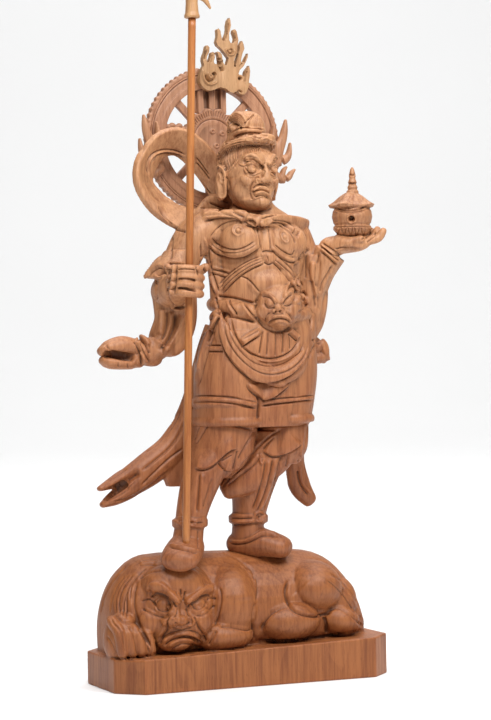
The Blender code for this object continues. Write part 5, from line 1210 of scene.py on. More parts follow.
DEMON_FACE = {
    "right brow": ("ridge", 1.1, 1.3, [
        (146.5, 593.5), (150.4, 585.7), (160, 584.5), (169.8, 592.7), (180.4, 604.5),
    ]),
    "left brow": ("ridge", 1.1, 1.2, [
        (213.9, 593.5), (211, 586.9), (202.4, 589), (193.5, 597.1), (184.5, 604.1),
    ]),
    "right brow foot": ("groove", 0.5, 1.3, [
        (149.4, 598.8), (155.9, 594.3), (164.7, 596.3), (172.9, 602.9), (178.8, 608.6),
    ]),
    "left brow foot": ("groove", 0.5, 1.3, [
        (213.1, 597.1), (206.9, 595.5), (200, 598), (192.7, 602.9), (186.1, 608.2),
    ]),
    "right eyeball": ("boss", 2.7, 1.6, [(163.7, 604.9)]),
    "left eyeball": ("boss", 2.5, 1.5, [(198.4, 603.3)]),
    "right upper lid": ("ridge", 0.5, 0.6, [
        (155.1, 603.3), (158.6, 598.8), (165.7, 598.4), (172.2, 603.7),
    ]),
    "left upper lid": ("ridge", 0.5, 0.6, [(191.2, 602.9), (196.3, 598.4), (202.9, 598.4), (206.9, 601.2)]),
    "right lower lid": ("ridge", 0.55, 0.8, [
        (153.9, 604.9), (157.6, 611.4), (165.3, 613.9), (173.5, 611.4),
    ]),
    "left lower lid": ("ridge", 0.55, 0.8, [
        (190.2, 610.2), (197.3, 611.8), (204.1, 608.8), (207.3, 602.9),
    ]),
    "right eye corner": ("groove", 0.4, 1.0, [
        (141.2, 601.2), (148.4, 599.2), (153.9, 601.8), (155.9, 606.9),
    ]),
    "left eye corner": ("groove", 0.4, 0.9, [(216.3, 599.2), (211, 597.6), (206.9, 600.2)]),
    "right bag": ("groove", 0.45, 0.9, [(141.2, 608.4), (149.4, 611.8), (158.6, 616.3), (167.8, 617.6)]),
    "left bag": ("groove", 0.45, 0.8, [(215.7, 604.3), (209.6, 610.4), (202.4, 615.1), (194.3, 615.5)]),
    "frown 1": ("groove", 0.3, 0.9, [(175.9, 591), (179.2, 597.1), (181.4, 602.2)]),
    "frown 2": ("groove", 0.3, 0.9, [(180.4, 588.6), (181.4, 595.1), (182.2, 601.2)]),
    "frown 3": ("groove", 0.3, 0.9, [(185.3, 591), (183.9, 596.7), (183.1, 601.6)]),
    "bridge right": ("groove", 0.4, 1.0, [(177.6, 607.3), (178, 611.4), (175.9, 615.9), (171.8, 618.4)]),
    "bridge left": ("groove", 0.4, 1.0, [(186.1, 607.3), (187.3, 611.4), (188.8, 615.5), (192.2, 618)]),
    "right wing": ("ridge", 0.6, 1.1, [
        (176.3, 618.4), (171.4, 618.6), (169.4, 622.7), (172.2, 626.9), (177.1, 625.7),
    ]),
    "left wing": ("ridge", 0.6, 1.1, [
        (187.8, 618), (192.2, 618), (194.3, 621.6), (191.8, 625.3), (186.9, 624.9),
    ]),
    "nose tip": ("boss", 1.8, 0.6, [(182, 620.6)]),
    "right nostril": ("dish", 0.7, 1.1, [(175.9, 623.7)]),
    "left nostril": ("dish", 0.7, 1.1, [(188.2, 622.9)]),
    "nose foot": ("groove", 0.35, 1.0, [(172.2, 628.6), (181.6, 630.2), (192.2, 626.9)]),
    "right wing crease": ("groove", 0.35, 0.9, [(170.2, 617.1), (167.3, 622), (169.8, 628.2)]),
    "left wing crease": ("groove", 0.35, 0.9, [(193.9, 616.7), (195.9, 621.6), (194.3, 626.5)]),
    "right cheek fold": ("groove", 0.55, 1.3, [
        (167.8, 621.6), (167.3, 629.8), (162.7, 636.9), (158, 645.1),
    ]),
    "left cheek fold": ("groove", 0.55, 1.3, [
        (195.5, 620.6), (198.4, 627.8), (202.9, 633.9), (206.1, 642),
    ]),
    "right cheek fold ridge": ("ridge", 0.9, 0.6, [
        (164.7, 621.6), (162.7, 629.8), (158.6, 636.9), (154.7, 643.1),
    ]),
    "left cheek fold ridge": ("ridge", 0.9, 0.6, [
        (199.2, 620.6), (202.9, 627.8), (207.3, 634.3), (209.4, 640),
    ]),
    "upper lip top": ("groove", 0.35, 0.8, [
        (160, 640.4), (167.8, 633.9), (181, 630.6), (194.3, 631.8), (203.5, 638),
    ]),
    "upper lip": ("ridge", 0.7, 1.2, [
        (160.8, 643.7), (169.8, 636.9), (181.6, 633.7), (193.5, 634.9), (203.3, 640.8),
    ]),
    "mouth line": ("groove", 0.42, 1.4, [
        (163.3, 646.5), (171.4, 640), (182, 636.9), (192.7, 638), (202.4, 643.7),
    ]),
    "lower lip": ("ridge", 0.6, 0.9, [
        (166.7, 647.8), (174.3, 642.4), (182.4, 640), (191.2, 640.8), (199.4, 644.5),
    ]),
    "lower lip foot": ("groove", 0.4, 0.9, [
        (169.8, 651.2), (178, 646.1), (183.1, 644.1), (191.2, 644.9), (197.3, 647.8),
    ]),
    "face side": ("groove", 0.7, 1.2, [
        (138.2, 579.8), (134.3, 593.1), (134.7, 609.4), (140.8, 629.8), (151.4, 647.1),
    ]),
    "jaw side": ("groove", 0.7, 1.1, [(216.3, 629.8), (212.7, 638), (208.2, 646.1)]),
    "brow to temple": ("groove", 0.45, 0.8, [
        (219.2, 585.9), (221.2, 599.2), (217.6, 617.6), (213.1, 627.8),
    ]),
    "face top": ("groove", 0.4, 0.6, [(138.2, 579.8), (149.4, 572.7), (161.6, 570.6)]),
}

DEMON_EDGES = {
    "hair 1": ("groove", 0.35, 0.9, [(138.2, 575.7), (129, 586.9), (123.9, 601.2), (123.3, 617.6)]),
    "hair 2": ("groove", 0.35, 0.9, [(143.3, 570.6), (132.7, 580.8), (126.5, 595.1), (127.3, 620.6)]),
    "hair 3": ("groove", 0.35, 0.9, [(134.1, 573.7), (123.9, 585.9), (118.8, 601.2), (120, 615.5)]),
    "hair 4": ("groove", 0.35, 0.8, [(147.3, 567.6), (139.2, 573.7), (131, 586.9), (130.2, 601.2)]),
    "hair 5": ("groove", 0.3, 0.6, [(130, 574.7), (120.8, 585.9), (115.7, 601.2), (116.7, 615.5)]),
    "hair 6": ("groove", 0.3, 0.6, [(125.9, 574.7), (116.7, 586.9), (111.6, 601.2), (110.6, 613.5)]),
    "hair tie 1": ("ridge", 0.5, 0.6, [(139.2, 562.9), (149.4, 561.6), (157.1, 562.9)]),
    "hair tie 2": ("groove", 0.3, 0.7, [(138.4, 565.7), (149.4, 564.5), (157.6, 565.7)]),
    "hair tie 3": ("groove", 0.3, 0.6, [(141.2, 560), (150.4, 558.8), (157.6, 560)]),
    "back line": ("groove", 0.4, 0.6, [(128, 564.5), (114.7, 578.8), (104.5, 597.1), (100.4, 615.5)]),
    "fist edge 1": ("groove", 0.5, 0.77, [
        (110.6, 616.5), (113.7, 623.7), (119.8, 629.8), (123.9, 642), (125.9, 654.3),
    ]),
    "fist edge 2": ("groove", 0.45, 0.72, [(128, 625.7), (133.5, 633.9), (136.1, 646.1), (137.6, 656.3)]),
    "fist edge 3": ("groove", 0.4, 0.61, [(137.6, 627.8), (143.7, 635.9), (147.3, 646.1), (149.4, 654.3)]),
    "fist thumb": ("groove", 0.45, 0.61, [(106.5, 635.9), (110.6, 642), (114.7, 651.2), (115.1, 656.3)]),
    "fist and cheek": ("groove", 0.6, 0.77, [
        (121.8, 621.6), (128, 622.7), (136.1, 622.7), (141.2, 629.8), (147.3, 640), (151.8, 650.2),
    ]),
    "knuckle line": ("groove", 0.4, 0.44, [
        (100.4, 625.7), (107.6, 617.6), (114.7, 615.1), (121.8, 621.6), (129, 623.3),
    ]),
    "elbow line": ("groove", 0.45, 0.6, [(247.3, 564.5), (255.1, 574.7), (257.6, 586.9), (255.9, 605.3)]),
    "elbow crease": ("groove", 0.6, 1.5, [(255.9, 601.2), (253.5, 617.6), (253.1, 629.8), (253.1, 640)]),
    "arm top": ("groove", 0.5, 0.6, [(220.8, 552.2), (237.1, 558.4), (249.4, 570.6)]),
    "shoulder swell": ("ridge", 4.0, 0.8, [(231, 564.5), (241.2, 580.8), (243.3, 601.2)]),
    "forearm top": ("groove", 0.5, 1.3, [(218.8, 625.7), (231, 626.7), (243.3, 629.4), (252.4, 629.8)]),
    "forearm swell": ("ridge", 3.0, 0.6, [(222.9, 635.9), (235.1, 636.9), (247.3, 635.9)]),
    "thigh edge": ("groove", 0.7, 1.8, [
        (288.6, 578.8), (285.7, 593.1), (290.2, 606.3), (300.4, 613.5), (314.7, 616.5), (325.9, 613.9),
        (333.1, 608.4),
    ]),
    "thigh swell": ("ridge", 4.5, 0.8, [(300.4, 586.9), (310.6, 597.1), (320.8, 601.2)]),
    "calf edge": ("groove", 0.65, 1.6, [
        (261.2, 631.8), (264.7, 620.6), (272.9, 611.4), (286.1, 605.3), (296.3, 610.4),
    ]),
    "calf side": ("groove", 0.65, 1.5, [(323.3, 615.9), (325.9, 625.7), (326.9, 634.9)]),
    "foot edge": ("groove", 0.6, 1.2, [
        (323.9, 618.6), (328, 611.4), (337.6, 607.3), (349.4, 613.5), (364.1, 627.3),
    ]),
    "body foot": ("groove", 0.6, 1.4, [
        (253.9, 641), (263.7, 640.4), (284.1, 641.6), (304.5, 639.6), (326.9, 635.9), (345.3, 633.5),
        (364.7, 629.8),
    ]),
    "cloth line 1": ("ridge", 0.45, 0.7, [
        (327.3, 575.7), (337.1, 581.8), (346.3, 592), (354.5, 604.3), (360.6, 615.5), (364.1, 625.7),
    ]),
    "cloth line 2": ("groove", 0.28, 0.7, [
        (324.9, 578.8), (334.1, 585.3), (343.3, 595.5), (351.4, 607.3), (357.6, 618.6),
    ]),
    "cloth line 3": ("groove", 0.28, 0.7, [
        (330, 573.7), (340.2, 579.8), (349.8, 590), (357.6, 602.2), (363.3, 613.5),
    ]),
    "belly line": ("groove", 0.4, 0.7, [(243.3, 562.4), (251.4, 570.6), (255.1, 580.8)]),
    "chin rest": ("groove", 0.6, 1.2, [(151.4, 654.3), (165.7, 653.5), (186.1, 651.8), (206.5, 649.8)]),
    "plinth edge": ("groove", 0.45, 0.8, [
        (100.4, 654.3), (120.8, 658.8), (151.4, 657.3), (182, 655.3), (222.9, 650.2), (263.7, 645.1),
        (324.9, 637.6), (363.7, 632.2),
    ]),
}

FLAME_PLATE = [
    (198, 78.8), (199, 73.5), (200.8, 68.1), (202.6, 65), (201.4, 61.2), (201.6, 57), (203.7, 52),
    (204.9, 45.9), (206.8, 44.5), (209.2, 47.3), (209.1, 52), (206.9, 56.6), (206.4, 60.4),
    (207.1, 64.4), (207.9, 60.4), (209.4, 56.6), (210.1, 52.4), (212.1, 51.3), (214.3, 53.2),
    (214.8, 57.4), (213.4, 61.6), (214.1, 63.7), (216, 63.2), (217.3, 65), (218.3, 68.1), (219.3, 71.3),
    (218.3, 66.6), (217.5, 59.7), (217, 55.5), (215, 52.2), (216.7, 51), (219.8, 52), (221.7, 55.1),
    (222.2, 60.4), (223.8, 64.1), (225.3, 65.5), (226.5, 61.2), (227.4, 58.3), (225.9, 56.8),
    (222.8, 52.8), (219.8, 49), (216.3, 46.1), (214.8, 42.2), (216.3, 36), (215.8, 29.8), (217.6, 27.9),
    (220.1, 30.5), (220.6, 34.4), (221.8, 39.8), (223.5, 41.7), (223.3, 37.5), (225.4, 32.1),
    (225.9, 24.5), (226.8, 20), (229, 17.2), (230.2, 20.7), (230.7, 26), (229.7, 30.6), (228.7, 34.4),
    (228.7, 39.8), (230.2, 43), (232.8, 42.5), (233.6, 39), (231.7, 32.5), (232.2, 29.7), (234, 28.5),
    (236.2, 31.4), (237.2, 36), (238.1, 40.6), (237.2, 45.9), (236.9, 52.8), (234.8, 58.1), (234, 61.2),
    (233.6, 66.6), (235.5, 67.8), (239.7, 67.3), (241.2, 62.7), (243.2, 60.4), (245, 56.6),
    (247.6, 52.8), (247.6, 57.4), (245.6, 62), (243.4, 66.6), (239.4, 70.8), (238.1, 74.6),
    (240.4, 74.1), (243.2, 76.5), (244.1, 71.2), (246.7, 67.3), (248.7, 64.9), (249.8, 71.2),
    (249.5, 76.5), (248.6, 81.9), (249, 84.9), (246.7, 91.8), (243, 95.8), (238.5, 94.3), (236.2, 91.8),
    (232.8, 94), (229, 92.7), (225.1, 89.7), (219.8, 88), (214.4, 90.4), (209.1, 91.8), (204.3, 90.1),
    (200.5, 86.3), (198.2, 82.6),
]

FLAME_FAR_TONGUES = [
    (234.8, 68.9), (234.5, 64.3), (236.3, 58.1), (237.5, 53.6), (238.6, 49), (238.3, 45.9), (240, 41.9),
    (241.5, 40.2), (243.2, 44.4), (244.1, 49), (242.3, 53.6), (241.2, 58.1), (240.4, 63.5),
    (238.9, 68.9),
]

HALO_FRINGE = [
    (169, 127), (172.5, 125.5), (176, 127.5), (179.5, 126), (183, 129), (171, 131), (175, 132.5),
    (179, 131.5), (183.5, 134), (177, 136.5), (182, 138.5), (186, 137),
]

HUB_STUDS = [
    (212.6, 131.4), (222.3, 133.7), (216.6, 145.8),
]

FLAME_EDGES = {
    "left scroll": ("groove", 0.35, 0.9, [
        (206, 73.5), (206.4, 77.3), (207.9, 80), (210.6, 81.1), (213.1, 79.6), (214.6, 76.5),
        (214.8, 73.5), (213.7, 71.2),
    ]),
    "left scroll rim": ("ridge", 0.45, 0.6, [
        (203.7, 68.9), (203, 75), (204.3, 80.3), (207.5, 83.8), (211.4, 84.5), (215.2, 83),
        (217.5, 80.3),
    ]),
    "left scroll eye": ("ridge", 0.4, 0.7, [
        (209.5, 72.7), (208.5, 75.4), (209.7, 77.7), (211.8, 76.9), (212.1, 74.2),
    ]),
    "scroll shade": ("well", 0.8, 1.2, [(214.3, 74.2)]),
    "upper scroll": ("groove", 0.28, 0.6, [
        (227.8, 49), (228.4, 52), (230.5, 53.6), (232.6, 52), (232.2, 49.7), (230.5, 49.3),
        (230.1, 51.1),
    ]),
    "upper scroll rim": ("ridge", 0.35, 0.5, [
        (225.9, 47.4), (226.4, 52), (229.7, 55.2), (233.9, 53.9), (234.5, 49.7),
    ]),
    "far scroll": ("groove", 0.28, 0.7, [(237, 91.4), (239.7, 90.7), (242.4, 92.6)]),
    "far scroll shade": ("well", 0.7, 1.2, [(240.1, 78.4)]),
    "dark tongue": ("groove", 0.7, 1.2, [(219, 57.4), (219.8, 63.5), (221.7, 68.9), (222.8, 71.9)]),
    "tongue line 1": ("groove", 0.35, 0.5, [(206.4, 49), (205.2, 53.6), (204.5, 59.7)]),
    "tongue line 2": ("groove", 0.3, 0.4, [(212.5, 54.3), (211.8, 58.1), (211, 62.7)]),
    "tongue line 3": ("groove", 0.3, 0.5, [(228.6, 22.2), (228.4, 28.3), (226.8, 33.7), (226.3, 39.8)]),
    "tongue line 4": ("groove", 0.3, 0.5, [(234.3, 32.1), (234.9, 36.7), (235.7, 41.3)]),
    "tongue line 5": ("groove", 0.3, 0.4, [(245.8, 56.6), (242.7, 62.7), (238.9, 67.3)]),
    "tongue line 6": ("groove", 0.3, 0.5, [(247.3, 70.4), (246, 76.5), (245, 82.6)]),
}

PAGODA_EDGES = {
    "window": ("well", 1.2, 3.4, [(351.4, 219.1)]),
    "window rim": ("ridge", 0.3, 0.35, [
        (355.3, 219.1), (354.2, 222), (351.4, 223.1), (348.6, 222), (347.5, 219.1), (348.6, 216.2),
        (351.4, 215.1), (354.2, 216.2), (355.3, 219.1),
    ]),
    "foot line": ("groove", 0.3, 0.6, [
        (333.5, 227.3), (343.1, 226.6), (352.6, 226.4), (362.2, 226.6), (371.8, 227.3),
    ]),
    "foot low line": ("groove", 0.3, 0.6, [
        (335.4, 235.6), (343.1, 236.3), (352.6, 236.5), (362.2, 236.1), (369.9, 235.2),
    ]),
    "zigzag": ("groove", 0.3, 0.6, [
        (334.4, 227.5), (337.1, 235.2), (340.2, 227.3), (343.5, 235.9), (346.9, 226.9), (350.2, 236.3),
        (353.6, 226.7), (356.9, 236.3), (360.3, 226.9), (363.6, 235.9), (367, 227.1), (369.9, 234.2),
    ]),
    "roof edge near": ("groove", 0.35, 0.8, [
        (332.1, 206), (338.3, 208.6), (345, 209.9), (351.7, 210.3), (358.4, 209.3), (364.1, 207.4),
        (369.9, 205.5),
    ]),
    "eave shade": ("groove", 0.45, 0.7, [
        (334.4, 209.8), (343.1, 211.7), (352.6, 212.2), (361.2, 211.2), (368.9, 208.9),
    ]),
    "roof line 1": ("groove", 0.2, 0.22, [(352.2, 192.1), (345.9, 196.9), (338.3, 201.7), (333, 203.6)]),
    "roof line 2": ("groove", 0.2, 0.22, [(353.1, 192.1), (349.8, 197.8), (345, 204.5), (342.1, 207.4)]),
    "roof line 3": ("groove", 0.2, 0.22, [(354.1, 192.1), (353.6, 199.8), (353.1, 208.4)]),
    "roof line 4": ("groove", 0.2, 0.22, [(355, 192.1), (358.4, 198.8), (362.2, 206.5)]),
    "roof line 5": ("groove", 0.2, 0.22, [(356, 192.1), (361.2, 196.9), (367.9, 203.6)]),
    "tier line 1": ("groove", 0.4, 0.9, [(347.8, 183), (352.2, 183.7), (356.5, 183)]),
    "tier line 2": ("groove", 0.4, 0.9, [(348.3, 174.4), (352.2, 175.1), (356, 174.4)]),
    "body shade": ("groove", 0.8, 0.5, [(335.6, 211.2), (334.4, 217), (335.9, 223.7)]),
}


# Strands of hair: grooves between two rows of places in the photograph

HAIR_TOP = [
    (217.2, 152.5), (221.5, 149.5), (226.5, 147.2), (232.5, 145.4), (238.5, 144.2), (244.5, 143.6),
    (250.5, 144.2), (256.5, 145.0), (262.5, 145.8), (268.5, 147.0), (273.5, 149.5),
]
HAIR_FOOT = [
    (218.6, 164.5), (223.5, 168.5), (227.5, 171.5), (231.0, 167.0), (235.5, 162.0), (240.0, 158.5),
    (244.5, 154.5), (251.0, 152.6), (258.5, 152.0), (266.0, 151.6), (272.5, 153.0),
]
HAIR_STRANDS = 36
CURL_OUTER = [
    (226, 135.5), (223.4, 129), (223.6, 122), (228, 116.6), (235, 113.4), (241.5, 116.5), (246, 124.5),
]
CURL_INNER = [
    (231.5, 132.5), (228.4, 129.5), (228.6, 125), (231.6, 122.2), (235.5, 122.6), (239, 125.6),
    (241.5, 129.5),
]
CURL_STRANDS = 6
DOME_FIRST = [(243, 112), (247.5, 118), (249.5, 126.5)]
DOME_LAST = [(257.5, 115.5), (260.5, 121), (261.5, 128.5)]
DOME_STRANDS = 7


def head_place():
    return Matrix.Translation(Vector(HEAD_CENTRE)) @ Matrix.Rotation(math.radians(HEAD_TURN), 4, "Z")


def head_halves(surface):
    """The photograph's view of the near half of the face, and its mirror image for the far half."""
    place = head_place()
    local = (surface.points - np.array(place.translation)) @ np.array(place.to_3x3())
    near = np.clip(0.5 - local[:, 0] / 1.6, 0, 1)
    near = near * near * (3 - 2 * near)
    return (photo_view, near), (mirrored_view(place), 1 - near)


def add_trunk(shape):
    """Armoured trunk from the hips to the neck, with the shoulder cape and its knot."""
    shape.stack([
        (122, 10.5, -3.0, 20, 14),
        (130, 11.0, -3.0, 22, 16),
        (138, 11.3, -3.0, 22.8, 17),
        (148, 10.8, -3.5, 21.4, 16.4),
        (156, 10.2, -4.0, 19, 15),
        (163, 10.0, -4.4, 18.0, 15.0),
        (170, 10.2, -4.4, 18.6, 15.2),
        (178, 10.6, -4.2, 20.4, 15.4),
        (185, 10.6, -3.5, 21.6, 15.2),
        (190, 10.4, -2.5, 20.5, 13.5),
        (195, 10.2, -2.0, 15, 10.5),
        (199, 9.0, -3.0, 9.2, 9),
        (204, 7.0, -4.0, 7.6, 8.5),
    ])
    shape.ball((0.2, -12.0, 183.6), (9.8, 8.4, 8.8))
    shape.ball((19.4, -12.0, 182.6), (9.4, 8.4, 8.8))
    shape.ball((10.6, -9.5, 165.5), (13.4, 12.4, 10.4))
    shape.ball((-10.0, -2, 188.0), (8.5, 9, 7))
    shape.ball((28.8, -1, 186.0), (6.6, 9, 6.4))
    shape.limb([
        (-11, -3, 187, 3.6, 4.6), (-9.6, -4, 177, 3.4, 4.6), (-8.4, -4, 167, 3.2, 4.4),
        (-8.6, -4, 159, 2.6, 4),
    ])
    for rows in (
        [
            (-14, -6, 191.0, 4.0, 1.5), (-7, -12.6, 191.6, 4.0, 1.3), (-1, -17.0, 192.0, 3.4, 1.2),
            (3.6, -19.2, 192.4, 2.0, 1.1),
        ],
        [
            (32, -5, 189.6, 4.0, 1.5), (24, -12.2, 190.4, 4.0, 1.3), (14, -17.0, 191.6, 3.2, 1.2),
            (6.4, -19.4, 192.4, 2.0, 1.1),
        ],
    ):
        shape.limb(rows, side=(0, -0.4, 0.9), power=3.0)
    shape.ball((4.8, -19.8, 192.0), (3.0, 2.2, 2.2), (0, 15, 0))


def add_belt(shape):
    """Twisted belt, the mask buckle and the half-round apron below it."""
    ring = []
    for k in range(25):
        angle = 2 * math.pi * k / 24
        high = 155.4 + 2.4 * math.sin(angle) - 1.6 * math.cos(angle)
        ring.append((10.6 + 19.8 * math.cos(angle), -4.0 + 16.2 * math.sin(angle), high, 3.0, 3.0))
    shape.limb(ring, side=(0, 0, 1), steps=1, sides=24, round_ends=False)
    local = Shells()
    local.ball((0, 0.6, 0), (10.2, 5.6, 9.4))
    local.ball((0, -2.4, -4.2), (5.6, 3.4, 4.4))
    local.ball((6.8, -0.4, 8.0), (2.2, 2.2, 3.0), (0, 20, 0))
    shape.place(
        local, Matrix.Translation(Vector((13.0, -20.4, 156.0))) @ Matrix.Rotation(math.radians(6), 4, "Z"),
    )
    border = [
        (-12.6, -11.5, 153.0),
        (-11.4, -15.4, 145.0),
        (-7.8, -18.6, 137.6),
        (-1.6, -21.0, 131.2),
        (5.6, -22.0, 128.0),
        (12.4, -21.8, 127.6),
        (19.4, -20.2, 130.0),
        (26.0, -16.4, 135.4),
        (31.0, -11.4, 143.6),
        (33.0, -7.6, 151.0),
    ]
    shape.limb([(x, y, z, 4.0, 1.9) for x, y, z in border], side=(0, 0, 1), sides=24)
    shape.limb([
        (9.5, -14.0, 152, 19.0, 5.4),
        (9.7, -15.0, 144, 19.4, 5.8),
        (9.6, -15.6, 136, 15.5, 5.8),
        (9.4, -16.4, 129, 9.0, 5.0),
        (7.6, -18.4, 122, 6.0, 3.0),
        (6.0, -20.4, 117.4, 2.0, 1.4),
    ], side=(1, 0, 0), sides=24)


def add_skirt(shape):
    """Armour panels over both thighs, and the cloth hems below them."""
    shape.stack([
        (151, 10.3, -3.6, 19.6, 15.4),
        (145, 10.4, -3.2, 22.3, 16.8),
        (132, 9.8, -3.0, 25.0, 17.8),
        (118, 9.0, -3.0, 24.8, 17.8),
        (106, 8.4, -3.0, 23.6, 17.0),
    ])
    shape.stack([
        (146, -1.6, -5.0, 13.0, 15.0),
        (138, -3.2, -5.3, 14.4, 15.4),
        (130, -4.0, -5.6, 15.0, 15.8),
        (116, -4.6, -6.0, 15.2, 15.9),
        (106.8, -5.2, -6.2, 15.3, 15.6),
    ])
    shape.stack([
        (146, 22.5, -3.5, 12.0, 14.6),
        (130, 22.4, -3.8, 13.0, 15.4),
        (116, 21.0, -4.0, 12.5, 15.4),
        (107.0, 19.8, -4.2, 11.4, 15.0),
    ])
    for z in (116.6, 108.6):
        panel_band(shape, (-4.8, -6.0, z), (15.2, 15.9))
        panel_band(shape, (20.6, -4.0, z + 0.4), (12.0, 15.4))


def panel_band(shape, centre, half):
    """Raised edging round one armour panel."""
    x, y, z = centre
    ring = []
    for k in range(21):
        angle = 2 * math.pi * k / 20
        ring.append((x + half[0] * math.cos(angle), y + half[1] * math.sin(angle), z, 1.6, 0.9))
    shape.limb(ring, side=(0, 0, 1), steps=1, sides=24, round_ends=False)


def add_hems(shape):
    """Cloth below the armour: two hanging hems, the swag between the legs, and the long hem behind."""
    shape.stack([
        (114, -6.4, -5.5, 13.8, 13.8),
        (106, -6.6, -5.5, 13.8, 13.8),
        (96, -8.6, -5.8, 13.4, 13.0),
        (90, -10.6, -6.0, 11.4, 11.4),
        (85.2, -13.6, -6.4, 7.6, 8.8),
    ], waves=7, swell=0.04)
    shape.stack([
        (114, 20.0, -3.5, 11.0, 13.0),
        (104, 19.8, -3.5, 11.6, 13.4),
        (96, 19.4, -3.5, 11.4, 12.4),
        (90, 18.4, -3.4, 8.6, 9.5),
    ], waves=7, swell=0.05)
    shape.limb([
        (23, -8, 102, 8, 5),
        (15, -9, 94, 8, 5),
        (3, -8, 85, 7, 4.4),
        (-5.5, -5, 80.0, 4.5, 3.4),
    ], side=(0.5, 0, 0.86))
    shape.stack([
        (112, 6.0, 5.6, 22, 9),
        (106, 5.0, 6.0, 23, 9),
        (96, 2.0, 6.5, 24, 8),
        (88, -4.0, 7.0, 25.6, 6.5),
        (81.4, -12.0, 7.5, 16, 5),
    ], waves=9, swell=0.06)


def add_legs(shape):
    """Trousers drawn in at the ankles, ankle ties, and the two shoes."""
    shape.stack([
        (104, -7.6, -6.0, 11, 11),
        (92, -14.6, -7.5, 9.8, 9.8),
        (83, -19.2, -8.5, 8.4, 8.6),
        (74, -23.0, -10.0, 7.0, 7.4),
        (66, -25.4, -11.0, 6.1, 6.8),
        (60, -26.6, -11.5, 6.3, 7.0),
        (55, -27.2, -12.0, 6.0, 6.6),
    ])
    shape.stack([
        (104, 16.0, -3.0, 12, 12),
        (92, 11.0, -2.5, 11.0, 10.8),
        (82, 7.6, -2.0, 9.4, 9.8),
        (74, 6.4, -1.2, 7.8, 8.4),
        (66, 5.4, -0.6, 6.6, 7.6),
        (60, 5.2, 0.0, 6.8, 7.4),
        (56, 5.0, 0.6, 7.2, 7.4),
    ])
    shape.turned((-25.2, -10.9), [(65.2, 6.0), (65.8, 7.4), (68.6, 7.5), (69.2, 6.2)])
    shape.turned((5.4, -0.6), [(65.0, 7.0), (65.6, 8.3), (68.4, 8.4), (69.2, 7.2)])
    shape.limb([
        (-25.0, -6.5, 57.6, 6.6, 5.2),
        (-27.6, -12.5, 57.4, 7.6, 6.4),
        (-31.4, -17.5, 55.0, 8.4, 5.6),
        (-34.4, -21.5, 53.0, 8.0, 4.8),
    ], side=(0.85, -0.5, 0))
    shape.limb([
        (2.0, 3.0, 56.5, 6.2, 5.0),
        (7.0, -2.0, 57.4, 7.0, 6.6),
        (12.5, -6.5, 56.4, 7.2, 5.6),
        (16.4, -9.6, 55.2, 6.8, 4.8),
    ], side=(0.64, 0.77, 0))


def add_right_arm(shape):
    """Arm holding the shaft, with a flared upper sleeve and a long hanging one tied in a knot."""
    shape.limb([
        (-10.0, -2.0, 190.0, 8.0, 8.6),
        (-18.0, -2.0, 185.0, 8.0, 8.4),
        (-23.6, -2.0, 175.5, 7.6, 8.0),
        (-27.8, -2.0, 166.0, 7.0, 7.4),
    ], side=(1, 0, 0.3))
    shape.stack([
        (180.0, -23.6, -3.0, 7.2, 8.0),
        (174.5, -26.6, -3.2, 8.6, 8.8),
        (169.4, -29.4, -3.2, 9.6, 9.4),
        (168.4, -30.0, -3.2, 8.2, 8.2),
    ])
    shape.limb([
        (-29.4, -1.0, 163.0, 7.4, 7.4),
        (-30.0, -8.0, 163.5, 7.2, 7.4),
        (-29.6, -14.5, 164.6, 6.4, 6.8),
    ], side=(1, 0, 0))
    shape.limb([
        (-26.8, -2.0, 161.0, 9.6, 6.6),
        (-27.2, -3.5, 151.0, 9.0, 5.8),
        (-31.0, -4.8, 143.6, 8.4, 5.0),
        (-37.0, -5.8, 138.6, 6.8, 4.6),
        (-43.5, -6.2, 137.8, 5.2, 4.4),
    ], side=(0.85, 0, 0.53), round_ends=False)
    shape.ball((-43.4, -6.2, 137.9), (3.0, 5.4, 6.6), (0, 14, 0))
    shape.limb([
        (-45.0, -6.4, 139.6, 3.4, 4.2),
        (-52.0, -7.0, 140.6, 4.2, 4.8),
        (-58.0, -7.6, 139.8, 3.4, 4.4),
        (-60.6, -7.8, 139.0, 2.2, 3.6),
    ], side=(0, 0, 1))
    shape.limb([
        (-45.0, -6.4, 135.0, 3.4, 4.0),
        (-52.0, -7.0, 134.0, 2.9, 4.6),
        (-58.0, -7.6, 133.8, 2.4, 4.2),
        (-60.4, -7.8, 134.6, 1.8, 3.6),
    ], side=(0, 0, 1))
    shape.ball((-51.0, -4.0, 137.3), (9.0, 2.4, 4.0))


def add_right_hand(shape):
    """Fist round the shaft: the back of the hand, four curled fingers and the thumb."""
    x, y, z = FIST_CENTRE
    shape.ball((x - 1.4, y + 3.4, z - 0.6), (6.2, 5.4, 7.4))
    for k in range(4):
        high = z + 5.0 - 3.3 * k
        reach = 6.6 - 0.25 * k
        shape.limb([
            (x - reach, y + 2.0, high, 1.75, 2.2),
            (x - 3.4, y - 3.4, high, 1.75, 2.2),
            (x + 2.6, y - 3.8, high - 0.3, 1.75, 2.1),
            (x + reach - 0.6, y - 0.2, high - 0.5, 1.7, 2.0),
        ], side=(0, 0, 1), sides=24, steps=3)
    shape.limb([
        (x + 3.6, y + 4.0, z + 3.0, 2.2, 2.2),
        (x + 6.8, y + 1.4, z + 4.6, 2.0, 2.0),
        (x + 7.2, y - 2.2, z + 5.6, 1.8, 1.7),
    ], side=(0, 0, 1), sides=24, steps=3)


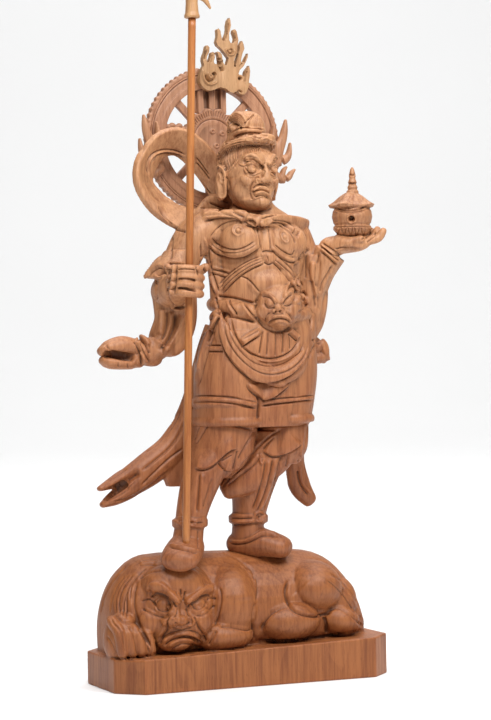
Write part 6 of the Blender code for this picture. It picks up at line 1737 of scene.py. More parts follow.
def add_left_arm(shape):
    """Raised forearm in a wide sleeve, and the knotted end at the hip."""
    shape.limb([
        (29.0, -1.0, 186.6, 6.4, 8.4),
        (31.8, -2.0, 178.0, 6.8, 8.0),
        (34.0, -3.0, 168.0, 8.0, 7.8),
        (34.6, -3.0, 158.0, 7.8, 7.0),
        (34.4, -2.0, 148.0, 6.2, 5.6),
        (34.8, -1.6, 143.0, 3.0, 4.0),
    ], side=(1, 0, 0))
    shape.limb([
        (34.4, -4.0, 162.0, 6.8, 6.8),
        (37.4, -7.5, 171.0, 6.4, 6.6),
        (41.2, -10.5, 178.9, 7.0, 6.8),
    ], side=(1, 0, -0.3), round_ends=False)
    shape.ball((41.6, -0.5, 137.0), (2.7, 3.0, 5.2))
    shape.ball((38.6, -1.0, 134.4), (4.6, 3.0, 2.6))
    shape.ball((37.2, -1.0, 139.6), (3.6, 3.0, 4.0))


def add_left_hand(shape):
    """Open hand, palm up, the fingertips turned up beside the pagoda."""
    shape.limb([
        (40.6, -10.6, 180.8, 5.0, 4.8),
        (44.6, -13.8, 182.0, 6.6, 4.0),
        (49.4, -15.8, 182.2, 7.4, 3.4),
        (53.4, -16.8, 183.6, 6.8, 3.0),
    ], side=(0.4, -0.9, 0))
    for k in range(4):
        out = -5.0 + 3.3 * k
        rise = (0.2, 1.0, 0.6, -0.6)[k]
        shape.limb([
            (52.0 - 0.4 * out, -16.8 + 0.9 * out, 183.4, 1.9, 1.9),
            (56.4 - 0.4 * out, -17.6 + 0.9 * out, 184.6, 1.8, 1.8),
            (58.4 - 0.4 * out, -18.0 + 0.9 * out, 187.4 + rise, 1.5, 1.5),
        ], side=(0, 1, 0), sides=24, steps=3)
    shape.limb([
        (42.6, -15.6, 180.6, 2.0, 2.0),
        (45.6, -19.6, 182.6, 1.9, 1.9),
        (49.6, -22.8, 184.0, 1.7, 1.7),
    ], side=(0, 0, 1), sides=24, steps=3)


def add_scarf(shape):
    """Broad scarf floating in a ring behind the right shoulder."""
    path = [
        (9.0, 11.0, 196.0),
        (3.9, 12.0, 203.6),
        (-6.0, 12.0, 217.6),
        (-17.6, 11.0, 226.4),
        (-29.0, 9.0, 224.0),
        (-36.2, 8.0, 211.6),
        (-32.6, 6.0, 201.6),
        (-24.4, 4.0, 195.2),
        (-15.0, 1.0, 192.0),
    ]
    centre = Vector((-17.0, 9.0, 208.0))
    fine = eased(path, 4)
    rings = []
    for index, spot in enumerate(fine):
        here = Vector(spot)
        ahead = Vector(fine[min(index + 1, len(fine) - 1)]) - Vector(fine[max(index - 1, 0)])
        ahead.normalize()
        out = here - centre
        out.y = 0.0
        out = out - ahead * out.dot(ahead)
        out.normalize()
        flat = out * 0.8 + Vector((0, -0.6, 0))
        flat = flat - ahead * flat.dot(ahead)
        flat.normalize()
        thick = ahead.cross(flat)
        wide = 6.4
        rings.append([
            here + flat * wide + thick * 1.3,
            here + flat * wide * 0.4 + thick * 1.7,
            here - flat * wide * 0.4 + thick * 1.7,
            here - flat * wide + thick * 1.3,
            here - flat * wide - thick * 1.3,
            here - flat * wide * 0.4 - thick * 1.7,
            here + flat * wide * 0.4 - thick * 1.7,
            here + flat * wide - thick * 1.3,
        ])
    shape.skin(rings)
    shape.limb(
        [(3.0, 9.0, 201.0, 4.0, 2.4), (-6.0, 7.0, 199.0, 5.0, 2.4), (-14.0, 3.0, 191.0, 5.0, 2.6)],
        side=(0, 0, 1),
    )


def add_tails(shape):
    """Robe tail blown out to the right, open at its forked end, and the scarf end on the left."""
    shape.limb([
        (-5.0, 5.0, 148.0, 5.0, 5.4),
        (-7.6, 6.0, 138.6, 5.4, 6.0),
        (-11.2, 7.0, 124.0, 5.8, 6.6),
        (-16.6, 8.0, 109.0, 6.0, 7.0),
        (-24.8, 8.0, 97.2, 6.0, 7.2),
        (-35.0, 8.0, 89.6, 5.8, 7.2),
        (-43.6, 8.0, 84.4, 5.4, 6.4),
        (-47.0, 8.0, 82.4, 5.0, 5.6),
    ], side=(0, 1, 0), round_ends=False)
    shape.limb([
        (-40.0, 8.6, 88.6, 5.2, 3.4),
        (-47.0, 8.6, 86.0, 5.0, 3.2),
        (-53.0, 8.4, 83.4, 4.0, 2.2),
        (-57.6, 8.2, 81.6, 2.6, 1.1),
    ], side=(0, 1, 0))
    shape.limb([
        (-40.0, 8.0, 83.4, 5.2, 3.6),
        (-46.0, 8.0, 80.2, 4.8, 3.8),
        (-52.0, 8.0, 77.2, 4.0, 3.0),
        (-56.4, 8.0, 75.0, 2.6, 1.4),
    ], side=(0, 1, 0))
    shape.limb([
        (31.0, 4.0, 118.0, 4.0, 5.0),
        (31.4, 6.0, 104.0, 4.2, 4.6),
        (31.0, 8.0, 90.6, 4.4, 3.8),
        (33.2, 8.0, 79.8, 5.0, 3.0),
        (38.0, 8.0, 73.0, 3.4, 2.2),
    ], side=(0.85, 0, 0.5))


def add_head(shape):
    """Frowning head with a headband and a topknot, turned a little to its left."""
    local = Shells()
    local.ball((0, 1.0, 3.4), (12.0, 13.6, 13.0))
    local.ball((0, 1.4, 10.0), (10.8, 11.6, 8.6))
    local.ball((0, -2.4, -3.6), (10.8, 10.2, 10.8))
    local.ball((0, -4.6, -9.0), (8.2, 7.2, 5.8))
    local.ball((0, -9.2, -11.0), (4.0, 3.0, 3.0))
    for mirror in (-1, 1):
        local.ball((mirror * 4.2, -9.6, 4.6), (4.4, 2.9, 2.4), (0, -mirror * 14, 0))
        local.ball((mirror * 4.5, -10.0, 1.4), (2.4, 1.9, 1.9))
        local.ball((mirror * 5.4, -7.6, -2.6), (4.0, 3.8, 3.6))
        local.ball((mirror * 12.7, 1.4, -3.4), (1.8, 3.7, 7.2), (6, 0, 0))
        local.ball((mirror * 1.8, -12.8, -2.5), (1.8, 1.7, 1.5))
    local.limb([(0, -10.6, 4.4, 1.6, 2.2), (0, -12.4, 0.8, 1.7, 2.2), (0, -13.6, -1.9, 2.0, 1.9)])
    local.ball((0, -9.4, -7.2), (4.4, 3.8, 3.6))
    band = []
    for k in range(25):
        angle = 2 * math.pi * k / 24
        front = -math.sin(angle)
        band.append((11.3 * math.cos(angle), 1.0 - 12.0 * front, 10.6 + 4.6 * front, 1.5, 1.3))
    local.limb(band, side=(0, 0, 1), steps=1, sides=24, round_ends=False)
    local.turned((0, 0.8), [(13, 9.0), (16.4, 8.2), (18.6, 7.6)])
    local.turned((0, 0.6), [(17.0, 7.4), (17.6, 8.3), (19.8, 8.3), (20.4, 7.4)])
    local.ball((0.6, 1.0, 20.8), (7.6, 8.0, 6.9))
    local.ball((-5.4, -1.4, 21.6), (4.2, 6.0, 5.4))
    local.ball((1.6, -11.2, 15.4), (5.0, 1.6, 1.9))
    shape.place(local, head_place())


# The demon and its plinth, which are one block

def add_plinth(shape):
    """Low block with cut corners, its top rising a little to the right."""
    x = PLINTH_LENGTH / 2
    y = PLINTH_DEPTH / 2
    c = PLINTH_CORNER
    outline = [
        (-x + c, -y), (x - c, -y), (x, -y + c), (x, y - c), (x - c, y), (-x + c, y), (-x, y - c),
        (-x, -y + c),
    ]
    rise = (PLINTH_TOP_RIGHT - PLINTH_TOP_LEFT) / PLINTH_LENGTH
    middle = (PLINTH_TOP_RIGHT + PLINTH_TOP_LEFT) / 2
    low = [(a, b, 0.0) for a, b in outline]
    high = [(a, b, middle + rise * a) for a, b in outline]
    shape.skin([low, high])


def add_demon_body(shape):
    """Arched back, the thigh, calf and foot folded at the right, the upper arm and the forearm."""
    tops = [
        (-58, 30, 9), (-57, 37, 13), (-54, 43.8, 16.5), (-50, 48.8, 18.6), (-44, 52.9, 20.4),
        (-34, 54.4, 21.4),
    ]
    tops += [
        (0, 53.8, 21.6), (20, 53.4, 21.4), (32, 52.4, 20.6), (40, 49.8, 19), (46, 45.2, 17.5),
        (51, 39.0, 15.5), (55, 31, 12), (57, 23, 8),
    ]
    local = Shells()
    local.stack([(x, -(top + 6) / 2, 4.0, (top - 6) / 2, deep) for x, top, deep in tops], sides=28, steps=2)
    shape.place(local, Matrix.Rotation(math.radians(90), 4, "Y"))
    shape.ball((30.6, -6.5, 37.4), (13.6, 15.6, 11.6), (0, 8, 0))
    shape.ball((17.0, -13.6, 24.6), (14.0, 10.6, 8.6))
    shape.ball((41.0, -12.0, 23.4), (9.6, 9.4, 6.6), (0, 18, 0))
    shape.ball((42.4, -4.0, 30.6), (10.0, 12.0, 11.4))
    shape.ball((-8.0, -2.0, 32.0), (15.0, 20.6, 18.6))
    shape.ball((-13.0, -15.0, 20.4), (13.0, 8.6, 6.4))
    shape.ball((31.0, 14.0, 34.0), (14.0, 10.0, 12.0))
    shape.ball((20.0, 19.0, 22.0), (13.0, 6.0, 8.0))


def add_demon_head(shape):
    """Large scowling head at the front left, and the fist beside its cheek."""
    local = Shells()
    local.ball((0, 3.0, 2.0), (18.2, 15.0, 18.0))
    local.ball((0, 0.0, -5.0), (15.6, 13.6, 12.6))
    local.ball((0, -4.0, 10.5), (13.0, 8.4, 8.0))
    local.ball((0, -8.6, -12.4), (7.4, 5.0, 4.6))
    for mirror in (-1, 1):
        local.ball((mirror * 9.6, -7.4, -4.6), (6.0, 5.0, 6.4))
        local.ball((mirror * 3.1, -13.8, -3.6), (2.4, 2.2, 2.0))
    local.limb([(0, -11.0, 6.0, 2.4, 2.6), (0, -13.4, 1.0, 2.2, 2.6), (0, -14.8, -3.2, 2.8, 2.6)])
    shape.place(
        local, Matrix.Translation(Vector((-33.2, -9.8, 32.4))) @ Matrix.Rotation(math.radians(-18), 4, "Z"),
    )
    shape.ball((-56.0, -10.0, 22.0), (7.0, 9.0, 10.4), (0, 12, 0))
    for k in range(4):
        x = -60.4 + 4.0 * k
        shape.limb([
            (x, -12.0, 29.0 - 0.9 * k, 2.4, 2.4),
            (x + 1.2, -17.4, 24.5 - 0.6 * k, 2.4, 2.4),
            (x + 2.2, -18.4, 16.4, 2.3, 2.3),
        ], side=(1, 0, 0), sides=24, steps=3)


# Halo, flames, trident and pagoda

def tongue(shape, rows, thick):
    """One flame tongue in front of the ring from rows of (x, z, half width)."""
    rows = [(x, FLAME_Y, z, half, min(thick, half + 0.5)) for x, z, half in rows]
    shape.limb(rows, side=(1, 0, 0.35), sides=24, steps=3)


def halo_place():
    """Where the halo stands: its centre behind the head, turned with the figure's shoulders."""
    return Matrix.Translation(Vector(HALO_CENTRE)) @ Matrix.Rotation(math.radians(HALO_TURN), 4, "Z")


def halo_spot(u, v, y):
    """Where a place in the photograph falls on the halo's plane at a depth y, in the halo's frame."""
    s = math.sin(CAMERA_TURN)
    c = math.cos(CAMERA_TURN)
    focal = LENS / SENSOR * PICTURE[1]
    cr = math.cos(CAMERA_ROLL)
    sr = math.sin(CAMERA_ROLL)
    across = u - PICTURE[0] / 2
    high = v - PICTURE[1] / 2
    right = (across * cr + high * sr) / focal
    down = (high * cr - across * sr) / focal
    start = Vector((c * CAMERA_ASIDE - s * CAMERA_AWAY, -s * CAMERA_ASIDE - c * CAMERA_AWAY, CAMERA_HIGH))
    ahead = Vector((c * right + s, -s * right + c, -down))
    back = halo_place().inverted()
    origin = back @ start
    ray = back.to_3x3() @ ahead
    found = origin + ray * ((y - origin.y) / ray.y)
    return found.x, found.z


def add_halo(shape):
    """Ring with a toothed border, hub, spokes, three bars under the crown, and the stem to the back."""
    half = HALO_THICKNESS / 2
    shape.hoop(HALO_RADIUS - 1.0, HALO_RIM_INNER, -half, half)
    shape.hoop(HALO_RADIUS - 2.2, HALO_RIM_INNER + 6.2, -half - 0.4, half)
    shape.hoop(HALO_RIM_INNER + 2.6, HALO_RIM_INNER, -half - 0.5, half)
    for k in range(HALO_TEETH):
        angle = 2 * math.pi * k / HALO_TEETH
        reach = HALO_RADIUS - 1.3
        shape.ball(
            (reach * math.cos(angle), 0.0, reach * math.sin(angle)), (1.05, half + 0.3, 1.05), segments=12,
        )
    hub = []
    for k in range(48):
        angle = 2 * math.pi * k / 48
        reach = HUB_RADIUS + 0.9 * math.cos(HUB_LOBES * angle)
        hub.append((reach * math.cos(angle), reach * math.sin(angle)))
    shape.slab(hub, -half - 0.6, half)
    for k in range(SPOKES):
        angle = 2 * math.pi * k / SPOKES
        c = math.cos(angle)
        s = math.sin(angle)
        inner = HUB_RADIUS - 2.0
        outer = HALO_RIM_INNER + 2.0
        wide = 1.6
        shape.slab([
            (inner * c + wide * s, inner * s - wide * c),
            (outer * c + wide * s, outer * s - wide * c),
            (outer * c - wide * s, outer * s + wide * c),
            (inner * c - wide * s, inner * s + wide * c),
        ], 0.8 - half, half - 0.4)
    shape.slab([(-7.4, 12.0), (7.4, 12.0), (7.8, 24.6), (-7.8, 24.6)], 0.8, half - 0.2)
    for x in (-5.4, 0.0, 5.4):
        shape.slab([(x - 1.3, 12.0), (x + 1.3, 12.0), (x + 1.3, 24.8), (x - 1.3, 24.8)], 0.4 - half, 1.0)
    for u, v in HALO_FRINGE:
        x, z = halo_spot(u, v, -half)
        shape.ball((x, -half + 0.4, z), (1.5, 1.5, 1.3), segments=16)
    foot = STEM_FOOT_Z - HALO_CENTRE[2]
    shape.slab(
        [(-STEM_HALF, foot), (STEM_HALF, foot), (STEM_HALF, -8.0), (-STEM_HALF, -8.0)], 0.2, half + 0.6,
    )
    front = STEM_SEAT_Y + GAP - HALO_CENTRE[1]
    shape.slab(
        [(-STEM_HALF, foot), (STEM_HALF, foot), (STEM_HALF, foot + 9.0), (-STEM_HALF, foot + 9.0)], front,
        half,
    )


def halo_face(points):
    """The halo seen square from its front: across and down from its centre, in millimetres."""
    place = halo_place()
    local = (points - np.array(place.translation)) @ np.array(place.to_3x3())
    return local[:, 0], -local[:, 2], local[:, 1] + 1000.0


def round_path(reach, count=24):
    return [(
        reach * math.cos(2 * math.pi * k / count), reach * math.sin(2 * math.pi * k / count),
    ) for k in range(count + 1)]


def carve_halo(surface):
    """The hub's fluted rim and sunk disc with its small rings, and the lines round the ring."""
    sight = Sight(surface, halo_face, unit=1.0)
    for reach, width, depth in (
        (HALO_RADIUS - 2.5, 0.3, 0.7), (HALO_RIM_INNER + 5.8, 0.3, 0.4), (HUB_RADIUS - 4.4, 0.35, 0.9),
    ):
        sight.stroke(round_path(reach), width, depth, "groove", taper=0.001)
    for k in range(HUB_FLUTES):
        angle = 2 * math.pi * k / HUB_FLUTES
        reaches = (HUB_RADIUS - 3.6, HUB_RADIUS - 0.4)
        ends = [(reach * math.cos(angle), reach * math.sin(angle)) for reach in reaches]
        sight.stroke(ends, 0.26, 0.6, "groove", taper=0.2)
    sight.boss((0.0, 0.0), HUB_RADIUS - 4.8, 0.8, "well")
    surface.settle()
    sight = Sight(surface, photo_view)
    for u, v in HUB_STUDS:
        sight.stroke(
            [(u + a * 0.42, v + b * 0.42) for a, b in round_path(4.2, 8)], 0.3, 0.6, "ridge", taper=0.001,
        )
    surface.settle()


def add_flame_top(shape):
    """Tall flame with a curled foot over the crown of the ring: the flame's plate, and a second plate of
    the same thickness for the far tongues.
    """
    for outline in (FLAME_PLATE, FLAME_FAR_TONGUES):
        spots = [halo_spot(u, v, FLAME_Y) for u, v in outline]
        shape.slab(spots, FLAME_Y - 1.2, FLAME_BACK)


def add_flame_side(shape, mirror):
    """Smaller flame on one side of the ring."""
    for rows in (
        [
            (26.4, -13.2, 2.0), (28.5, -7.9, 2.8), (30.0, -3.3, 2.6), (32.1, 1.5, 2.0), (33.1, 5.7, 1.5),
            (33.7, 9.6, 0.6),
        ],
        [(29.5, -8.7, 2.2), (33.3, -7.3, 2.0), (35.0, -4.9, 1.4), (35.7, -0.5, 0.6)],
        [(28.5, -5.9, 2.2), (27.4, -0.9, 1.6), (27.2, 2.9, 1.2), (27.9, 6.9, 0.6)],
        [
            (27.2, -13.6, 2.0), (31.2, -16.3, 1.8), (34.5, -15.3, 1.5), (35.9, -13.5, 1.2),
            (37.6, -11.9, 0.6),
        ],
        [(31.2, -15.5, 1.5), (32.3, -12.3, 1.1), (33.6, -10.9, 0.6)],
    ):
        tongue(shape, [(mirror * x, z, half) for x, z, half in rows], 1.8)


def add_trident_head(shape):
    """Socket, middle blade, two curved side prongs and the hook hanging below them."""
    x, y, z = SHAFT_TOP
    shape.turned(
        (x, y), [(z, 3.1), (z + 0.8, 3.3), (z + 2.2, 2.8), (z + 6.0, 2.5), (z + SOCKET_HEIGHT, 2.6)],
        sides=24,
    )
    shape.ball((x, y, z + SOCKET_HEIGHT), (3.2, 2.8, 2.4))
    top = z + SOCKET_HEIGHT + PRONG_HEIGHT
    shape.limb([
        (x, y, z + SOCKET_HEIGHT, 1.8, 1.4),
        (x, y, z + SOCKET_HEIGHT + 9, 2.4, 1.3),
        (x, y, z + SOCKET_HEIGHT + 16, 2.6, 1.1),
        (x, y, top, 0.6, 0.6),
    ], sides=24)
    for mirror in (-1, 1):
        shape.limb([
            (x, y, z + SOCKET_HEIGHT + 1.0, 1.6, 1.4),
            (x + mirror * 5.0, y, z + SOCKET_HEIGHT + 2.4, 1.7, 1.4),
            (x + mirror * 8.8, y, z + SOCKET_HEIGHT + 7.0, 1.6, 1.3),
            (x + mirror * 8.0, y, z + SOCKET_HEIGHT + 14.0, 1.4, 1.1),
            (x + mirror * 7.2, y, z + SOCKET_HEIGHT + 21.0, 0.6, 0.6),
        ], side=(0.7, 0, -0.7), sides=24)
    shape.limb([
        (x + 1.6, y, z + SOCKET_HEIGHT - 1.6, 1.4, 1.2),
        (x + 5.4, y, z + SOCKET_HEIGHT - 2.8, 1.3, 1.1),
        (x + 8.1, y, z + 4.4, 0.5, 0.6),
    ], side=(0.7, 0, 0.7), sides=24)


def add_pagoda(shape):
    """Lotus foot, round body, square roof with raised corners, and a tiered finial."""
    x, y = PAGODA_AXIS
    base = PALM_TOP + GAP
    shape.turned(
        (x, y), [(base, 4.6), (base + 1.2, 6.4), (base + 3.4, 8.2), (base + 4.6, 8.0), (base + 5.2, 7.0)],
        sides=24,
    )
    shape.turned((x, y), [
        (base + 4.4, 6.8),
        (base + 6.0, 8.0),
        (base + 8.6, PAGODA_BODY_RADIUS),
        (base + 11.0, 8.2),
        (base + 13.4, 6.6),
    ], sides=24)
    rings = []
    half = PAGODA_ROOF_HALF
    for z, size, lift in (
        (base + 12.2, half - 0.6, 0.6), (base + 13.2, half, 1.2), (base + 14.6, half - 1.8, 0.8),
        (base + 17.2, 4.2, 0.2), (base + 18.8, 2.2, 0.0),
    ):
        ring = []
        for k in range(16):
            angle = 2 * math.pi * (k + 0.5) / 16
            c = math.cos(angle)
            s = math.sin(angle)
            stretch = 1 / max(abs(c), abs(s))
            corner = (stretch - 1) / 0.414
            ring.append((x - 0.3 + size * c * stretch, y + size * s * stretch, z + lift * corner))
        rings.append(ring)
    shape.skin(rings)
    shape.turned((x + 0.4, y), [
        (base + 18.0, 2.6),
        (base + 19.4, 2.6),
        (base + 20.2, 1.9),
        (base + 21.0, 2.2),
        (base + 22.4, 1.6),
        (base + 23.2, 1.9),
        (base + 24.8, 1.3),
        (base + 26.0, 1.5),
        (base + 28.6, 0.9),
        (base + 29.6, 0.4),
    ], sides=24)




# Woods

class Nodes:
    """Short ways to add shader nodes to one material."""

    def __init__(self, name):
        self.material = bpy.data.materials.new(name)
        self.material.use_nodes = True
        self.tree = self.material.node_tree
        self.shader = self.tree.nodes["Principled BSDF"]

    def add(self, kind, inputs=None, **settings):
        made = self.tree.nodes.new(kind)
        for key, value in settings.items():
            setattr(made, key, value)
        for key, value in (inputs or {}).items():
            self.feed(value, made.inputs[key])
        return made

    def feed(self, value, socket):
        if isinstance(value, bpy.types.NodeSocket):
            self.tree.links.new(value, socket)
        else:
            socket.default_value = value

    def math(self, kind, first, second=0.0, third=0.0):
        return self.add("ShaderNodeMath", {0: first, 1: second, 2: third}, operation=kind).outputs[0]

    def ramp(self, value, low, high, to_low=0.0, to_high=1.0):
        inputs = {"Value": value, "From Min": low, "From Max": high, "To Min": to_low, "To Max": to_high}
        return self.add("ShaderNodeMapRange", inputs, interpolation_type="SMOOTHSTEP").outputs["Result"]

    def mix(self, share, first, second, kind="MIX"):
        made = self.add("ShaderNodeMix", {0: share, 6: first, 7: second}, data_type="RGBA", blend_type=kind)
        return made.outputs[2]

    def noise(self, place, scale, detail=3.0, rough=0.55):
        inputs = {"Vector": place, "Scale": scale, "Detail": detail, "Roughness": rough}
        return self.add("ShaderNodeTexNoise", inputs).outputs["Fac"]

    def stretched(self, place, sizes):
        """The place divided by a size in millimetres along each axis."""
        scale = tuple(1000.0 / size for size in sizes)
        return self.add("ShaderNodeVectorMath", {0: place, 1: scale}, operation="MULTIPLY").outputs[0]


def wood(
    name, light, dark, pore, low=(1, 1, 1), high=(1, 1, 1), roughness=0.5, ring=3.2, heart=(-40.0, 60.0),
):
    """Carved wood: rings round a heart line, streaks, pores, painted shading by height, painted shade in
    hollows, painted highlight on edges.
    """
    nodes = Nodes(name)
    place = nodes.add("ShaderNodeTexCoord").outputs["Object"]
    warp = nodes.noise(nodes.stretched(place, (26, 26, 90)), 1.0, 2.0)
    parts = nodes.add("ShaderNodeSeparateXYZ", {0: place})
    across = nodes.math("SUBTRACT", parts.outputs[0], heart[0] * MM)
    along = nodes.math("SUBTRACT", parts.outputs[1], heart[1] * MM)
    reach = nodes.math(
        "SQRT",
        nodes.math("ADD", nodes.math("MULTIPLY", across, across), nodes.math("MULTIPLY", along, along)),
    )
    turns = nodes.math("MULTIPLY_ADD", reach, 1000.0 / ring, nodes.math("MULTIPLY", warp, 9.0))
    saw = nodes.math("FRACT", turns)
    late = nodes.math("MULTIPLY", nodes.ramp(saw, 0.25, 0.92), nodes.ramp(saw, 0.92, 1.0, 1.0, 0.0))
    streaks = nodes.noise(nodes.stretched(place, (1.1, 1.1, 26)), 1.0, 4.0, 0.6)
    broad = nodes.noise(nodes.stretched(place, (9, 9, 60)), 1.0, 2.0)
    fibres = nodes.noise(nodes.stretched(place, (0.28, 0.28, 5.0)), 1.0, 2.0, 0.6)
    pores = nodes.ramp(nodes.noise(nodes.stretched(place, (0.34, 0.34, 3.2)), 1.0, 1.0, 0.5), 0.60, 0.72)
    tone = nodes.math(
        "MULTIPLY_ADD", nodes.ramp(streaks, 0.3, 0.7), 0.42, nodes.math("MULTIPLY", late, 0.16),
    )
    tone = nodes.math("ADD", tone, nodes.math("MULTIPLY", nodes.ramp(broad, 0.35, 0.7), 0.26))
    tone = nodes.math("MULTIPLY_ADD", fibres, 0.22, tone)
    colour = nodes.mix(nodes.ramp(tone, 0.1, 1.05), (*light, 1), (*dark, 1))
    colour = nodes.mix(nodes.math("MULTIPLY", pores, 0.26), colour, (*pore, 1))
    # Painted shading by height: darker low down and lighter higher up, as the light falls from above
    painted_height_shading = nodes.mix(nodes.ramp(parts.outputs[2], 0.085, 0.21), (*low, 1), (*high, 1))
    colour = nodes.mix(1.0, colour, painted_height_shading, "MULTIPLY")
    hollow = nodes.add("ShaderNodeAttribute", attribute_name="hollow").outputs["Fac"]
    # Painted shade: grooves are darkened towards the pore colour
    colour = nodes.mix(nodes.ramp(hollow, 0.04, 0.8, 0.0, 0.66), colour, (*[c * 0.9 for c in pore], 1))
    # Painted highlight: edges are lightened
    painted_edge_highlight = nodes.mix(1.0, colour, (1.16, 1.13, 1.1, 1), "MULTIPLY")
    colour = nodes.mix(nodes.ramp(hollow, -0.05, -0.6, 0.0, 0.65), colour, painted_edge_highlight)
    nodes.feed(colour, nodes.shader.inputs["Base Color"])
    rough = nodes.math("MULTIPLY_ADD", streaks, 0.16, roughness - 0.08)
    nodes.feed(
        nodes.math("ADD", rough, nodes.math("MULTIPLY", pores, 0.1)), nodes.shader.inputs["Roughness"],
    )
    height = nodes.math("SUBTRACT", nodes.math("MULTIPLY", fibres, 0.5), nodes.math("MULTIPLY", pores, 0.5))
    bump = nodes.add("ShaderNodeBump", {"Strength": 0.35, "Distance": 0.00012, "Height": height})
    nodes.feed(bump.outputs[0], nodes.shader.inputs["Normal"])
    nodes.shader.inputs["Specular IOR Level"].default_value = 0.4
    return nodes.material


WOODS = {
    # The figure's low and high colours paint shading by height: darker low down, lighter higher up
    "figure": wood("figure_wood", (0.50, 0.225, 0.095), (0.28, 0.10, 0.038), (0.06, 0.019, 0.007),
                   low=(0.64, 0.50, 0.42), high=(1.0, 1.13, 1.27)),
    "demon": wood(
        "demon_wood", (0.335, 0.116, 0.035), (0.18, 0.05, 0.014), (0.06, 0.018, 0.006), ring=3.6,
        heart=(50.0, 70.0),
    ),
    "halo": wood(
        "halo_wood", (0.45, 0.225, 0.125), (0.26, 0.11, 0.056), (0.06, 0.021, 0.01), heart=(20.0, 160.0),
    ),
    "flame": wood(
        "flame_wood", (0.46, 0.265, 0.13), (0.31, 0.15, 0.063), (0.13, 0.055, 0.018), ring=2.6,
        heart=(30.0, 90.0),
    ),
    "side": wood(
        "side_flame_wood", (0.46, 0.23, 0.12), (0.28, 0.12, 0.055), (0.08, 0.027, 0.012), ring=2.6,
        heart=(30.0, 90.0),
    ),
    "shaft": wood(
        "shaft_wood", (0.46, 0.18, 0.055), (0.26, 0.075, 0.02), (0.10, 0.026, 0.008), roughness=0.36,
        ring=1.6,
    ),
    "trident": wood(
        "trident_wood", (0.49, 0.28, 0.13), (0.33, 0.16, 0.07), (0.16, 0.06, 0.022), roughness=0.42,
        ring=2.2,
    ),
    "pagoda": wood(
        "pagoda_wood", (0.46, 0.225, 0.105), (0.26, 0.10, 0.044), (0.07, 0.023, 0.009), ring=2.8,
    ),
}


# Pieces

# The back isn't in the photograph: its folds are spread evenly, in millimetres
FOLDS_BEHIND = 9
SKIRT_FOLD_STEP = 5.5
HEM_FOLD_STEP = 6.5
BELT_LINES_BEHIND = (148, 152, 158, 162)
SHOULDER_FOLDS = (-12, -4, 5, 13)
HAIR_STRANDS_BEHIND = 30

def make_demon():
    shape = Shells()
    for add in (add_plinth, add_demon_body, add_demon_head):
        add(shape)
    surface = shape.fuse("demon_plinth_carving", voxel=0.36, rounds=5)
    carve(surface, DEMON_FORMS, DEMON_FACE, DEMON_EDGES, deep=0.8)
    surface.finish("demon_plinth_carving", 185000, WOODS["demon"], "demon_wood", nodes=["demon_plinth"])


def make_figure():
    shape = Shells()
    for add in (
        add_trunk, add_belt, add_skirt, add_right_arm, add_right_hand, add_left_arm, add_left_hand,
        add_scarf,
    ):
        add(shape)
    surface = shape.fuse("figure_carving", voxel=0.3, rounds=8)
    carve(surface, TRUNK_FORMS, TRUNK_EDGES, BELT_EDGES, ARM_EDGES, CUFF_EDGES, SCARF_EDGES, deep=1.1)
    carve(surface, MASK_EDGES, TRUNK_POINTS, MASK_POINTS, deep=0.8)
    behind = Sight(surface, plain_view(180), unit=1.0)
    for k in range(FOLDS_BEHIND):
        x = (k - (FOLDS_BEHIND - 1) / 2) * SKIRT_FOLD_STEP
        behind.stroke([(0.8 * x, -146), (x, -128), (1.15 * x, -108), (1.3 * x, -90)], 1.0, 0.9, "groove")
    for high in BELT_LINES_BEHIND:
        behind.stroke([(-24, -high), (0, 3 - high), (24, -high)], 0.5, 1.0, "groove")
    for x in SHOULDER_FOLDS:
        behind.stroke([(0.6 * x, -204), (x, -190), (1.2 * x, -172)], 0.9, 0.8, "groove")
    surface.settle()
    surface.finish("figure_carving", 195000, WOODS["figure"], "figure_wood", nodes=["figure"])


def make_legs():
    shape = Shells()
    for add in (add_hems, add_legs, add_tails):
        add(shape)
    surface = shape.fuse("legs_carving", voxel=0.32, rounds=6)
    carve(surface, LEG_EDGES, TAIL_EDGES, deep=0.85)
    behind = Sight(surface, plain_view(180), unit=1.0)
    for k in range(FOLDS_BEHIND):
        x = (k - (FOLDS_BEHIND - 1) / 2) * HEM_FOLD_STEP
        behind.stroke([(0.9 * x, -112), (x, -98), (1.1 * x, -80)], 1.0, 0.9, "groove")
    surface.settle()
    surface.finish("legs_carving", 130000, WOODS["figure"], "figure_wood", nodes=["figure"])


def make_head():
    shape = Shells()
    add_head(shape)
    surface = shape.fuse("head_carving", voxel=0.17, rounds=16)
    halves = head_halves(surface)
    carve(surface, FACE_FORMS, FACE_EDGES, views=halves)
    for view, share in halves:
        Sight(surface, view, share=share).comb(HAIR_TOP, HAIR_FOOT, HAIR_STRANDS, 0.34, 1.3, -1.5)
    surface.settle()
    carve(surface, MOUTH_EDGES, HEAD_EDGES)
    sight = Sight(surface, photo_view)
    sight.sweep(CURL_OUTER, CURL_INNER, CURL_STRANDS, 0.32, 0.9)
    sight.sweep(DOME_FIRST, DOME_LAST, DOME_STRANDS, 0.26, 0.3)
    surface.settle()
    x = -HEAD_CENTRE[0]
    z = -HEAD_CENTRE[2]
    behind = Sight(surface, plain_view(180), unit=1.0)
    behind.comb(
        [(x - 11, z - 6), (x, z - 8), (x + 11, z - 6)], [
            (x - 9, z + 8), (x, z + 11), (x + 9, z + 8),
        ], HAIR_STRANDS_BEHIND,
        0.4, 0.9,
    )
    behind.stroke([(x - 12, z - 7), (x, z - 9.5), (x + 12, z - 7)], 0.5, 1.0, "groove")
    surface.settle()
    surface.finish("head_carving", 185000, WOODS["figure"], "figure_wood", nodes=["figure"])


def make_halo():
    shape = Shells()
    local = Shells()
    add_halo(local)
    shape.place(local, halo_place())
    surface = shape.fuse("halo_carving", voxel=0.26, rounds=2)
    carve_halo(surface)
    surface.finish("halo_carving", 110000, WOODS["halo"], "halo_wood", nodes=["halo"])


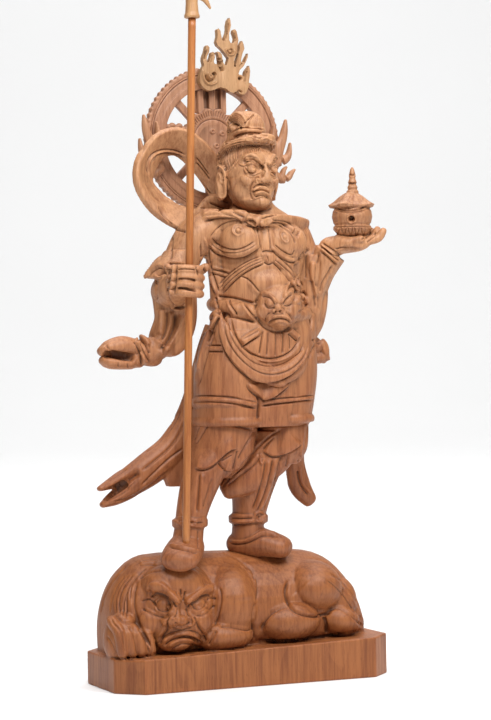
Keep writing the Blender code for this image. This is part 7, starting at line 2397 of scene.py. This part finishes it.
def make_flames():
    for name, mirror in (("flame_top", 0), ("flame_left", 1), ("flame_right", -1)):
        local = Shells()
        if mirror:
            add_flame_side(local, mirror)
        else:
            add_flame_top(local)
        shape = Shells()
        shape.place(local, halo_place())
        surface = shape.fuse(name + "_carving", voxel=0.2, rounds=3)
        if not mirror:
            surface.points -= 0.28 * surface.normals()
            carve(surface, FLAME_EDGES, deep=1.5)
        look = WOODS["side"] if mirror else WOODS["flame"]
        surface.finish(name + "_carving", 24000, look, "flame_wood", nodes=[name])


def make_trident():
    shape = Shells()
    add_trident_head(shape)
    surface = shape.fuse("spear_head_carving", voxel=0.25, rounds=2)
    surface.finish("spear_head_carving", 24000, WOODS["trident"], "trident_wood", nodes=["spear_head"])
    shape = Shells()
    rows = []
    foot = Vector(SHAFT_FOOT)
    top = Vector(SHAFT_TOP)
    for k in range(61):
        spot = foot.lerp(top, k / 60)
        rows.append((*spot, SHAFT_RADIUS, SHAFT_RADIUS))
    shape.limb(rows, sides=40, steps=1, round_ends=False)
    mesh = bpy.data.meshes.new("spear_shaft_turning")
    mesh.from_pydata([Vector(p) * MM for p in shape.points], [], shape.faces)
    obj = bpy.data.objects.new("spear_shaft_turning", mesh)
    bpy.context.scene.collection.objects.link(obj)
    dress(obj, WOODS["shaft"], ["spear_shaft"])


def make_pagoda():
    shape = Shells()
    add_pagoda(shape)
    surface = shape.fuse("pagoda_carving", voxel=0.2, rounds=2)
    carve(surface, PAGODA_EDGES)
    surface.finish("pagoda_carving", 60000, WOODS["pagoda"], "pagoda_wood", nodes=["pagoda"])


# Camera, floor and light

def make_camera():
    camera = bpy.data.objects.new("camera", bpy.data.cameras.new("camera"))
    bpy.context.scene.collection.objects.link(camera)
    s = math.sin(CAMERA_TURN)
    c = math.cos(CAMERA_TURN)
    camera.location = Vector((
        -CAMERA_AWAY * s + CAMERA_ASIDE * c,
        -CAMERA_AWAY * c - CAMERA_ASIDE * s,
        CAMERA_HIGH,
    )) * MM
    look = Vector((s, c, 0)).to_track_quat("-Z", "Y").to_matrix()
    camera.rotation_euler = (look @ Matrix.Rotation(CAMERA_ROLL, 3, "Z")).to_euler()
    camera.data.lens = LENS
    camera.data.sensor_width = SENSOR
    bpy.context.scene.camera = camera


def make_floor():
    """Pale floor that sweeps up into a backdrop behind the figure."""
    start = 2.3
    bend = 1.2
    rows = [(-3.0, 0.0)]
    for k in range(25):
        angle = math.pi / 2 * k / 24
        rows.append((start + bend * math.sin(angle), bend * (1 - math.cos(angle))))
    rows.append((start + bend, 4.0))
    half = 5.0
    s = math.sin(CAMERA_TURN)
    c = math.cos(CAMERA_TURN)
    points = []
    for side in (-half, half):
        points += [(deep * s + side * c, deep * c - side * s, high) for deep, high in rows]
    count = len(rows)
    faces = [(k, k + 1, count + k + 1, count + k) for k in range(count - 1)]
    mesh = bpy.data.meshes.new("floor")
    mesh.from_pydata(points, [], faces)
    mesh.polygons.foreach_set("use_smooth", [True] * len(faces))
    nodes = Nodes("floor_paper")
    place = nodes.add("ShaderNodeTexCoord").outputs["Object"]
    soft = nodes.noise(place, 3.0, 2.0)
    nodes.feed(
        nodes.mix(soft, (0.88, 0.88, 0.88, 1), (0.91, 0.91, 0.91, 1)), nodes.shader.inputs["Base Color"],
    )
    nodes.shader.inputs["Roughness"].default_value = 0.9
    mesh.materials.append(nodes.material)
    floor = bpy.data.objects.new("floor", mesh)
    bpy.context.scene.collection.objects.link(floor)


def make_lights():
    s = math.sin(CAMERA_TURN)
    c = math.cos(CAMERA_TURN)
    aim = Vector((0.0, 0.0, 0.15))
    for name, aside, away, high, size, power in (
        ("front", 0.0, 0.42, 0.6, 0.22, 3.1),
        ("side", 0.35, 0.35, 0.6, 0.22, 2.7),
    ):
        data = bpy.data.lights.new(name, "AREA")
        data.size = size
        data.energy = power
        light = bpy.data.objects.new(name, data)
        bpy.context.scene.collection.objects.link(light)
        light.location = (-away * s + aside * c, -away * c - aside * s, high)
        light.rotation_euler = (aim - light.location).to_track_quat("-Z", "Y").to_euler()
    data = bpy.data.lights.new("backdrop", "AREA")
    data.size = 2.4
    data.energy = 87.0
    light = bpy.data.objects.new("backdrop", data)
    bpy.context.scene.collection.objects.link(light)
    light.location = (1.0 * s, 1.0 * c, 2.6)
    aim = Vector((2.4 * s, 2.4 * c, 0.3))
    light.rotation_euler = (aim - light.location).to_track_quat("-Z", "Y").to_euler()
    world = bpy.data.worlds.new("studio")
    bpy.context.scene.world = world
    world.use_nodes = True
    back = world.node_tree.nodes["Background"]
    back.inputs[0].default_value = (1.0, 1.0, 1.0, 1.0)
    back.inputs[1].default_value = 0.12


bpy.context.scene.view_settings.view_transform = "Standard"
make_camera()
make_demon()
make_figure()
make_legs()
make_head()
make_halo()
make_flames()
make_trident()
make_pagoda()
make_floor()
make_lights()
